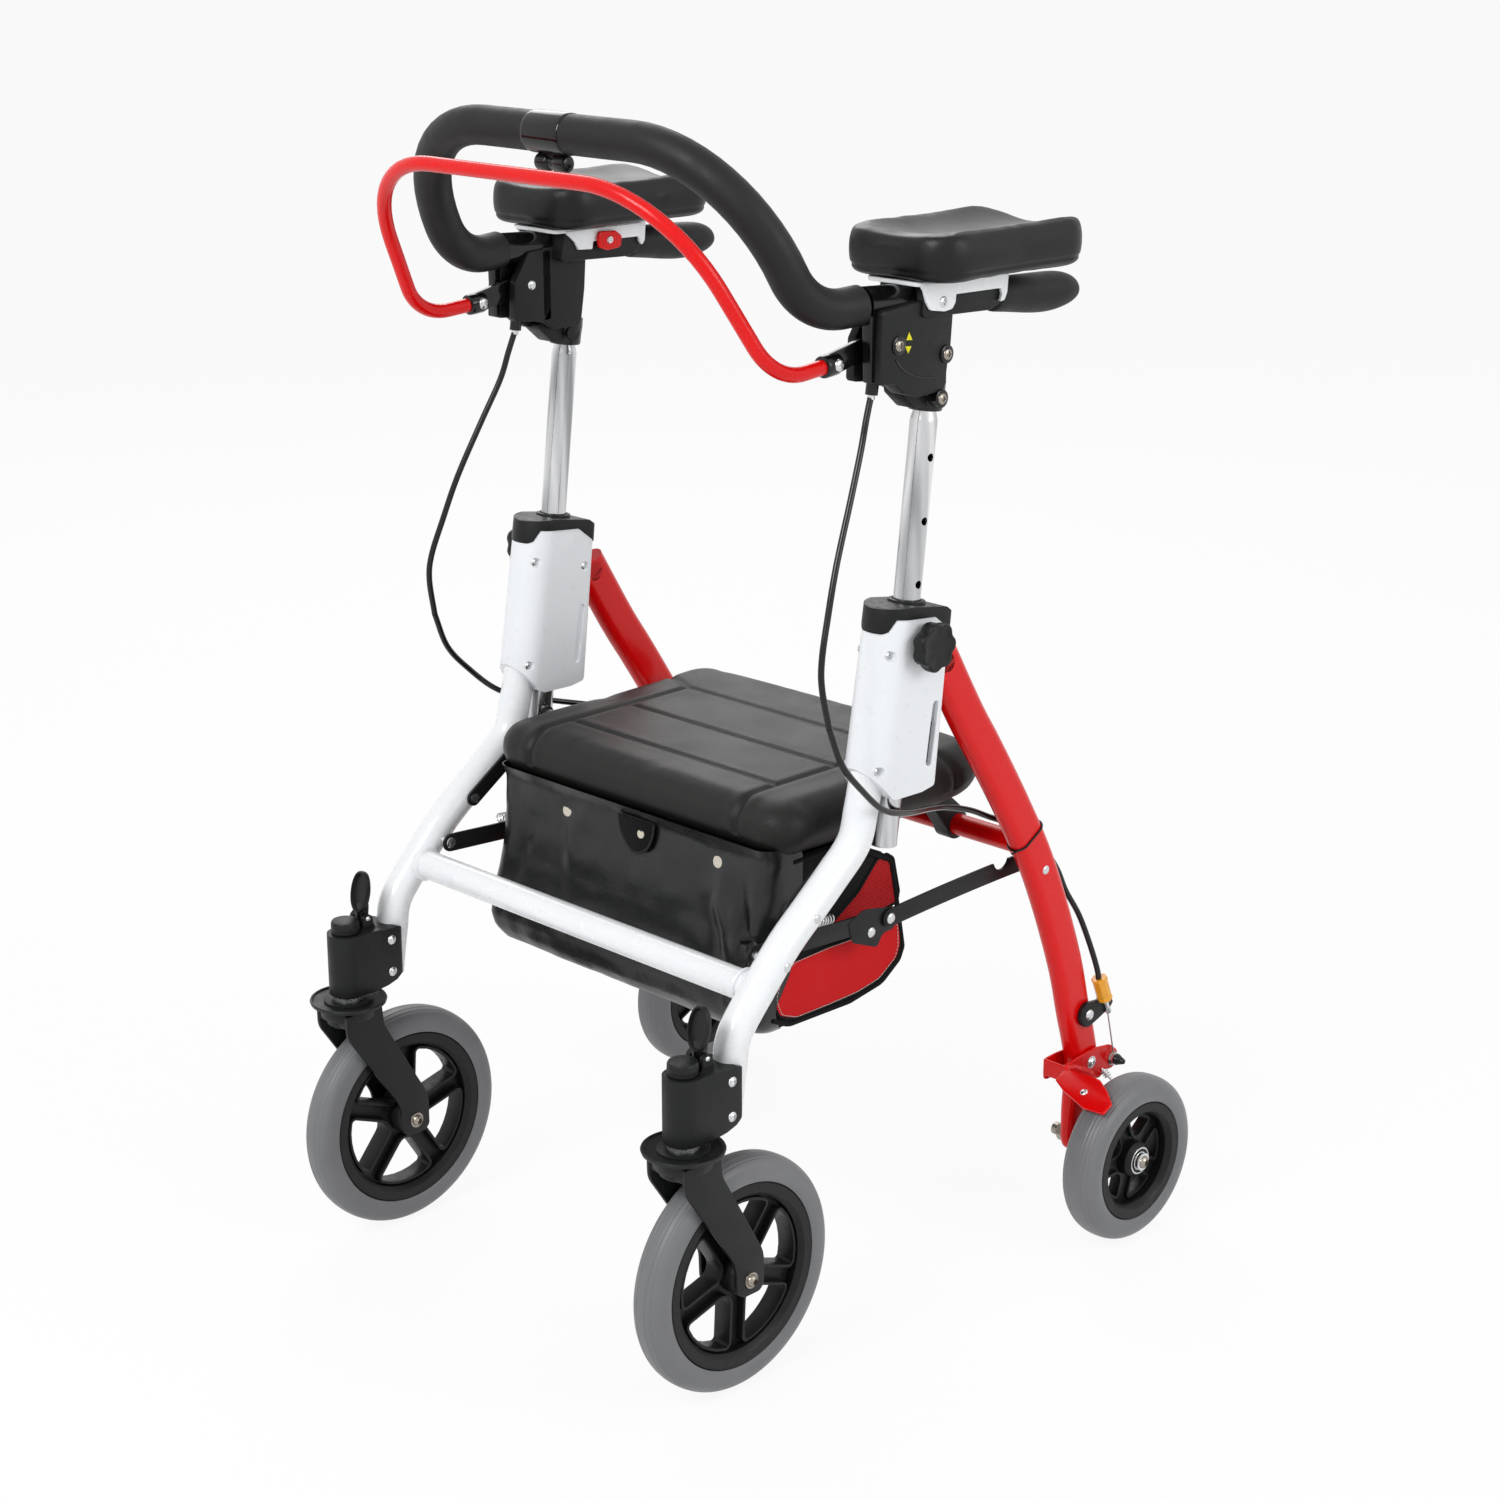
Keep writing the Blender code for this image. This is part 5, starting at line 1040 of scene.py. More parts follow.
window_ribs = Recipe("window_ribs", Windows="Int", Wall="Float", Depth="Float", Turn="Float")
ring_line = window_ribs.node("GeometryNodeMeshToCurve", {}, {"Mesh": window_ribs.taken("Geometry")})
section = window_ribs.node(
    "GeometryNodeCurvePrimitiveQuadrilateral",
    {},
    {"Width": window_ribs.taken("Depth"), "Height": window_ribs.taken("Wall")},
)
section = window_ribs.node(
    "GeometryNodeFilletCurve", {"mode": "POLY"}, {"Curve": section, "Radius": 0.0005, "Count": 2}
)
rib = window_ribs.node("GeometryNodeCurveToMesh", {}, {"Curve": ring_line, "Profile Curve": section})
axis_points = window_ribs.node("GeometryNodePoints", {}, {"Count": window_ribs.taken("Windows")})
which = window_ribs.node("GeometryNodeInputIndex")
pitch = which * window_ribs.taken("Turn")
rotation = window_ribs.node("ShaderNodeCombineXYZ", {}, {"X": pitch})
window_ribs.ends(
    window_ribs.node(
        "GeometryNodeInstanceOnPoints", {}, {"Points": axis_points, "Instance": rib, "Rotation": rotation}
    )
)


def window_line(inner_round, outer):
    """One window of a wheel around the first spoke gap, as (y, z) from the wheel's middle."""
    half_turn = math.pi / spokes
    side_start = math.asin(spoke_half / outer)
    tip = spoke_half / math.sin(half_turn)
    corners = [(tip * math.cos(half_turn), tip * math.sin(half_turn))]
    for t in (0.0, 0.22, 0.36, 0.5, 0.64, 0.78, 1.0):
        turn = side_start + t * (2 * half_turn - 2 * side_start)
        corners.append((outer * math.cos(turn), outer * math.sin(turn)))
    return rounded(corners, [inner_round, 0.0045, 0, 0, 0, 0, 0, 0.0045])


def spoked_hub(centre, angle, rim_radius, half, boss_radius, boss_half, inner_round, rib=0.96):
    """The rim, the web with its framed windows and the boss of one wheel; angle sets the first spoke."""
    inner = rim_radius - 0.0125
    deep = half * 0.62
    rim = [
        (-half * 0.84, rim_radius - 0.0003), (-half * 0.9, rim_radius - 0.0012),
        (-half * 0.9, rim_radius - 0.0085), (-half * 0.84, rim_radius - 0.0098), (-deep, inner),
        (deep, inner), (half * 0.84, rim_radius - 0.0098), (half * 0.9, rim_radius - 0.0085),
        (half * 0.9, rim_radius - 0.0012), (half * 0.84, rim_radius - 0.0003),
    ]
    window = window_line(inner_round, inner - 0.003)
    turned = [Matrix.Rotation(2 * math.pi * k / spokes, 2) for k in range(spokes)]
    disc = [
        ((inner + 0.002) * math.cos(2 * math.pi * i / 90), (inner + 0.002) * math.sin(2 * math.pi * i / 90))
        for i in range(90)
    ]
    web = plate(
        [disc, *[[turn @ spot for spot in window] for turn in turned]], -0.002, 0.002, black_plastic, 0.0003
    )
    line = bpy.data.meshes.new("line")
    spots = [(0, spot[0], spot[1]) for spot in window]
    line.from_pydata(spots, [(i, (i + 1) % len(spots)) for i in range(len(spots))], [])
    frames = window_ribs.follow(
        bench(line),
        black_plastic,
        Windows=spokes,
        Wall=0.0026,
        Depth=2 * deep * rib,
        Turn=2 * math.pi / spokes,
    )
    for part in (web, frames):
        part.data.transform(Matrix.Translation(centre) @ Matrix.Rotation(angle, 4, "X"))
    boss = [
        (-boss_half, 0.0066), (-boss_half, boss_radius * 0.78), (-boss_half + 0.0008, boss_radius * 0.84),
        (-boss_half * 0.72, boss_radius), (boss_half * 0.72, boss_radius),
        (boss_half - 0.0008, boss_radius * 0.84), (boss_half, boss_radius * 0.78), (boss_half, 0.0066),
    ]
    return [
        spun(rim, centre, black_plastic, sides=120, closed=True, angle=25),
        web,
        frames,
        spun(boss, centre, black_plastic, sides=56, closed=True),
    ]


def tyre(centre, radius, rim_radius, width, grooves):
    """A solid tyre: a rounded tread with fine grooves, straight sides and a bead on the rim."""
    half = width / 2
    bead = rim_radius + 0.0002
    deep = radius - bead
    profile = []
    for step in range(97):
        turn = math.pi * step / 96
        x = -half * math.copysign(abs(math.cos(turn)) ** (2 / 2.5), math.cos(turn))
        r = bead + deep * 0.3 + deep * 0.7 * abs(math.sin(turn)) ** (2 / 2.5)
        notch = sum(math.exp(-(((x - place) / 0.00045) ** 2)) for place in grooves)
        profile.append((x, r - 0.0005 * notch * (r > bead + deep * 0.8)))
    profile += [
        (half * 0.985, bead + deep * 0.12), (half * 0.9, bead), (-half * 0.9, bead),
        (-half * 0.985, bead + deep * 0.12),
    ]
    return spun(profile, centre, grey_rubber, sides=144, closed=True, angle=50)


def other_side(place):
    return Vector((-place[0], place[1], place[2]))


both_sides = (("left", Vector), ("right", other_side))

for side, turned in both_sides:
    centre = turned(front_wheel)
    first = math.radians(-93 if side == "left" else -130)
    hub = spoked_hub(centre, first, 0.0788, 0.015, 0.0155, 0.0176, 0.0105)
    piece("front_hub_" + side, hub, "front_wheel_" + side, ["front_hub_" + side])
    rubber = [tyre(centre, 0.0999, 0.0788, 0.03, (-0.0095, -0.0045, 0.0045, 0.0095))]
    piece("front_tyre_" + side, rubber, "front_wheel_" + side, ["front_tyre_" + side])

rear_wheel = Vector((0.2728, 0.2279, 0.0755))
for side, turned in both_sides:
    centre = turned(rear_wheel)
    first = math.radians(-106 if side == "left" else -82)
    hub = spoked_hub(centre, first, 0.0544, 0.01785, 0.016, 0.015, 0.0085, 0.5)
    for way in (-1, 1):
        for outer, inner in ((0.0124, 0.0112), (0.0084, 0.0067)):
            race = [
                (0.014, outer), (0.0154, outer), (0.0157, outer - 0.0005), (0.0156, inner), (0.014, inner)
            ]
            hub.append(spun(race, centre, zinc, (way, 0, 0), 48, closed=True))
        shield = [(0.014, 0.0114), (0.0151, 0.0114), (0.0151, 0.0066), (0.014, 0.0066)]
        hub.append(spun(shield, centre, black_plastic, (way, 0, 0), 48, closed=True))
    piece("rear_hub_" + side, hub, "rear_wheel_" + side, ["rear_hub_" + side])
    rubber = [tyre(centre, 0.0754, 0.0544, 0.0357, (-0.0125, -0.0085, -0.0045, 0.0045, 0.0085, 0.0125))]
    piece("rear_tyre_" + side, rubber, "rear_wheel_" + side, ["rear_tyre_" + side])

# Rear legs
# Flat-oval steel legs in gloss red with a round bar welded between them. Each leg turns on a
# bolt in its housing and is pressed narrower at its foot, where the wheel's axle bolt passes.
leg_wide, leg_thick = 0.018, 0.009
leg_path = (
    (0.03, 0.567), (0.0656, 0.5085), (0.0905, 0.472), (0.1134, 0.4374), (0.137, 0.4),
    (0.1594, 0.362), (0.1781, 0.3237), (0.1972, 0.2779), (0.211, 0.24), (0.2217, 0.2012),
    (0.23, 0.174), (0.2374, 0.144),
)
foot_path = (
    (0.2358, 0.13, 0.0174, 0.009), (0.2328, 0.115, 0.016, 0.0085), (0.23, 0.1, 0.0145, 0.0075),
    (0.2283, 0.086, 0.013, 0.0065), (0.2279, 0.0755, 0.0125, 0.006), (0.2279, 0.0682, 0.0105, 0.0058),
    (0.2279, 0.0645, 0.0075, 0.0052),
)
fold_pivot, link_l = (0.009, 0.5713), (0.1673, 0.347)
rear_bar_y, rear_bar_z, rear_bar_radius = 0.152, 0.371, 0.0095

red_paint = Finish("red_paint", Coat_Roughness=0.08, Specular_IOR_Level=0.25).surface(
    (7, srgb(222, 7, 9), srgb(214, 6, 8)), (60, 0.2, 0.3), ((700, 2), 0.00004), coat=(7, 0.06, 0.1)
)


def oval(centre, ahead, wide, thick):
    """A flat-oval section, square to its path in the side plane."""
    side = Vector((0, -ahead.z, ahead.y)).normalized()
    ring = []
    for end in (1, -1):
        for step in range(20):
            turn = math.pi * step / 19
            out = end * (wide - thick + thick * math.sin(turn))
            ring.append(centre + Vector((end * thick * math.cos(turn), 0, 0)) + side * out)
    return ring


spine = flowing(in_side(list(leg_path) + [spot[:2] for spot in foot_path]), 6)
girths = flowing([(leg_wide, leg_thick, 0)] * len(leg_path) + [(*spot[2:], 0) for spot in foot_path], 6)
ways = [after - before for before, after in zip(spine[:1] + spine, spine[1:] + spine[-1:])]
leg = skin([oval(spot, way, g.x, g.y) for spot, way, g in zip(spine, ways, girths)], red_paint, 50)
lug = plate(
    stadium(fold_pivot, (0.033, 0.559), 0.0095), side_x - leg_thick, side_x + leg_thick, red_paint, 0.0008
)
tie_spot, tie_way = spine[27], ways[27]
strap_round = oval(tie_spot, tie_way, leg_wide + 0.0007, leg_thick + 0.0007)
strap_end = strap_round[33] + Vector((-0.004, -0.004, -0.0035))
outer_nut = rear_wheel + Vector((0.0182, 0, 0))
pair(
    "rear_leg",
    [
        leg,
        lug,
        rivet((side_x + leg_thick - 0.0004, *link_l), 0.001, 0.0043, 0.0018),
        pipe([*strap_round, strap_round[0]], 0.001, black_plastic, 10),
        pipe([strap_round[33], strap_end], 0.0009, black_plastic, 10),
        rod(rear_wheel[1:], 0.1915, 0.2905, 0.0057, bronze, 28),
        disc(0.0105, 0.0345, (0.2196, *rear_wheel[1:]), black_plastic),
        disc(0.0088, 0.0062, (0.1985, *rear_wheel[1:]), bronze, 6),
        spun(
            [(0, 0.0), (0.0002, 0.005), (0.0016, 0.0066), (0.003, 0.0068)], (0.196, *rear_wheel[1:]), bronze
        ),
        spun([(0, 0), (0, 0.008), (0.0008, 0.008), (0.001, 0.0076), (0.001, 0)], outer_nut, zinc),
        fastened(head_shape(0.0058, 0.0036, 0.003, 6), bronze, [outer_nut + Vector((0.001, 0, 0))]),
    ],
    "rear_frame",
    ["rear_leg"],
)
rear_weld = [(0, 0.0093), (0.0006, 0.0116), (0.0018, 0.0121), (0.0032, 0.0112), (0.0042, 0.0096)]
crossbar(
    "rear_crossbar", (rear_bar_y, rear_bar_z), side_x - leg_thick, rear_bar_radius, 40,
    rear_weld, side_x - leg_thick + 0.0008, red_paint, "rear_frame",
)

# Rear brakes
# A pressed red saddle turns on a bolt through each leg. Its shoe reaches out over the tyre; the
# cable's inner wire ends at a nut under a black cone, and a small spring lifts the shoe again.
brake_y, brake_z = 0.236, 0.1475
saddle_x = side_x + leg_thick + 0.001

saddle = plate(
    rounded(
        [
            (0.199, 0.155), (0.216, 0.158), (0.242, 0.1596), (0.264, 0.1562), (0.2745, 0.147),
            (0.2738, 0.135), (0.266, 0.1322), (0.256, 0.133), (0.25, 0.128), (0.24, 0.129),
            (0.228, 0.12), (0.199, 0.13),
        ],
        [0.001, 0.02, 0.02, 0.012, 0.008, 0.006, 0.006, 0.005, 0.005, 0.005, 0.01, 0.001],
    ),
    saddle_x, saddle_x + 0.0026, red_paint, 0.0004,
)
inner_plate = plate(
    rounded(
        [(0.199, 0.155), (0.216, 0.156), (0.244, 0.1545), (0.244, 0.139), (0.212, 0.134), (0.199, 0.1345)],
        0.003,
    ),
    side_x - leg_thick - 0.0036, side_x - leg_thick - 0.001, red_paint, 0.0004,
)
outer_wall = plate(
    rounded(
        [(0.2, 0.154), (0.2, 0.138), (0.207, 0.127), (0.215, 0.116), (0.22, 0.113), (0.233, 0.12),
         (0.243, 0.131), (0.233, 0.14), (0.212, 0.151)],
        [0.001, 0.003, 0.01, 0.01, 0.006, 0.02, 0.005, 0.01, 0.02],
    ),
    saddle_x + 0.002, saddle_x + 0.0046, red_paint, 0.0004,
)
arc = []
for radius, turns in ((0.079, range(100, 146, 2)), (0.0818, range(144, 98, -2))):
    for turn in turns:
        way = math.radians(turn)
        arc.append((rear_wheel.y + radius * math.cos(way), rear_wheel.z + radius * math.sin(way)))
square = math.radians(124)
plan_facing = Matrix(
    (
        (1, 0, 0, 0), (0, math.sin(square), math.cos(square), 0),
        (0, -math.cos(square), math.sin(square), 0), (0, 0, 0, 1),
    )
)
plan_facing = Matrix.Translation((0, rear_wheel.y, rear_wheel.z)) @ plan_facing
shoe_plan = rounded(
    [
        (0.2226, 0.0204), (0.2226, 0.005), (0.237, -0.0025), (0.2442, -0.0045), (0.2642, -0.0109),
        (0.2861, -0.0096), (0.288, 0.0021), (0.2752, 0.0129), (0.261, 0.0215), (0.2529, 0.0221),
    ],
    [0, 0.001, 0.002, 0.01, 0.006, 0.002, 0.002, 0.02, 0.006, 0.006],
)
shoe = shared(
    plate(arc, 0.221, 0.2895, red_paint, 0.0001),
    plate(shoe_plan, 0.05, 0.1, red_paint, 0.0001, plan_facing),
)
way = math.radians(121.5)
shoe_rivet = Vector((0.256, rear_wheel.y + 0.0815 * math.cos(way), rear_wheel.z + 0.0815 * math.sin(way)))
front_web = brick((0.1985, 0.1985, 0.139), (saddle_x + 0.0026, 0.2012, 0.1546), red_paint, 0.0005)
front_lip = brick((0.1985, 0.1985, 0.139), (0.22, 0.206, 0.1414), red_paint, 0.0005)
arm = cast([saddle, inner_plate, outer_wall, shoe, front_web, front_lip], 0.0008, 3)
arm.data.set_sharp_from_angle(angle=math.radians(50))
bolt_spot = Vector((saddle_x + 0.0024, brake_y, brake_z))
wire_nut = Vector((saddle_x + 0.0024, 0.2668, 0.142))
cone = [(0.004, 0.0), (0.004, 0.0052), (0.0062, 0.0052), (0.0072, 0.0045), (0.0132, 0.0022), (0.014, 0.0)]

coil = Recipe("coil", Curls="Float", Coil="Float", Length="Float", Wire="Float")
turns = coil.node(
    "GeometryNodeCurveSpiral",
    {},
    {
        "Resolution": 16,
        "Rotations": coil.taken("Curls"),
        "Start Radius": coil.taken("Coil"),
        "End Radius": coil.taken("Coil"),
        "Height": coil.taken("Length"),
    },
)
strand = coil.node("GeometryNodeCurvePrimitiveCircle", {}, {"Resolution": 8, "Radius": coil.taken("Wire")})
coil.ends(
    coil.node("GeometryNodeCurveToMesh", {}, {"Curve": turns, "Profile Curve": strand, "Fill Caps": True})
)


def spring(start, end, radius, wire, curls):
    """A coil spring between two points."""
    start, end = Vector(start), Vector(end)
    empty = bench(bpy.data.meshes.new("spring"))
    made = coil.follow(empty, zinc, Curls=curls, Coil=radius, Length=(end - start).length, Wire=wire)
    made.data.transform(
        Matrix.Translation(start) @ (end - start).to_track_quat("Z", "Y").to_matrix().to_4x4()
    )
    return made


pair(
    "brake_arm",
    [
        arm,
        rivet(shoe_rivet, 0.001, 0.0036, 0.0014, zinc, shoe_rivet - Vector((0.256, *rear_wheel[1:]))),
        disc(0.0058, 0.0042, wire_nut, zinc, 6),
        disc(0.0066, 0.0008, wire_nut, bronze),
        spun(cone, wire_nut, black_gloss),
        spring((saddle_x + 0.002, 0.253, 0.1345), (saddle_x + 0.008, 0.255, 0.129), 0.003, 0.0006, 4.0),
        pipe([(saddle_x + 0.001, 0.2524, 0.136), (saddle_x + 0.011, 0.2556, 0.1272)], 0.0016, zinc, 16),
    ],
    "brake_arm_*",
    ["brake_arm"],
)
pair(
    "brake_bolt",
    [
        disc(0.0058, 0.0006, bolt_spot, zinc),
        fastened(head_shape(0.0046, 0.0022, 0.0023, 6), zinc, [bolt_spot + Vector((0.0006, 0, 0))]),
        rod((brake_y, brake_z), 0.1952, saddle_x + 0.003, 0.003, zinc, 20),
        disc(0.0052, 0.003, (0.195, brake_y, brake_z), zinc, 6),
    ],
    "rear_frame",
)

# Cable clips
# A black drop-shaped moulding riveted to each leg holds the cable's end: a yellow ferrule above,
# a threaded adjuster through the clip and the bare inner wire down to the brake.
ear_y, ear_z = 0.229, 0.1957
ferrule_top, ferrule_low = Vector((0.2245, 0.2412, 0.2275)), Vector((0.2258, 0.2492, 0.2052))

yellow_plastic = Finish("yellow_moulding", Coat_Roughness=0.15).surface(
    (200, srgb(240, 170, 30), srgb(228, 156, 26)), (500, 0.26, 0.38), (1800, 0.00003), coat=(90, 0.1, 0.25)
)
steel_wire = Finish("steel_wire", Metallic=1.0)
lay = steel_wire.noise(1.0, 2.0, steel_wire.stretched((1800, 1800, 900)))
steel_wire.surface((lay, (0.6, 0.61, 0.62), (0.42, 0.43, 0.44)), (lay, 0.28, 0.42), (lay, 0.00004))

ear_line = [
    (ear_y + 0.0115 * math.cos(a), ear_z + 0.0115 * math.sin(a))
    for a in [math.radians(d) for d in range(70, 301, 10)]
]
ear_line += [(0.244, 0.1888), (0.259, 0.1945), (0.2625, 0.199), (0.26, 0.203), (0.245, 0.2052)]
clip = plate(
    rounded(ear_line, [0] * 24 + [0.02, 0.002, 0.002, 0.002, 0.03]),
    side_x + leg_thick + 0.0003, side_x + leg_thick + 0.0053, black_plastic, 0.0009,
)
wire_way = (ferrule_low - ferrule_top).normalized()
ferrule_length = (ferrule_low - ferrule_top).length
ferrule_line = [
    (0, 0.0036), (0, 0.0066), (0.0006, 0.0074), (0.003, 0.0074), (0.0036, 0.0069),
    (ferrule_length - 0.0034, 0.0069), (ferrule_length - 0.0028, 0.0073),
    (ferrule_length - 0.0006, 0.0073), (ferrule_length, 0.0066), (ferrule_length, 0.003),
]
screw_low = ferrule_low + wire_way * 0.0085
brake_end = Vector((0.2262, 0.264, 0.15))
adjuster = [(0, 0), (0, 0.0036), (0.003, 0.0036), (0.0034, 0.0023), (0.0085, 0.0023), (0.0085, 0)]
pair(
    "cable_clip",
    [
        clip,
        rivet((side_x + leg_thick + 0.0052, ear_y, ear_z), 0.001, 0.0052, 0.0022),
        spun(ferrule_line, ferrule_top, yellow_plastic, wire_way, 8, angle=20),
        spun(adjuster, ferrule_low, zinc, wire_way, 20),
        spun(
            [(0, 0), (0, 0.003), (0.006, 0.003), (0.0066, 0.0018), (0.0066, 0)],
            screw_low,
            zinc,
            wire_way,
            6,
        ),
    ],
    "rear_frame",
    ["cable_clip"],
)
for side, turned in both_sides:
    wire = pipe(
        [turned(screw_low), turned(screw_low.lerp(brake_end, 0.5)), turned(brake_end)],
        0.0007,
        steel_wire,
        10,
    )
    wire.name = wire.data.name = "inner_wire_" + side
    "brake_arm_" + side
    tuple(turned(screw_low))
    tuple(turned(brake_end))
    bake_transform(wire)

# Fold linkage
# Black strips beside the seat: a long brace in two halves from the front tube to the rear leg and
# a short link to the seat. Domed steel rivets are the pivots; a coil spring lies on each brace.
link_m, link_t = (0.0000, 0.341), (-0.034, 0.441)
front_inner, front_outer = 0.1868, 0.1892
rear_inner, rear_outer = 0.19, 0.1924
link_inner, link_outer = 0.1936, 0.1962
tube_face = side_x - tube_radius

black_paint = Finish("satin_black_paint", Specular_IOR_Level=0.24).surface(
    (18, srgb(22, 23, 24), srgb(29, 30, 31)), (70, 0.34, 0.48), (700, 0.00006)
)


def bowed(start, end, half, rise):
    """The outline of a strip between two pivots, bowed upwards by rise."""
    start, end = Vector(start), Vector(end)
    ahead = (end - start).normalized()
    side = Vector((-ahead.y, ahead.x))
    upper, lower = [], []
    for step in range(17):
        t = step / 16
        spot = start.lerp(end, t) + side * rise * 4 * t * (1 - t)
        upper.append(spot + side * half)
        lower.append(spot - side * half)
    caps = []
    for centre, sense in ((end, 1), (start, -1)):
        for step in range(1, 12):
            turn = math.pi / 2 - math.pi * step / 12
            caps.append(centre + sense * half * (math.cos(turn) * ahead + math.sin(turn) * side))
    return [*upper, *caps[:11], *lower[::-1], *caps[11:]]


bar_bow = bowed(link_m, link_l, 0.008, 0.0012)
pivot = Vector(link_l)
hollow = []
for step in range(13):
    turn = Matrix.Rotation(math.radians(3 * step), 2)
    spot = turn @ (Vector((rear_bar_y, rear_bar_z)) - pivot) + pivot
    hollow.append(rod(spot, 0.18, 0.2, rear_bar_radius + 0.0008, black_paint, 32))
ring_washer = [(-0.0004, 0), (-0.0004, 0.007), (0.0008, 0.0066), (0.0008, 0)]
rear_strip = carved(plate(bar_bow, rear_inner, rear_outer, black_paint, 0.0004), *hollow)
pair(
    "brace_rear",
    [
        rear_strip,
        rod(link_l, rear_inner - 0.0012, side_x - leg_thick, 0.0044, zinc),
        spun(ring_washer, (rear_outer, *link_m), black_plastic),
        rivet((rear_outer + 0.0006, *link_m), 0.002, 0.0048, 0.0018),
    ],
    "brace_rear_*",
    ["brace_rear"],
)
joint_plate = rounded(
    [
        (-0.048, 0.348), (-0.0429, 0.33), (-0.013, 0.318), (-0.006, 0.329), (0.0106, 0.329),
        (0.0106, 0.348), (-0.03, 0.356),
    ],
    [0.002, 0.006, 0.004, 0.008, 0.008, 0.008, 0.02],
)
pair(
    "brace_front",
    [
        plate(bowed(link_a, link_m, 0.008, 0), front_inner, front_outer, black_paint, 0.0004),
        plate(joint_plate, front_outer - 0.0002, front_outer + 0.0006, black_paint, 0.0002),
        rod(link_a, front_inner - 0.0008, tube_face, 0.0044, zinc),
        rivet((front_inner + 0.0004, *link_a), 0.001, 0.005, 0.0016, zinc, (-1, 0, 0)),
        rivet((front_inner + 0.0004, *link_m), 0.001, 0.005, 0.0016, zinc, (-1, 0, 0)),
        rivet((front_outer + 0.0004, -0.0199, 0.3331), 0.001, 0.0046, 0.0016),
    ],
    "brace_front_*",
    ["brace_front"],
)
pair(
    "seat_link",
    [
        plate(bowed(link_s, link_t, 0.007, 0), link_inner, link_outer, black_paint, 0.0004),
        rod(link_s, link_inner - 0.0012, tube_face, 0.0044, zinc),
        rod(link_t, 0.1838, link_outer, 0.0044, zinc),
        rivet((link_outer - 0.0002, *link_t), 0.001, 0.005, 0.0016),
    ],
    "seat_link_*",
    ["seat_link"],
)
spring_x = (front_inner + front_outer) / 2
brace_slope = (link_m[1] - link_a[1]) / (link_m[0] - link_a[0])
spring_ends = [(spring_x, y, link_a[1] + (y - link_a[0]) * brace_slope + 0.0127) for y in (-0.1, -0.066)]
pair(
    "brace_spring",
    [spring(*spring_ends, 0.0036, 0.0007, 11.0)],
    "brace_front_*",
    ["brace_spring"],
)

# Seat
# A folding seat: foam on a board in black vinyl, with rolled side and rear borders that turn
# down over the front corners. Two moulded straps under it hook round the rear crossbar.
seat_half, seat_front, seat_rear = 0.1832, -0.12, 0.137
seat_low, seat_high = 0.41, 0.456
border_x, border_y = 0.126, 0.076
cross_seams = (-0.066, 0.003)

vinyl = Finish("black_vinyl", Specular_IOR_Level=0.22)
hide = vinyl.node(
    "ShaderNodeTexVoronoi", {"feature": "DISTANCE_TO_EDGE"}, {"Vector": vinyl.place, "Scale": 620.0}
)
vinyl.surface(
    (9, srgb(22, 22, 21), srgb(30, 29, 28)), (14, 0.34, 0.46), ((hide * 8.0).capped(), 0.00008), (35, 0.0004)
)


def puffed(form, grain, most):
    """The closed form blown up like a stuffed cover; no point moves further than most."""
    melt = form.modifiers.new("melt", "REMESH")
    melt.mode = "VOXEL"
    melt.voxel_size = grain
    finish = form.data.materials[0]
    form = settled(form)
    start = [vertex.co.copy() for vertex in form.data.vertices]
    cloth = form.modifiers.new("cloth", "CLOTH").settings
    cloth.use_pressure = True
    cloth.uniform_pressure_force = 4.0
    cloth.effector_weights.gravity = 0.0
    for frame_number in range(1, 21):
        bpy.context.scene.frame_set(frame_number)
    form = settled(form)
    bpy.context.scene.frame_set(1)
    for vertex, before in zip(form.data.vertices, start):
        move = vertex.co - before
        if move.length > most:
            vertex.co = before + move * (most / move.length)
    finer = form.modifiers.new("finer", "SUBSURF")
    finer.levels = finer.render_levels = 1
    form = settled(form)
    form.data.materials.clear()
    form.data.materials.append(finish)
    form.data.shade_smooth()
    return form


def off_line(spot, start, end):
    """How far a point lies from a straight piece of seam, seen from above."""
    along, away = end - start, spot - start
    t = max(0.0, min(1.0, along.dot(away) / along.length_squared))
    return (away - along * t).length


def sewn(form, seams, depth, half):
    """Sewn channels: the skin sinks along the seams and swells a little beside them."""
    seams = [(Vector(start), Vector(end)) for start, end in seams]
    normals = [vertex.normal.copy() for vertex in form.data.vertices]
    for vertex, normal in zip(form.data.vertices, normals):
        if normal.z < -0.3:
            continue
        gap = min(off_line(Vector(vertex.co[:2]), start, end) for start, end in seams)
        sunk = math.exp(-((gap / half) ** 2)) - 0.25 * math.exp(-(((gap - 3 * half) / (2 * half)) ** 2))
        vertex.co -= normal * depth * sunk
    return form


seams = [((-border_x, y), (border_x, y)) for y in (*cross_seams, border_y)]
for side in (-1, 1):
    seams.append(((side * border_x, border_y), (side * border_x, seat_front - 0.02)))
    seams.append(((side * border_x, border_y), (side * 0.19, 0.097)))
inset, round_edge = 0.0016, 0.0195
seat_rings = []
for step in range(9):
    turn = math.pi * (step / 8 - 0.5)
    shrink = round_edge * (1 - math.cos(turn))
    half_x = seat_half - inset - shrink
    z = (seat_low + seat_high) / 2 + (0.023 - inset) * math.sin(turn)
    front, rear = seat_front + inset + shrink, seat_rear - inset - shrink
    corners = [(-half_x, front, z), (half_x, front, z), (half_x, rear, z), (-half_x, rear, z)]
    seat_rings.append(rounded(corners, max(0.03 - shrink, 0.004), 8))
cover = sewn(puffed(skin(seat_rings, vinyl), 0.0045, 0.003), seams, 0.0026, 0.0026)
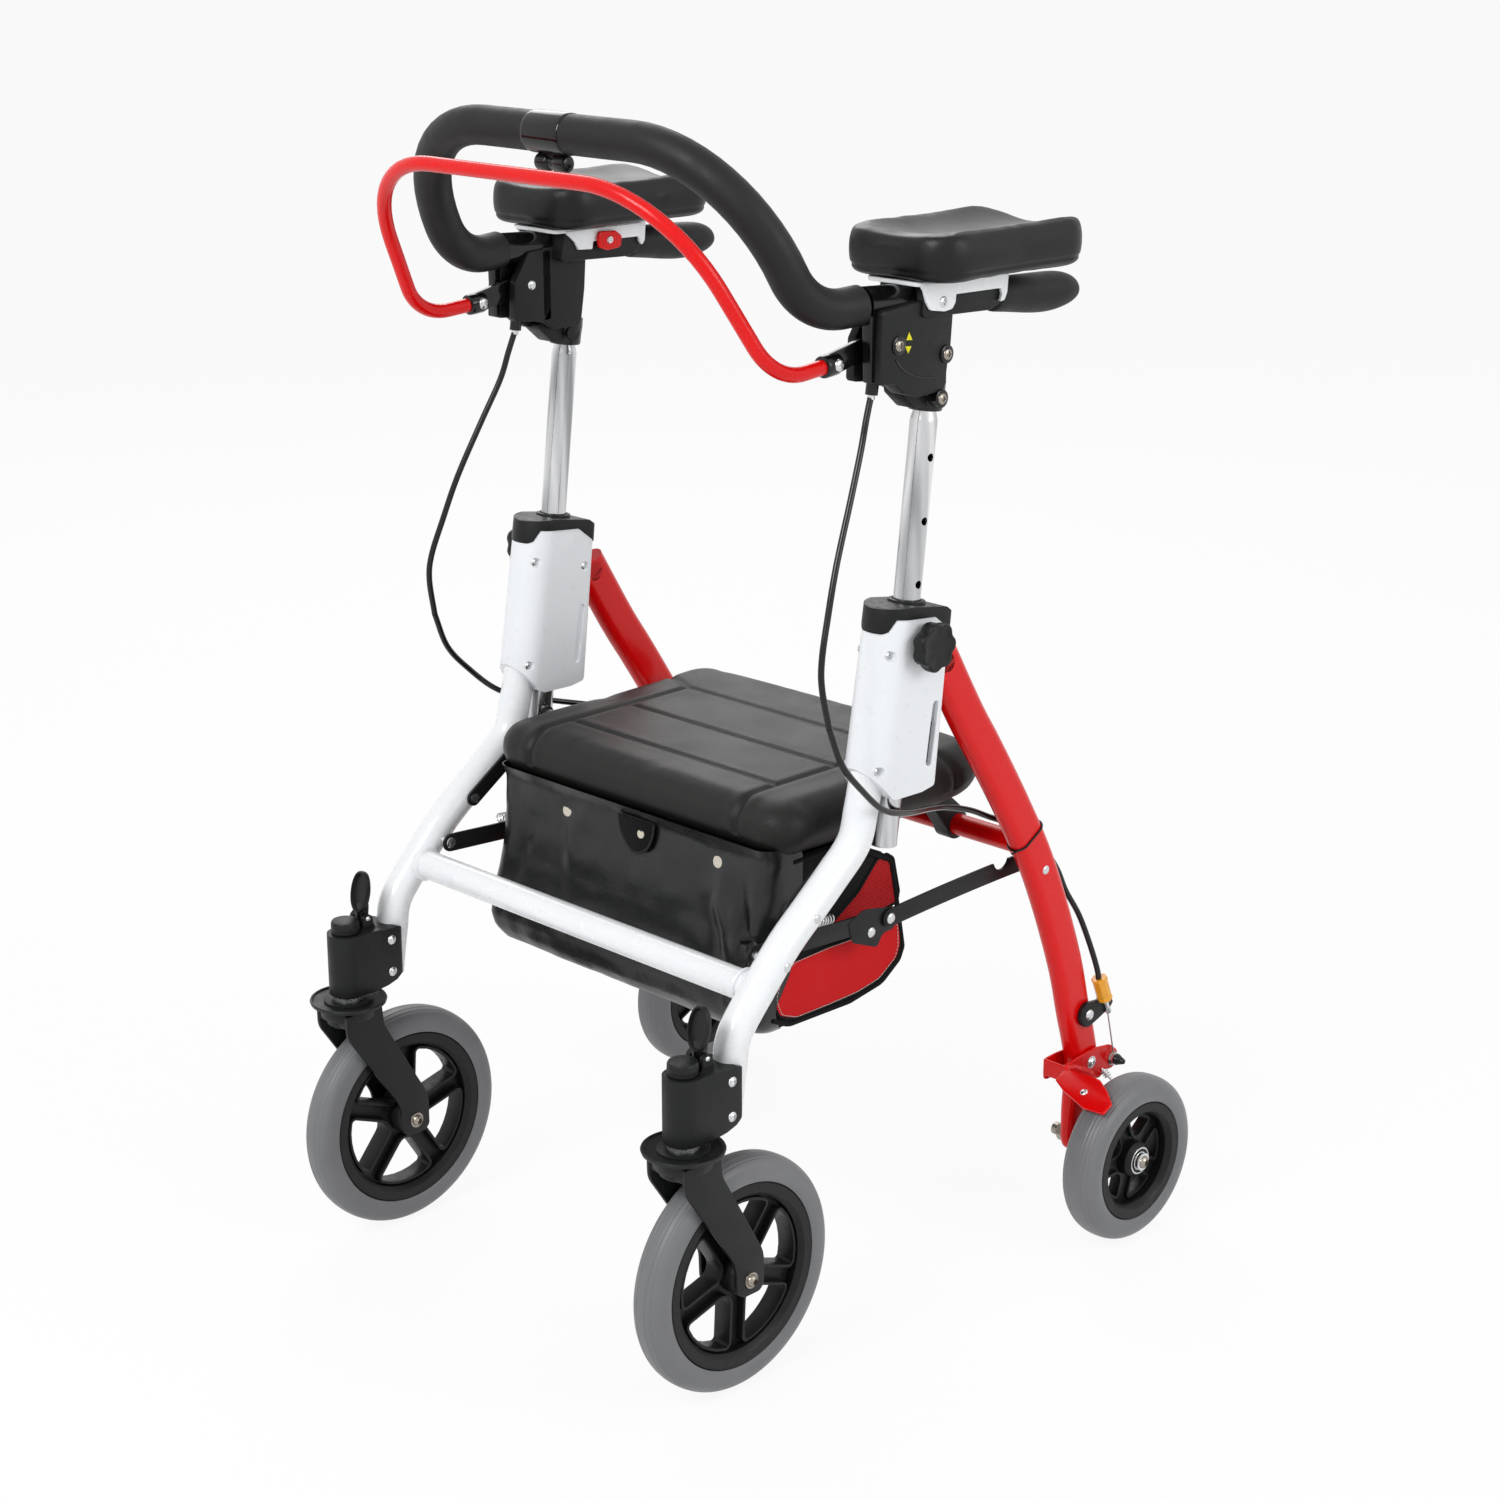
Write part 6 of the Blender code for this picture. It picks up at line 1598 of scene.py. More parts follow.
for vertex in cover.data.vertices:
    behind = max(0.0, (vertex.co.y - border_y - 0.004) / (seat_rear - border_y))
    vertex.co.y += behind * (0.011 + 0.01 * (1 - (vertex.co.x / seat_half) ** 2))
    vertex.co.z += 0.0095 * behind**1.4
strap_line = [
    (rear_bar_y + 0.006, rear_bar_z + 0.0145), (rear_bar_y - 0.006, rear_bar_z + 0.025),
    (0.119, 0.418), (0.107, 0.418), (0.111, 0.406),
]
for turn in [math.radians(degrees) for degrees in range(190, 401, 10)]:
    strap_line.append((rear_bar_y + 0.0135 * math.cos(turn), rear_bar_z + 0.0135 * math.sin(turn)))
strap_line = rounded(strap_line, [0.003, 0.006, 0.002, 0.002, 0.006] + [0] * 22)
straps = []
for side in (-1, 1):
    low = side * (border_x - 0.002) - 0.008
    strap = plate(strap_line, low, low + 0.016, black_plastic, 0.0008)
    bar = rod((rear_bar_y, rear_bar_z), low - 0.01, low + 0.03, rear_bar_radius + 0.0003, black_plastic, 32)
    straps.append(carved(strap, bar))
    straps.append(
        rivet((side * (border_x - 0.002), 0.11, 0.4065), 0.001, 0.0036, 0.0012, zinc, (0, -0.6, -0.8))
    )
seat = piece("seat", [cover, *straps], "seat", ["seat"])

# Bag
# A sewn bag below the seat: a broad black vinyl front, red mesh and plain red cloth in the sides,
# black cloth behind, all edges bound. Snaps and a velvet tab close the vinyl front to its flap.
bag_half, bag_low, bag_high, bag_corner = 0.165, 0.256, 0.4092, 0.013
front_line = (
    (0.256, -0.096), (0.259, -0.113), (0.264, -0.1225), (0.275, -0.13), (0.287, -0.1325), (0.31, -0.1265),
    (0.345, -0.117), (0.38, -0.1125), (0.4092, -0.112),
)
rear_line = (
    (0.256, -0.02), (0.259, 0.005), (0.267, 0.023), (0.2765, 0.0375), (0.286, 0.0445), (0.297, 0.0475),
    (0.3165, 0.0445), (0.337, 0.04), (0.38, 0.0318), (0.4092, 0.028),
)

gloss_vinyl = Finish("gloss_vinyl", Specular_IOR_Level=0.42).surface(
    (9, srgb(15, 16, 16), srgb(22, 23, 23)), (14, 0.24, 0.34), (600, 0.00003), (45, 0.0008)
)
bag_cloth = Finish("black_bag_cloth", Specular_IOR_Level=0.12)
red_cloth = Finish("red_cloth", Specular_IOR_Level=0.15)
for cloth, across_way, scale, tones, gloss in (
    (bag_cloth, "X", 420.0, (srgb(18, 18, 19), srgb(30, 30, 31)), (40, 0.72, 0.88)),
    (red_cloth, "Y", 520.0, (srgb(196, 24, 28), srgb(214, 32, 35)), (50, 0.62, 0.78)),
):
    threads = [
        cloth.node("ShaderNodeTexWave", {"bands_direction": way}, {"Vector": cloth.place, "Scale": scale})
        for way in (across_way, "Z")
    ]
    weave = threads[0] * threads[1]
    cloth.surface((weave, *tones), gloss, (weave, 0.0001))
red_mesh = Finish("red_mesh", Specular_IOR_Level=0.12)
eyelets = red_mesh.node(
    "ShaderNodeTexVoronoi",
    {},
    {"Vector": red_mesh.stretched((0.0, 430.0, 430.0)), "Scale": 1.0, "Randomness": 0.15},
)
hole = eyelets < 0.27
red_mesh.surface((hole, srgb(188, 34, 38), srgb(70, 12, 14)), (50, 0.66, 0.8), (1.0 - hole, 0.0003))
velvet = Finish("black_velvet", Specular_IOR_Level=0.05, Sheen_Weight=0.1).surface(
    (300, (0.002, 0.002, 0.002), (0.006, 0.006, 0.006)), (200, 0.85, 0.95), (1200, 0.0003)
)
snap_metal = Finish("cream_lacquered_snap", Specular_IOR_Level=0.5).surface(
    (400, srgb(205, 198, 184), srgb(190, 182, 168)), (500, 0.24, 0.36), (1500, 0.00003)
)


def clipped(value):
    """The value held between 0 and 1."""
    return max(0.0, min(1.0, value))


def read_off(line, z):
    """The second value of a line of pairs at a height."""
    for (z0, a), (z1, b) in zip(line, line[1:]):
        if z <= z1:
            t = max(0.0, (z - z0) / (z1 - z0))
            return a + (b - a) * t
    return line[-1][1]


def crumple(spot, height, size):
    """Soft unevenness of cloth at a place."""
    return height * noise.noise(Vector(spot) * size)


snaps = [(-0.079, 0.3968), (0.104, 0.3968)]


def front_push(x, z):
    """How far the vinyl front stands out or in: dimples at the snaps, creases, gathers at its near end."""
    push = crumple((x, 0, z), 0.0024, 14) + crumple((x, 1, z), 0.0009, 45)
    for snap_x, snap_z in snaps:
        push -= 0.0012 * math.exp(-(((x - snap_x) / 0.014) ** 2) - ((z - snap_z) / 0.01) ** 2)
        push += 0.0016 * math.exp(
            -(((x - snap_x - 0.006) / 0.007) ** 2) - ((z - snap_z + 0.03) / 0.024) ** 2
        )
    low = clipped((0.402 - z) / 0.05)
    for place, lean, height, wide in (
        (0.153, 0.1, 0.0066, 0.0065), (0.14, 0.22, -0.0062, 0.0055), (0.124, 0.36, 0.007, 0.011),
        (0.098, 0.5, -0.003, 0.012), (-0.15, -0.1, 0.0026, 0.009), (-0.134, -0.3, -0.0018, 0.007),
    ):
        ridge = place - lean * (z - 0.345)
        fold = math.exp(-(((x - ridge) / wide) ** 2)) * math.exp(-(((z - 0.335) / 0.05) ** 2))
        push += height * low * fold
    return push


def bag_width(z):
    drop = max(0.0, 1 - (z - bag_low) / 0.022)
    return bag_half - 0.022 * (1 - math.sqrt(max(0.0, 1 - drop**2)))


bag_rings = []
rear_top = 0.38
for wall in (0.0, 0.0014):
    levels = [0.0, 0.01, 0.03, 0.06, 0.1, 0.14, *[0.2 + 0.08 * i for i in range(11)]]
    for t in levels if not wall else levels[::-1][:-1]:
        level = bag_low + wall + t * (bag_high - bag_low - wall)
        wide = bag_width(level) - wall
        front = read_off(front_line, level) + wall + 0.0055 * min(1.0, (level - bag_low) / 0.02)
        rear = read_off(rear_line, bag_low + t * (rear_top - bag_low)) - wall
        outline = [Vector(spot) for spot in ((-wide, front), (wide, front), (wide, rear), (-wide, rear))]
        middle, depth = (front + rear) / 2, (rear - front) / 2
        ring = []
        for x, y in [
            a.lerp(b, i / 22) for a, b in zip(outline, outline[1:] + outline[:1]) for i in range(22)
        ]:
            rim = bag_high - clipped((y + 0.025) / 0.057) * (bag_high - rear_top)
            z = bag_low + wall + t * (rim - bag_low - wall)
            cut = max(0.0, abs(x) - (wide - bag_corner)), max(0.0, abs(y - middle) - (depth - bag_corner))
            if cut[0] > 0 and cut[1] > 0:
                share = max(cut) / math.hypot(*cut)
                x = math.copysign(wide - bag_corner + cut[0] * share, x)
                y = middle + math.copysign(depth - bag_corner + cut[1] * share, y - middle)
            push = crumple((x, y, z), 0.0022, 16) + crumple((x, y, z + 1), 0.0008, 50)
            if abs(x) < wide - 0.004 and y > middle:
                y += push * min(1.0, 4 * t)
            ring.append((x, y, z))
        bag_rings.append(ring)
piece("bag_body", [skin(bag_rings, bag_cloth, 60)], "front_frame", ["bag"])

apron_low, apron_high = 0.26, 0.4205
apron_rings = []
for step in range(41):
    z = apron_low + (apron_high - apron_low) * step / 40
    wide = bag_width(z) + 0.001
    front = read_off(front_line, z) - 0.0012 - 0.0052 * max(0.0, (z - 0.408) / 0.0125) ** 1.4
    reach = wide + 0.03 - 0.012 * clipped((0.31 - z) / 0.03)
    flat = wide - bag_corner
    outer, inner = [], []
    for i in range(-57, 58):
        run = reach * i / 57
        turn = (abs(run) - flat) / bag_corner
        if turn <= 0:
            x, y, out = run, front, Vector((0, -1))
        elif turn < math.pi / 2:
            x = math.copysign(flat + bag_corner * math.sin(turn), run)
            y = front + bag_corner * (1 - math.cos(turn))
            out = Vector((math.copysign(math.sin(turn), run), -math.cos(turn)))
        else:
            x = math.copysign(wide, run)
            y = front + bag_corner + (turn - math.pi / 2) * bag_corner
            out = Vector((math.copysign(1, run), 0))
        push = front_push(x, z) * min(1.0, (apron_high - z) / 0.012)
        if turn > 1.2:
            push = max(0.25 * push, 0.0)
        outer.append((x + out.x * (push + 0.0005), y + out.y * (push + 0.0005), z))
        inner.append((x + out.x * (push - 0.0006), y + out.y * (push - 0.0006), z))
    apron_rings.append(outer + inner[::-1])
apron = skin(apron_rings, gloss_vinyl, 60)
hem = pipe([ring[0] for ring in apron_rings], 0.0013, vinyl, 10)
half_disc = [
    (0.0205 * math.cos(a), 0.003 + 0.029 * math.sin(a)) for a in [math.pi * (1 + i / 20) for i in range(21)]
]
tab_facing = Matrix.Translation((0.0115, -0.1152, 0.409)) @ Matrix.Rotation(math.radians(88), 4, "X")
tab = plate(rounded(half_disc, [0.003] + [0] * 19 + [0.003]), -0.001, 0.0022, velvet, 0.0008, tab_facing)
tab_rim = pipe([tab_facing @ Vector((x * 1.05, y * 1.02, 0.0018)) for x, y in half_disc], 0.0012, vinyl, 10)
button = [
    (-0.001, 0.0), (-0.001, 0.0052), (0.0005, 0.0056), (0.0011, 0.0054), (0.0014, 0.0042),
    (0.0012, 0.003), (0.0016, 0.0),
]
buttons = []
for x, z in snaps:
    spot = (x, read_off(front_line, z) - 0.001 - front_push(x, z), z)
    buttons.append(spun(button, spot, snap_metal, (0, -0.97, 0.2), 32))
tab_button = [(d, r * 0.74) for d, r in button]
buttons.append(spun(tab_button, (0.0175, -0.1168, 0.4005), snap_metal, (0, -0.97, 0.2), 28))
piece("bag_front", [apron, hem, tab, tab_rim, *buttons], "front_frame")

stitches = Recipe("stitches", Step="Float", Thread="Float", Reach="Float")
row = stitches.node("GeometryNodeMeshToCurve", {}, {"Mesh": stitches.taken("Geometry")})
marks = {"Curve": row, "Length": stitches.taken("Step")}
holes = stitches.node("GeometryNodeCurveToPoints", {"mode": "LENGTH"}, marks)
lean = Signal(stitches, holes.socket.node.outputs["Rotation"])
thread = {"Vertices": 6, "Radius": stitches.taken("Thread"), "Depth": stitches.taken("Reach")}
bit = stitches.node("GeometryNodeMeshCylinder", {}, thread)
stitches.ends(
    stitches.node("GeometryNodeInstanceOnPoints", {}, {"Points": holes, "Instance": bit, "Rotation": lean})
)


def stitched(points, finish):
    """A row of stitches along the points."""
    return stitches.follow(bench(wire_of(points)), finish, Step=0.0032, Thread=0.00032, Reach=0.0022)


pale_thread = Finish("pale_thread", Specular_IOR_Level=0.2).surface(
    (900, srgb(214, 196, 190), srgb(190, 170, 166)), (900, 0.6, 0.8)
)
mesh_line = rounded(
    [
        (-0.066, 0.337), (-0.0408, 0.342), (-0.0107, 0.36), (0.012, 0.383), (0.024, 0.3845),
        (0.032, 0.379), (0.0395, 0.348), (0.0375, 0.338), (-0.0107, 0.333),
    ],
    [0.003, 0.02, 0.02, 0.008, 0.004, 0.006, 0.006, 0.004, 0.05],
)
lower_line = rounded(
    [
        (-0.103, 0.313), (-0.0868, 0.32), (-0.0466, 0.3215), (0.0415, 0.32), (0.0425, 0.2985),
        (0.0385, 0.288), (0.0175, 0.2745), (-0.0097, 0.27), (-0.0462, 0.269), (-0.086, 0.269),
        (-0.104, 0.276), (-0.111, 0.292),
    ],
    [0.006, 0.01, 0.02, 0.004, 0.01, 0.01, 0.02, 0.03, 0.03, 0.02, 0.01, 0.01],
)
side_edge = rounded(
    [
        (-0.088, 0.406), (-0.03, 0.406), (0.029, 0.378), (0.0375, 0.337), (0.0452, 0.2965),
        (0.0405, 0.286), (0.019, 0.2712), (-0.02, 0.265), (-0.093, 0.266), (-0.112, 0.275),
    ],
    [0.01, 0.02, 0.01, 0.03, 0.006, 0.01, 0.02, 0.03, 0.02, 0.01],
    closed=False,
)
band_line = [
    (-0.106, 0.3195), (-0.0466, 0.3235), (0.04, 0.322), (0.0385, 0.3345), (-0.0107, 0.331), (-0.07, 0.335)
]
thread_line = [Vector(spot) for spot in lower_line]
thread_middle = sum(thread_line, Vector((0, 0))) / len(thread_line)
thread_line = [
    (bag_half + 0.0014, *(thread_middle + (spot - thread_middle) * 0.955)) for spot in thread_line
]
pair(
    "bag_side",
    [
        plate(mesh_line, bag_half - 0.0004, bag_half + 0.0007, red_mesh, 0.0004),
        plate(lower_line, bag_half - 0.0004, bag_half + 0.001, red_cloth, 0.0004),
        pipe([(bag_half + 0.0004, *spot) for spot in [*mesh_line, mesh_line[0]]], 0.0013, bag_cloth, 10),
        pipe([(bag_half + 0.0004, *spot) for spot in [*lower_line, lower_line[0]]], 0.0013, bag_cloth, 10),
        plate(rounded(band_line, 0.004), bag_half - 0.0004, bag_half + 0.0012, bag_cloth, 0.0004),
        pipe([(bag_half + 0.0006, *spot) for spot in side_edge], 0.0022, bag_cloth, 12),
        stitched([*thread_line, thread_line[0]], pale_thread),
    ],
    "front_frame",
)
rod_loop = flowing(
    [
        (0.14, -0.119, 0.339), (0.156, -0.125, 0.346), (0.169, -0.132, 0.347), (0.176, -0.133, 0.34),
        (0.17, -0.126, 0.333), (0.156, -0.119, 0.332),
    ],
    6,
)
piece("bag_rod", [pipe(rod_loop, 0.0026, black_gloss, 14)], "front_frame")

# Handle blocks
# A two-half black nylon housing that clamps the handle tube to each post. Its front is slotted
# for the brake lever, an arm behind carries the pad bracket, and bronze screws close it.
lever_x, lever_pivot = 0.2064, (-0.042, 0.8258)
grip_end, foam_end = Vector((0.211, 0.184, 0.8432)), Vector((0.2094, -0.0532, 0.8562))
face, back = side_x + 0.018, side_x - 0.018
tube_way = (grip_end - foam_end).normalized()
cheek_side = rounded(
    [(-0.059, 0.853), (-0.062, 0.7975), (-0.0444, 0.796), (-0.033, 0.787), (-0.02, 0.783), (0.01, 0.784),
     (0.0144, 0.79), (0.0147, 0.8076), (0.0186, 0.8168), (0.0215, 0.854), (-0.02, 0.857)],
    [0.004, 0.002, 0.003, 0.006, 0.006, 0.003, 0.002, 0.004, 0.006, 0.004, 0.02],
)
core_side = rounded(
    [
        (-0.03, 0.856), (-0.03, 0.793), (-0.018, 0.785), (0.011, 0.785), (0.0144, 0.79), (0.0186, 0.8168),
        (0.0215, 0.856),
    ],
    0.003,
)
slot_side = rounded(
    [(-0.044, 0.854), (-0.06, 0.83), (-0.062, 0.797), (-0.0444, 0.795), (-0.02, 0.793), (-0.02, 0.856)],
    0.004,
)
arm_side = rounded(
    [(-0.018, 0.844), (0.0219, 0.8425), (0.06, 0.8412), (0.074, 0.8455), (0.078, 0.8655), (-0.012, 0.868)],
    0.0035,
)
flange = rounded([(-0.057, 0.85), (-0.0665, 0.85), (-0.0645, 0.7985), (-0.057, 0.7985)], 0.001)
emboss = [
    (-0.0448, 0.8151), (-0.0396, 0.809), (-0.0324, 0.804), (-0.0232, 0.8), (-0.0129, 0.7977),
    (-0.0005, 0.7964),
]
block_collar = [
    (0, 0.0096), (0.0006, 0.013), (0.002, 0.0138), (0.01, 0.014), (0.016, 0.0146), (0.024, 0.0146),
    (0.024, 0.0096),
]
bolt_spots = (lever_pivot, (0.0132, 0.8126), (0.008, 0.7785))
bolt_ring = [(-0.003, 0.0072), (0.0012, 0.0072), (0.0016, 0.0066), (0.0016, 0)]
neck_side = rounded([(-0.033, 0.79), (-0.012, 0.772), (0.005, 0.772), (0.005, 0.795)], 0.004)
arrows = (
    [(-0.0331, 0.8288), (-0.0262, 0.8282), (-0.0299, 0.8346)],
    [(-0.0343, 0.8243), (-0.0272, 0.8236), (-0.0307, 0.8183)],
)
yellow_print = Finish("yellow_print", Specular_IOR_Level=0.3).surface(
    (700, srgb(236, 228, 30), srgb(222, 212, 26)), (700, 0.4, 0.55)
)
block = [
    plate(cheek_side, side_x + 0.002, face, black_plastic, 0.0012),
    plate(core_side, back, face - 0.001, black_plastic, 0.0012),
    plate(neck_side, side_x - 0.01, side_x + 0.01, black_plastic, 0.001),
    plate(slot_side, back, lever_x - 0.005, black_plastic, 0.001),
    plate(arm_side, 0.1823, 0.2317, black_plastic, 0.0012),
    plate(flange, side_x + 0.0025, side_x + 0.0115, black_gloss, 0.0008),
    pipe([foam_end - tube_way * 0.01, foam_end + tube_way * 0.04], 0.0138, black_gloss, 48),
    spun(block_collar, post_point(0.7668), black_gloss, post_way, 48),
    pipe(flowing([(face, *spot) for spot in emboss], 6), 0.0008, black_gloss, 8),
    *[spun(bolt_ring, (face, *spot), black_gloss, sides=32) for spot in bolt_spots],
    rod(bolt_spots[2], back + 0.004, face - 0.001, 0.007, black_plastic, 32),
    fastened(
        head_shape(0.0046, 0.0018, 0.0024, 4), bronze, [(face + 0.0015, *spot) for spot in bolt_spots]
    ),
    rod(lever_pivot, back - 0.0005, face, 0.0028, zinc),
    rivet((back + 0.0002, *lever_pivot), 0.001, 0.0044, 0.002, zinc, (-1, 0, 0)),
    *[plate(arrow, face - 0.0002, face + 0.0001, yellow_print, 0.00005) for arrow in arrows],
    pipe([(0.2083, -0.0489, 0.7863), (0.2083, -0.047, 0.799)], 0.005, black_gloss, 32),
    pipe([(0.2084, -0.0496, 0.7828), (0.2083, -0.0489, 0.7866)], 0.003, zinc, 24),
]
pair("handle_block", block, "handle", ["handle_block"])

# Handle loop
# One steel tube bent from grip to grip over the user's front, in closed black foam. The bare
# middle has a gloss sleeve and, under it, the split clip that parks the brake bar.
loop_top = Vector((0.19, -0.1795, 0.9774))
foam_start = foam_end - tube_way * 0.0108
half_loop = [foam_start, Vector((0.203, -0.1155, 0.8537)), loop_top]
loop_corners = [*half_loop, *map(other_side, half_loop[::-1])]
loop = rounded(loop_corners, [0, 0.054, 0.115, 0.115, 0.054, 0], 14, False, 0.8)
tube_end = grip_end - tube_way * 0.004
tube = pipe([tube_end, *loop, other_side(tube_end)], 0.011, black_gloss, 32)
piece("handle_tube", [tube], "handle", ["handle_tube"])

foam = Finish("black_foam", Specular_IOR_Level=0.26).surface(
    (30, srgb(23, 23, 24), srgb(29, 29, 30)), (60, 0.46, 0.58), (900, 0.00012), (40, 0.0004)
)
soft_ends = [loop[0], loop[0].lerp(loop[1], 0.05), loop[0].lerp(loop[1], 0.12)]
foam_line = [*soft_ends, *loop[1:-1], *map(other_side, soft_ends[::-1])]
swell = [0.8, 0.94, 1.0]
foam_tube = pipe(foam_line, 0.0156, foam, 64, [*swell, *[1.0] * (len(loop) - 2), *swell[::-1]])
piece("handle_foam", [foam_tube], "handle", ["handle_foam"])

top_y, top_z = loop_top[1:]
clip_z = top_z - 0.0227
barrel = [
    (0, 0.0052), (0.0008, 0.0066), (0.002, 0.007), (0.0118, 0.007), (0.0128, 0.0064), (0.0135, 0.005),
    (0.0165, 0.005),
]
barrel += [(0.033 - d, r) for d, r in barrel[-2::-1]]
sleeve = [
    (0, 0.0158), (0.0006, 0.0162), (0.003, 0.0164), (0.039, 0.0164), (0.0414, 0.0162), (0.042, 0.0158)
]
piece(
    "handle_sleeve",
    [
        spun(sleeve, (-0.025, top_y, top_z), black_gloss, sides=72),
        spun(barrel, (-0.0205, top_y, clip_z), black_gloss, sides=48),
        brick(
            (-0.016, top_y - 0.003, clip_z + 0.002),
            (0.008, top_y + 0.003, top_z - 0.012),
            black_gloss,
            0.0008,
        ),
    ],
    "handle",
    ["handle_sleeve"],
)

# Brake bar
# A red rod under the loop that works both brakes. Each end is pushed into a black socket whose
# flat steel tongue turns on the handle block's pivot and pulls the cable.
bar_start = Vector((0.2062, -0.0886, 0.8151))
bar_turn, bar_top = Vector((0.2089, -0.154, 0.8095)), Vector((0.1733, -0.2335, 0.9515))
half_bar = [bar_start, bar_turn, bar_top]
bar_corners = [*half_bar, *map(other_side, half_bar[::-1])]
bar_line = rounded(bar_corners, [0, 0.048, 0.106, 0.106, 0.048, 0], 14, False, 0.8)
socket_line = [
    (-0.004, 0.005), (-0.003, 0.0078), (0, 0.0088), (0.011, 0.0088), (0.0132, 0.0084), (0.014, 0.007),
    (0.014, 0.006),
]
tongue = stadium(lever_pivot, (bar_start.y - 0.004, bar_start.z), 0.0086)
hook_line = [(-0.042, 0.814), (-0.05, 0.812), (-0.052, 0.802), (-0.047, 0.802), (-0.038, 0.819)]
screw_spots = [((lever_x + way * 0.0086, bar_start.y - 0.003, bar_start.z), (way, 0, 0)) for way in (-1, 1)]
bar_ends = [
    spun(socket_line, bar_start, black_gloss, bar_turn - bar_start, 40),
    plate(tongue, lever_x - 0.0025, lever_x + 0.0025, black_gloss, 0.0008),
    plate(rounded(hook_line, 0.0015), lever_x - 0.0015, lever_x + 0.0015, black_gloss, 0.0005),
    fastened(head_shape(0.0048, 0.002, 0.0022, 6), zinc, screw_spots),
]
bar_ends += [mirrored(part) for part in bar_ends]
piece(
    "brake_bar", [pipe(bar_line, 0.006, red_paint, 40), *bar_ends], "brake_bar", ["brake_bar"]
)

# Hand grips
# Moulded rubber grips at the rear ends of the tube, swelling to a leaf shape below the palm.
grip_line = (
    (0.0, 0.8, 0.8, 0.8), (0.015, 0.94, 0.92, 0.92), (0.1, 0.96, 0.94, 0.95), (0.25, 0.96, 0.94, 1.03),
    (0.4, 1.00, 0.96, 1.13), (0.55, 1.06, 0.98, 1.19), (0.68, 1.12, 1.00, 1.16), (0.8, 1.12, 0.98, 1.02),
    (0.89, 1.03, 0.88, 0.84), (0.95, 0.86, 0.72, 0.62), (0.985, 0.6, 0.5, 0.4), (1.0, 0.3, 0.26, 0.2),
)
grip_rings = []
for t, wide, above, below in grip_line:
    centre = foam_end + tube_way * ((0.083 + t * 0.1035 - foam_end.y) / tube_way.y)
    ring = []
    for step in range(40):
        turn = 2 * math.pi * step / 40
        tall = (above if turn < math.pi else below) * 0.015 * math.sin(turn)
        ring.append((side_x + wide * 0.015 * math.cos(turn), centre.y, centre.z + tall))
    grip_rings.append(ring)
grip = skin(grip_rings, foam, 80)
finer = grip.modifiers.new("finer", "SUBSURF")
finer.levels = finer.render_levels = 2
grip = settled(grip)
grip.data.shade_smooth()
pair("hand_grip", [grip], "handle", ["hand_grip"])

# Pad brackets and latches
# A white nylon saddle screwed over each block's arm holds the arm pad. A red latch, screwed to
# its inner side, locks it.
saddle_low, saddle_high = 0.179, 0.235
saddle_side = rounded(
    [
        (-0.0262, 0.872), (-0.02, 0.865), (-0.0165, 0.856), (-0.012, 0.8495), (0.004, 0.847),
        (0.013, 0.848), (0.0165, 0.853), (0.017, 0.8588), (0.07, 0.8578), (0.0712, 0.853),
        (0.0688, 0.8472), (0.0745, 0.848), (0.0775, 0.854), (0.079, 0.872),
    ],
    [0.001, 0.004, 0.004, 0.005, 0.004, 0.004, 0.003, 0.0012, 0.0015, 0.002, 0.001, 0.002, 0.003, 0.001],
)
inner_cheek = rounded(
    [
        (-0.0262, 0.872), (-0.015, 0.869), (-0.004, 0.86), (0.0000, 0.853), (0.016, 0.852),
        (0.017, 0.8588), (0.07, 0.8578), (0.0712, 0.853), (0.0745, 0.85), (0.0775, 0.854),
        (0.079, 0.872),
    ],
    0.0015,
)
saddle_top = rounded(
    [(saddle_low, -0.0262), (saddle_high, -0.0262), (saddle_high, 0.079), (saddle_low, 0.079)], 0.006
)
saddle_bolt, latch_spot = (0.002, 0.8545), (0.0325, 0.859)
latch_side = rounded(
    [
        (0.0455, 0.8515), (0.047, 0.861), (0.04, 0.866), (0.0215, 0.8672), (0.019, 0.862), (0.02, 0.8535),
        (0.03, 0.85),
    ], 0.0035
)
pair(
    "pad_bracket",
    [
        plate(inner_cheek, saddle_low, saddle_low + 0.003, white_paint, 0.0008),
        plate(saddle_side, saddle_high - 0.003, saddle_high, white_paint, 0.0008),
        plate(saddle_top, 0.8685, 0.872, white_paint, 0.0008, Matrix()),
        fastened(head_shape(0.0046, 0.0014, 0.0024, 4), zinc, [(saddle_high - 0.0002, *saddle_bolt)]),
        rod(latch_spot, 0.174, 0.18, 0.0028, zinc, 20),
    ],
    "handle",
    ["pad_bracket"],
)
pair(
    "pad_lever",
    [
        plate(latch_side, 0.175, 0.1784, red_paint, 0.001),
        fastened(cross_screw, zinc, [((0.175, *latch_spot), (-1, 0, 0))]),
    ],
    "pad_lever_*",
    ["pad_lever"],
)
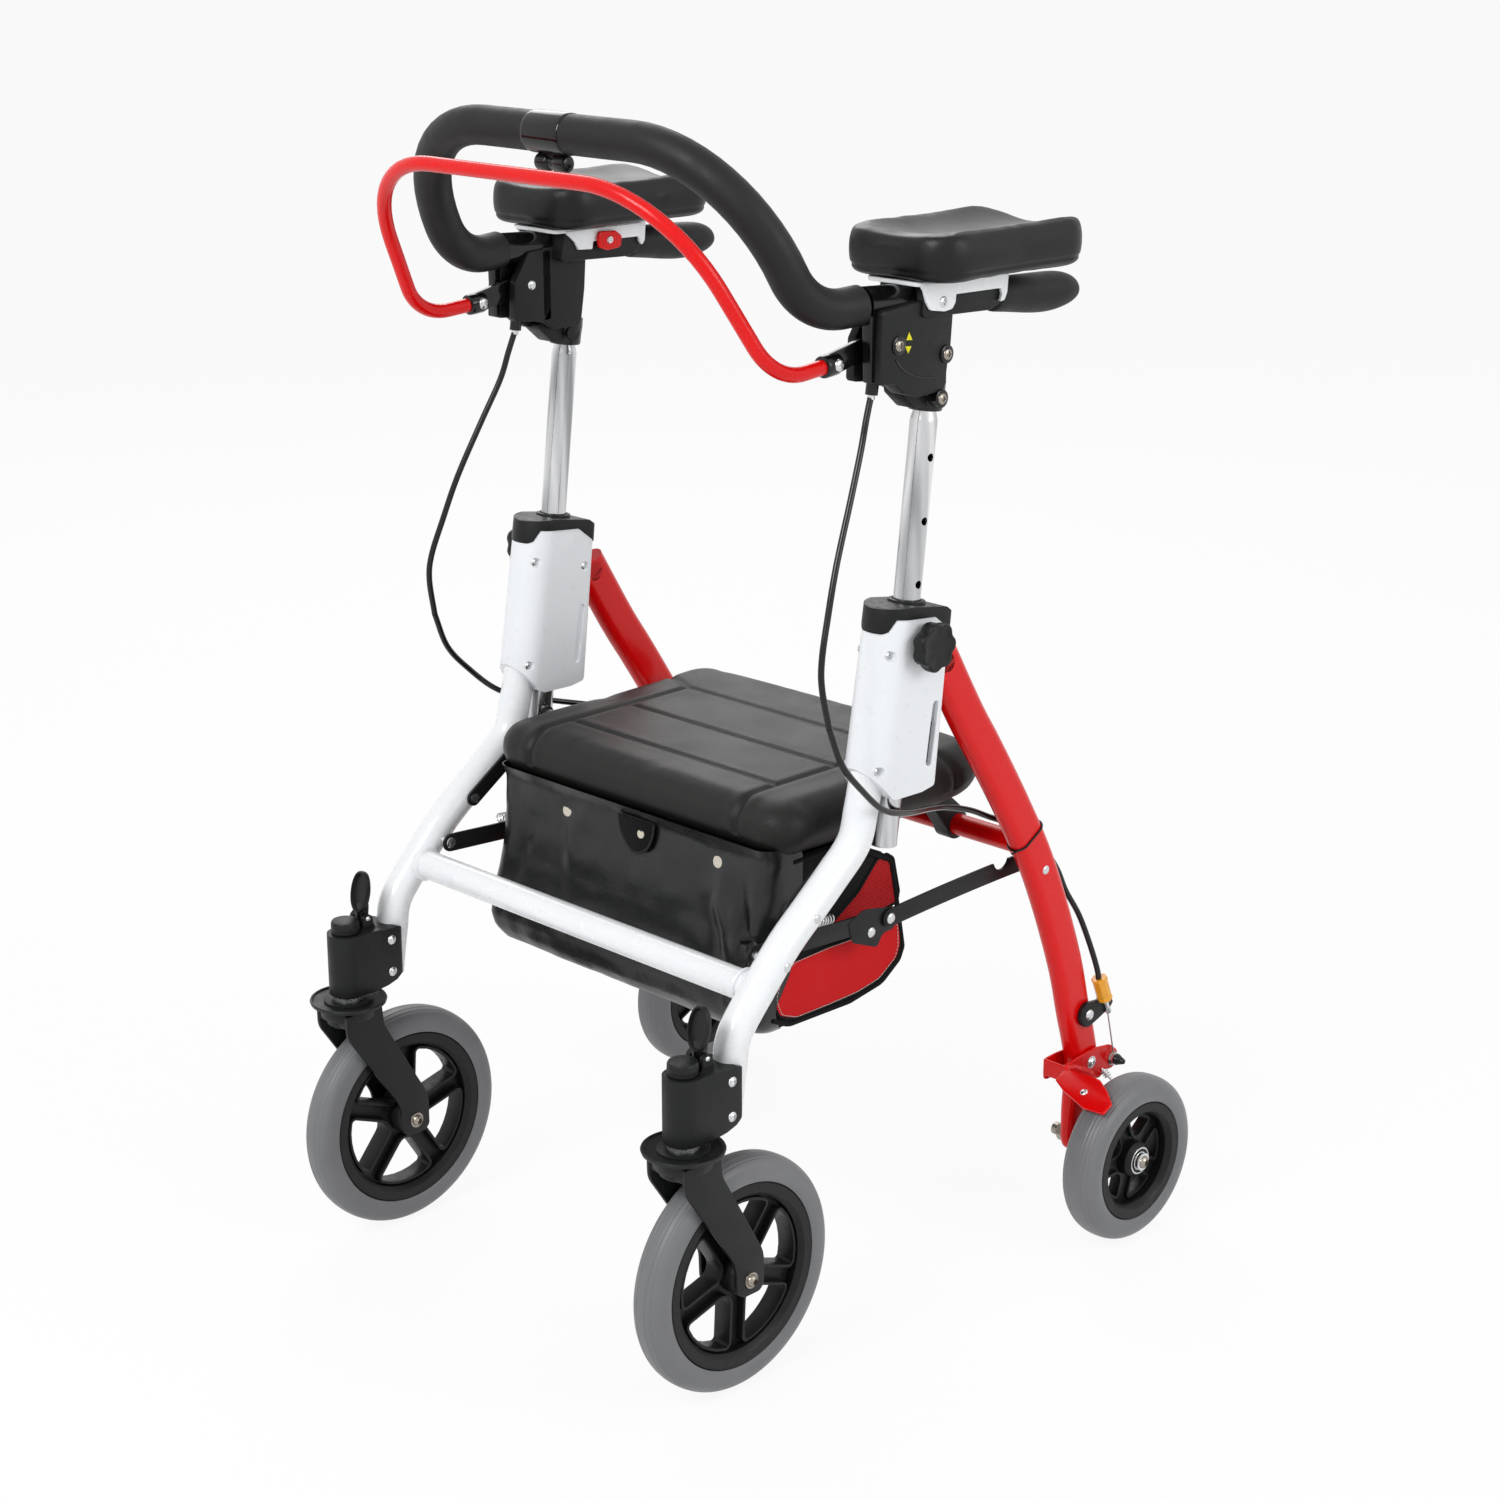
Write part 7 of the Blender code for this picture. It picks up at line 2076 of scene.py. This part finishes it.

# Arm pads
# Forearm pads: foam on a tray, in a black skin of their own, with a shallow trough along the top.
pad_x, pad_front, pad_rear, pad_low, pad_top = 0.059, -0.037, 0.147, 0.8723, 0.911
pad_skin = Finish("black_pad_skin", Specular_IOR_Level=0.26).surface(
    (12, srgb(17, 17, 17), srgb(23, 23, 23)), (20, 0.36, 0.46), (900, 0.00004), (30, 0.0003)
)
pad_rings = []
for step in range(21):
    turn = math.pi * (step / 20 - 0.5)
    shrink = 0.01 * (1 - math.cos(turn) ** 0.55)
    z = (pad_low + pad_top) / 2 + (pad_top - pad_low - 0.002) / 2 * math.sin(turn)
    half_x, front, rear = pad_x - 0.0008 - shrink, pad_front + 0.0008 + shrink, pad_rear - 0.0008 - shrink
    flat = [(-half_x, front), (half_x, front), (half_x, rear), (-half_x, rear)]
    pad_rings.append([(side_x + x, y, z) for x, y in rounded(flat, 0.03 - shrink, 10)])
pad = puffed(skin(pad_rings, pad_skin), 0.003, 0.0012)
for vertex in pad.data.vertices:
    spot = vertex.co
    if spot.z > 0.885:
        share = min(1.0, abs(spot.x - side_x) / 0.047)
        trough = 0.25 + 0.75 * min(1.0, max(0.0, (spot.y - pad_front - 0.006) / 0.05))
        spot.z -= 0.0085 * trough * (1 - share**2) * min(1.0, (spot.z - 0.885) / 0.018)
    seam = math.exp(-(((spot.z - 0.88) / 0.0012) ** 2))
    if seam > 0.01 and vertex.normal.length > 0:
        spot -= vertex.normal * 0.0009 * seam
for side, cover in (("left", pad), ("right", mirrored(pad))):
    cushion = piece("arm_pad_" + side, [cover], "handle", ["arm_pad_" + side])

# Brake cables
# Black sheathed steel cables, clipped along the frame from the handle block to the rear leg:
# down in front of the post, back under the housing, along the fold and down to the clip.
cable_radius = 0.0026
below_housing, leg_clip = (0.238, -0.1239, 0.5423), (0.1985, 0.1154, 0.4028)
fold_hinge = (0.207, 0.03, 0.433)
upper_run = flowing(
    [
        (0.2083, -0.0492, 0.7857), (0.2098, -0.056, 0.768), (0.212, -0.0641, 0.745),
        (0.218, -0.0815, 0.7099), (0.225, -0.1038, 0.6644), (0.23, -0.1184, 0.6263),
        (0.234, -0.1285, 0.5964), (0.236, -0.1301, 0.5745),
        below_housing,
    ],
    6,
)
fold_run = flowing(
    [
        below_housing, (0.239, -0.1106, 0.5107), (0.238, -0.0891, 0.4865), (0.234, -0.0576, 0.46),
        (0.226, -0.021, 0.446), fold_hinge, (0.199, 0.06, 0.425), (0.1985, 0.09, 0.415), leg_clip,
    ],
    6,
)
lower_run = flowing(
    [
        leg_clip, (0.198, 0.148, 0.388), (0.1975, 0.17, 0.3755), (0.198, 0.19, 0.356), (0.2, 0.207, 0.333),
        (0.202, 0.218, 0.31), (0.208, 0.23, 0.286), (0.216, 0.2365, 0.2593), (0.2236, 0.2392, 0.236),
        (0.2247, 0.2412, 0.222),
    ],
    6,
)
moving_runs = (
    ("cable_upper_", upper_run, ("handle", "front_frame"), upper_run[0]),
    ("cable_fold_", fold_run, ("front_frame", "rear_frame"), fold_hinge),
)
for side, turned in both_sides:
    for name, run, bodies, hinge in moving_runs:
        cable = pipe([turned(spot) for spot in run], cable_radius, black_gloss, 16)
        cable.name = cable.data.name = name + side
        if run is upper_run:
            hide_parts(name + side)
        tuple(turned(hinge))
        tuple(turned(run[-1]))
        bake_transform(cable)
facing_y = Matrix(((1, 0, 0, 0), (0, 0, -1, 0), (0, 1, 0, 0), (0, 0, 0, 1)))
tie_x, tie_y, tie_z = 0.1995, 0.17, 0.3755
tie_inner, tie_outer, tie_low, tie_high = tie_x - 0.0051, tie_x + 0.0051, tie_z - 0.003, tie_z + 0.0032
tie_line = rounded(
    [(tie_inner, tie_low), (tie_outer, tie_low), (tie_outer, tie_high), (tie_inner, tie_high)], 0.003
)
tie_hole = [(x * 0.84 + tie_x * 0.16, z * 0.84 + tie_z * 0.16) for x, z in tie_line]
pair(
    "cable_lower",
    [
        pipe(lower_run, cable_radius, black_gloss, 16),
        plate([tie_line, tie_hole], -tie_y - 0.0025, -tie_y + 0.0025, black_plastic, 0.0004, facing_y),
    ],
    "rear_frame",
    ["cable_lower"],
)
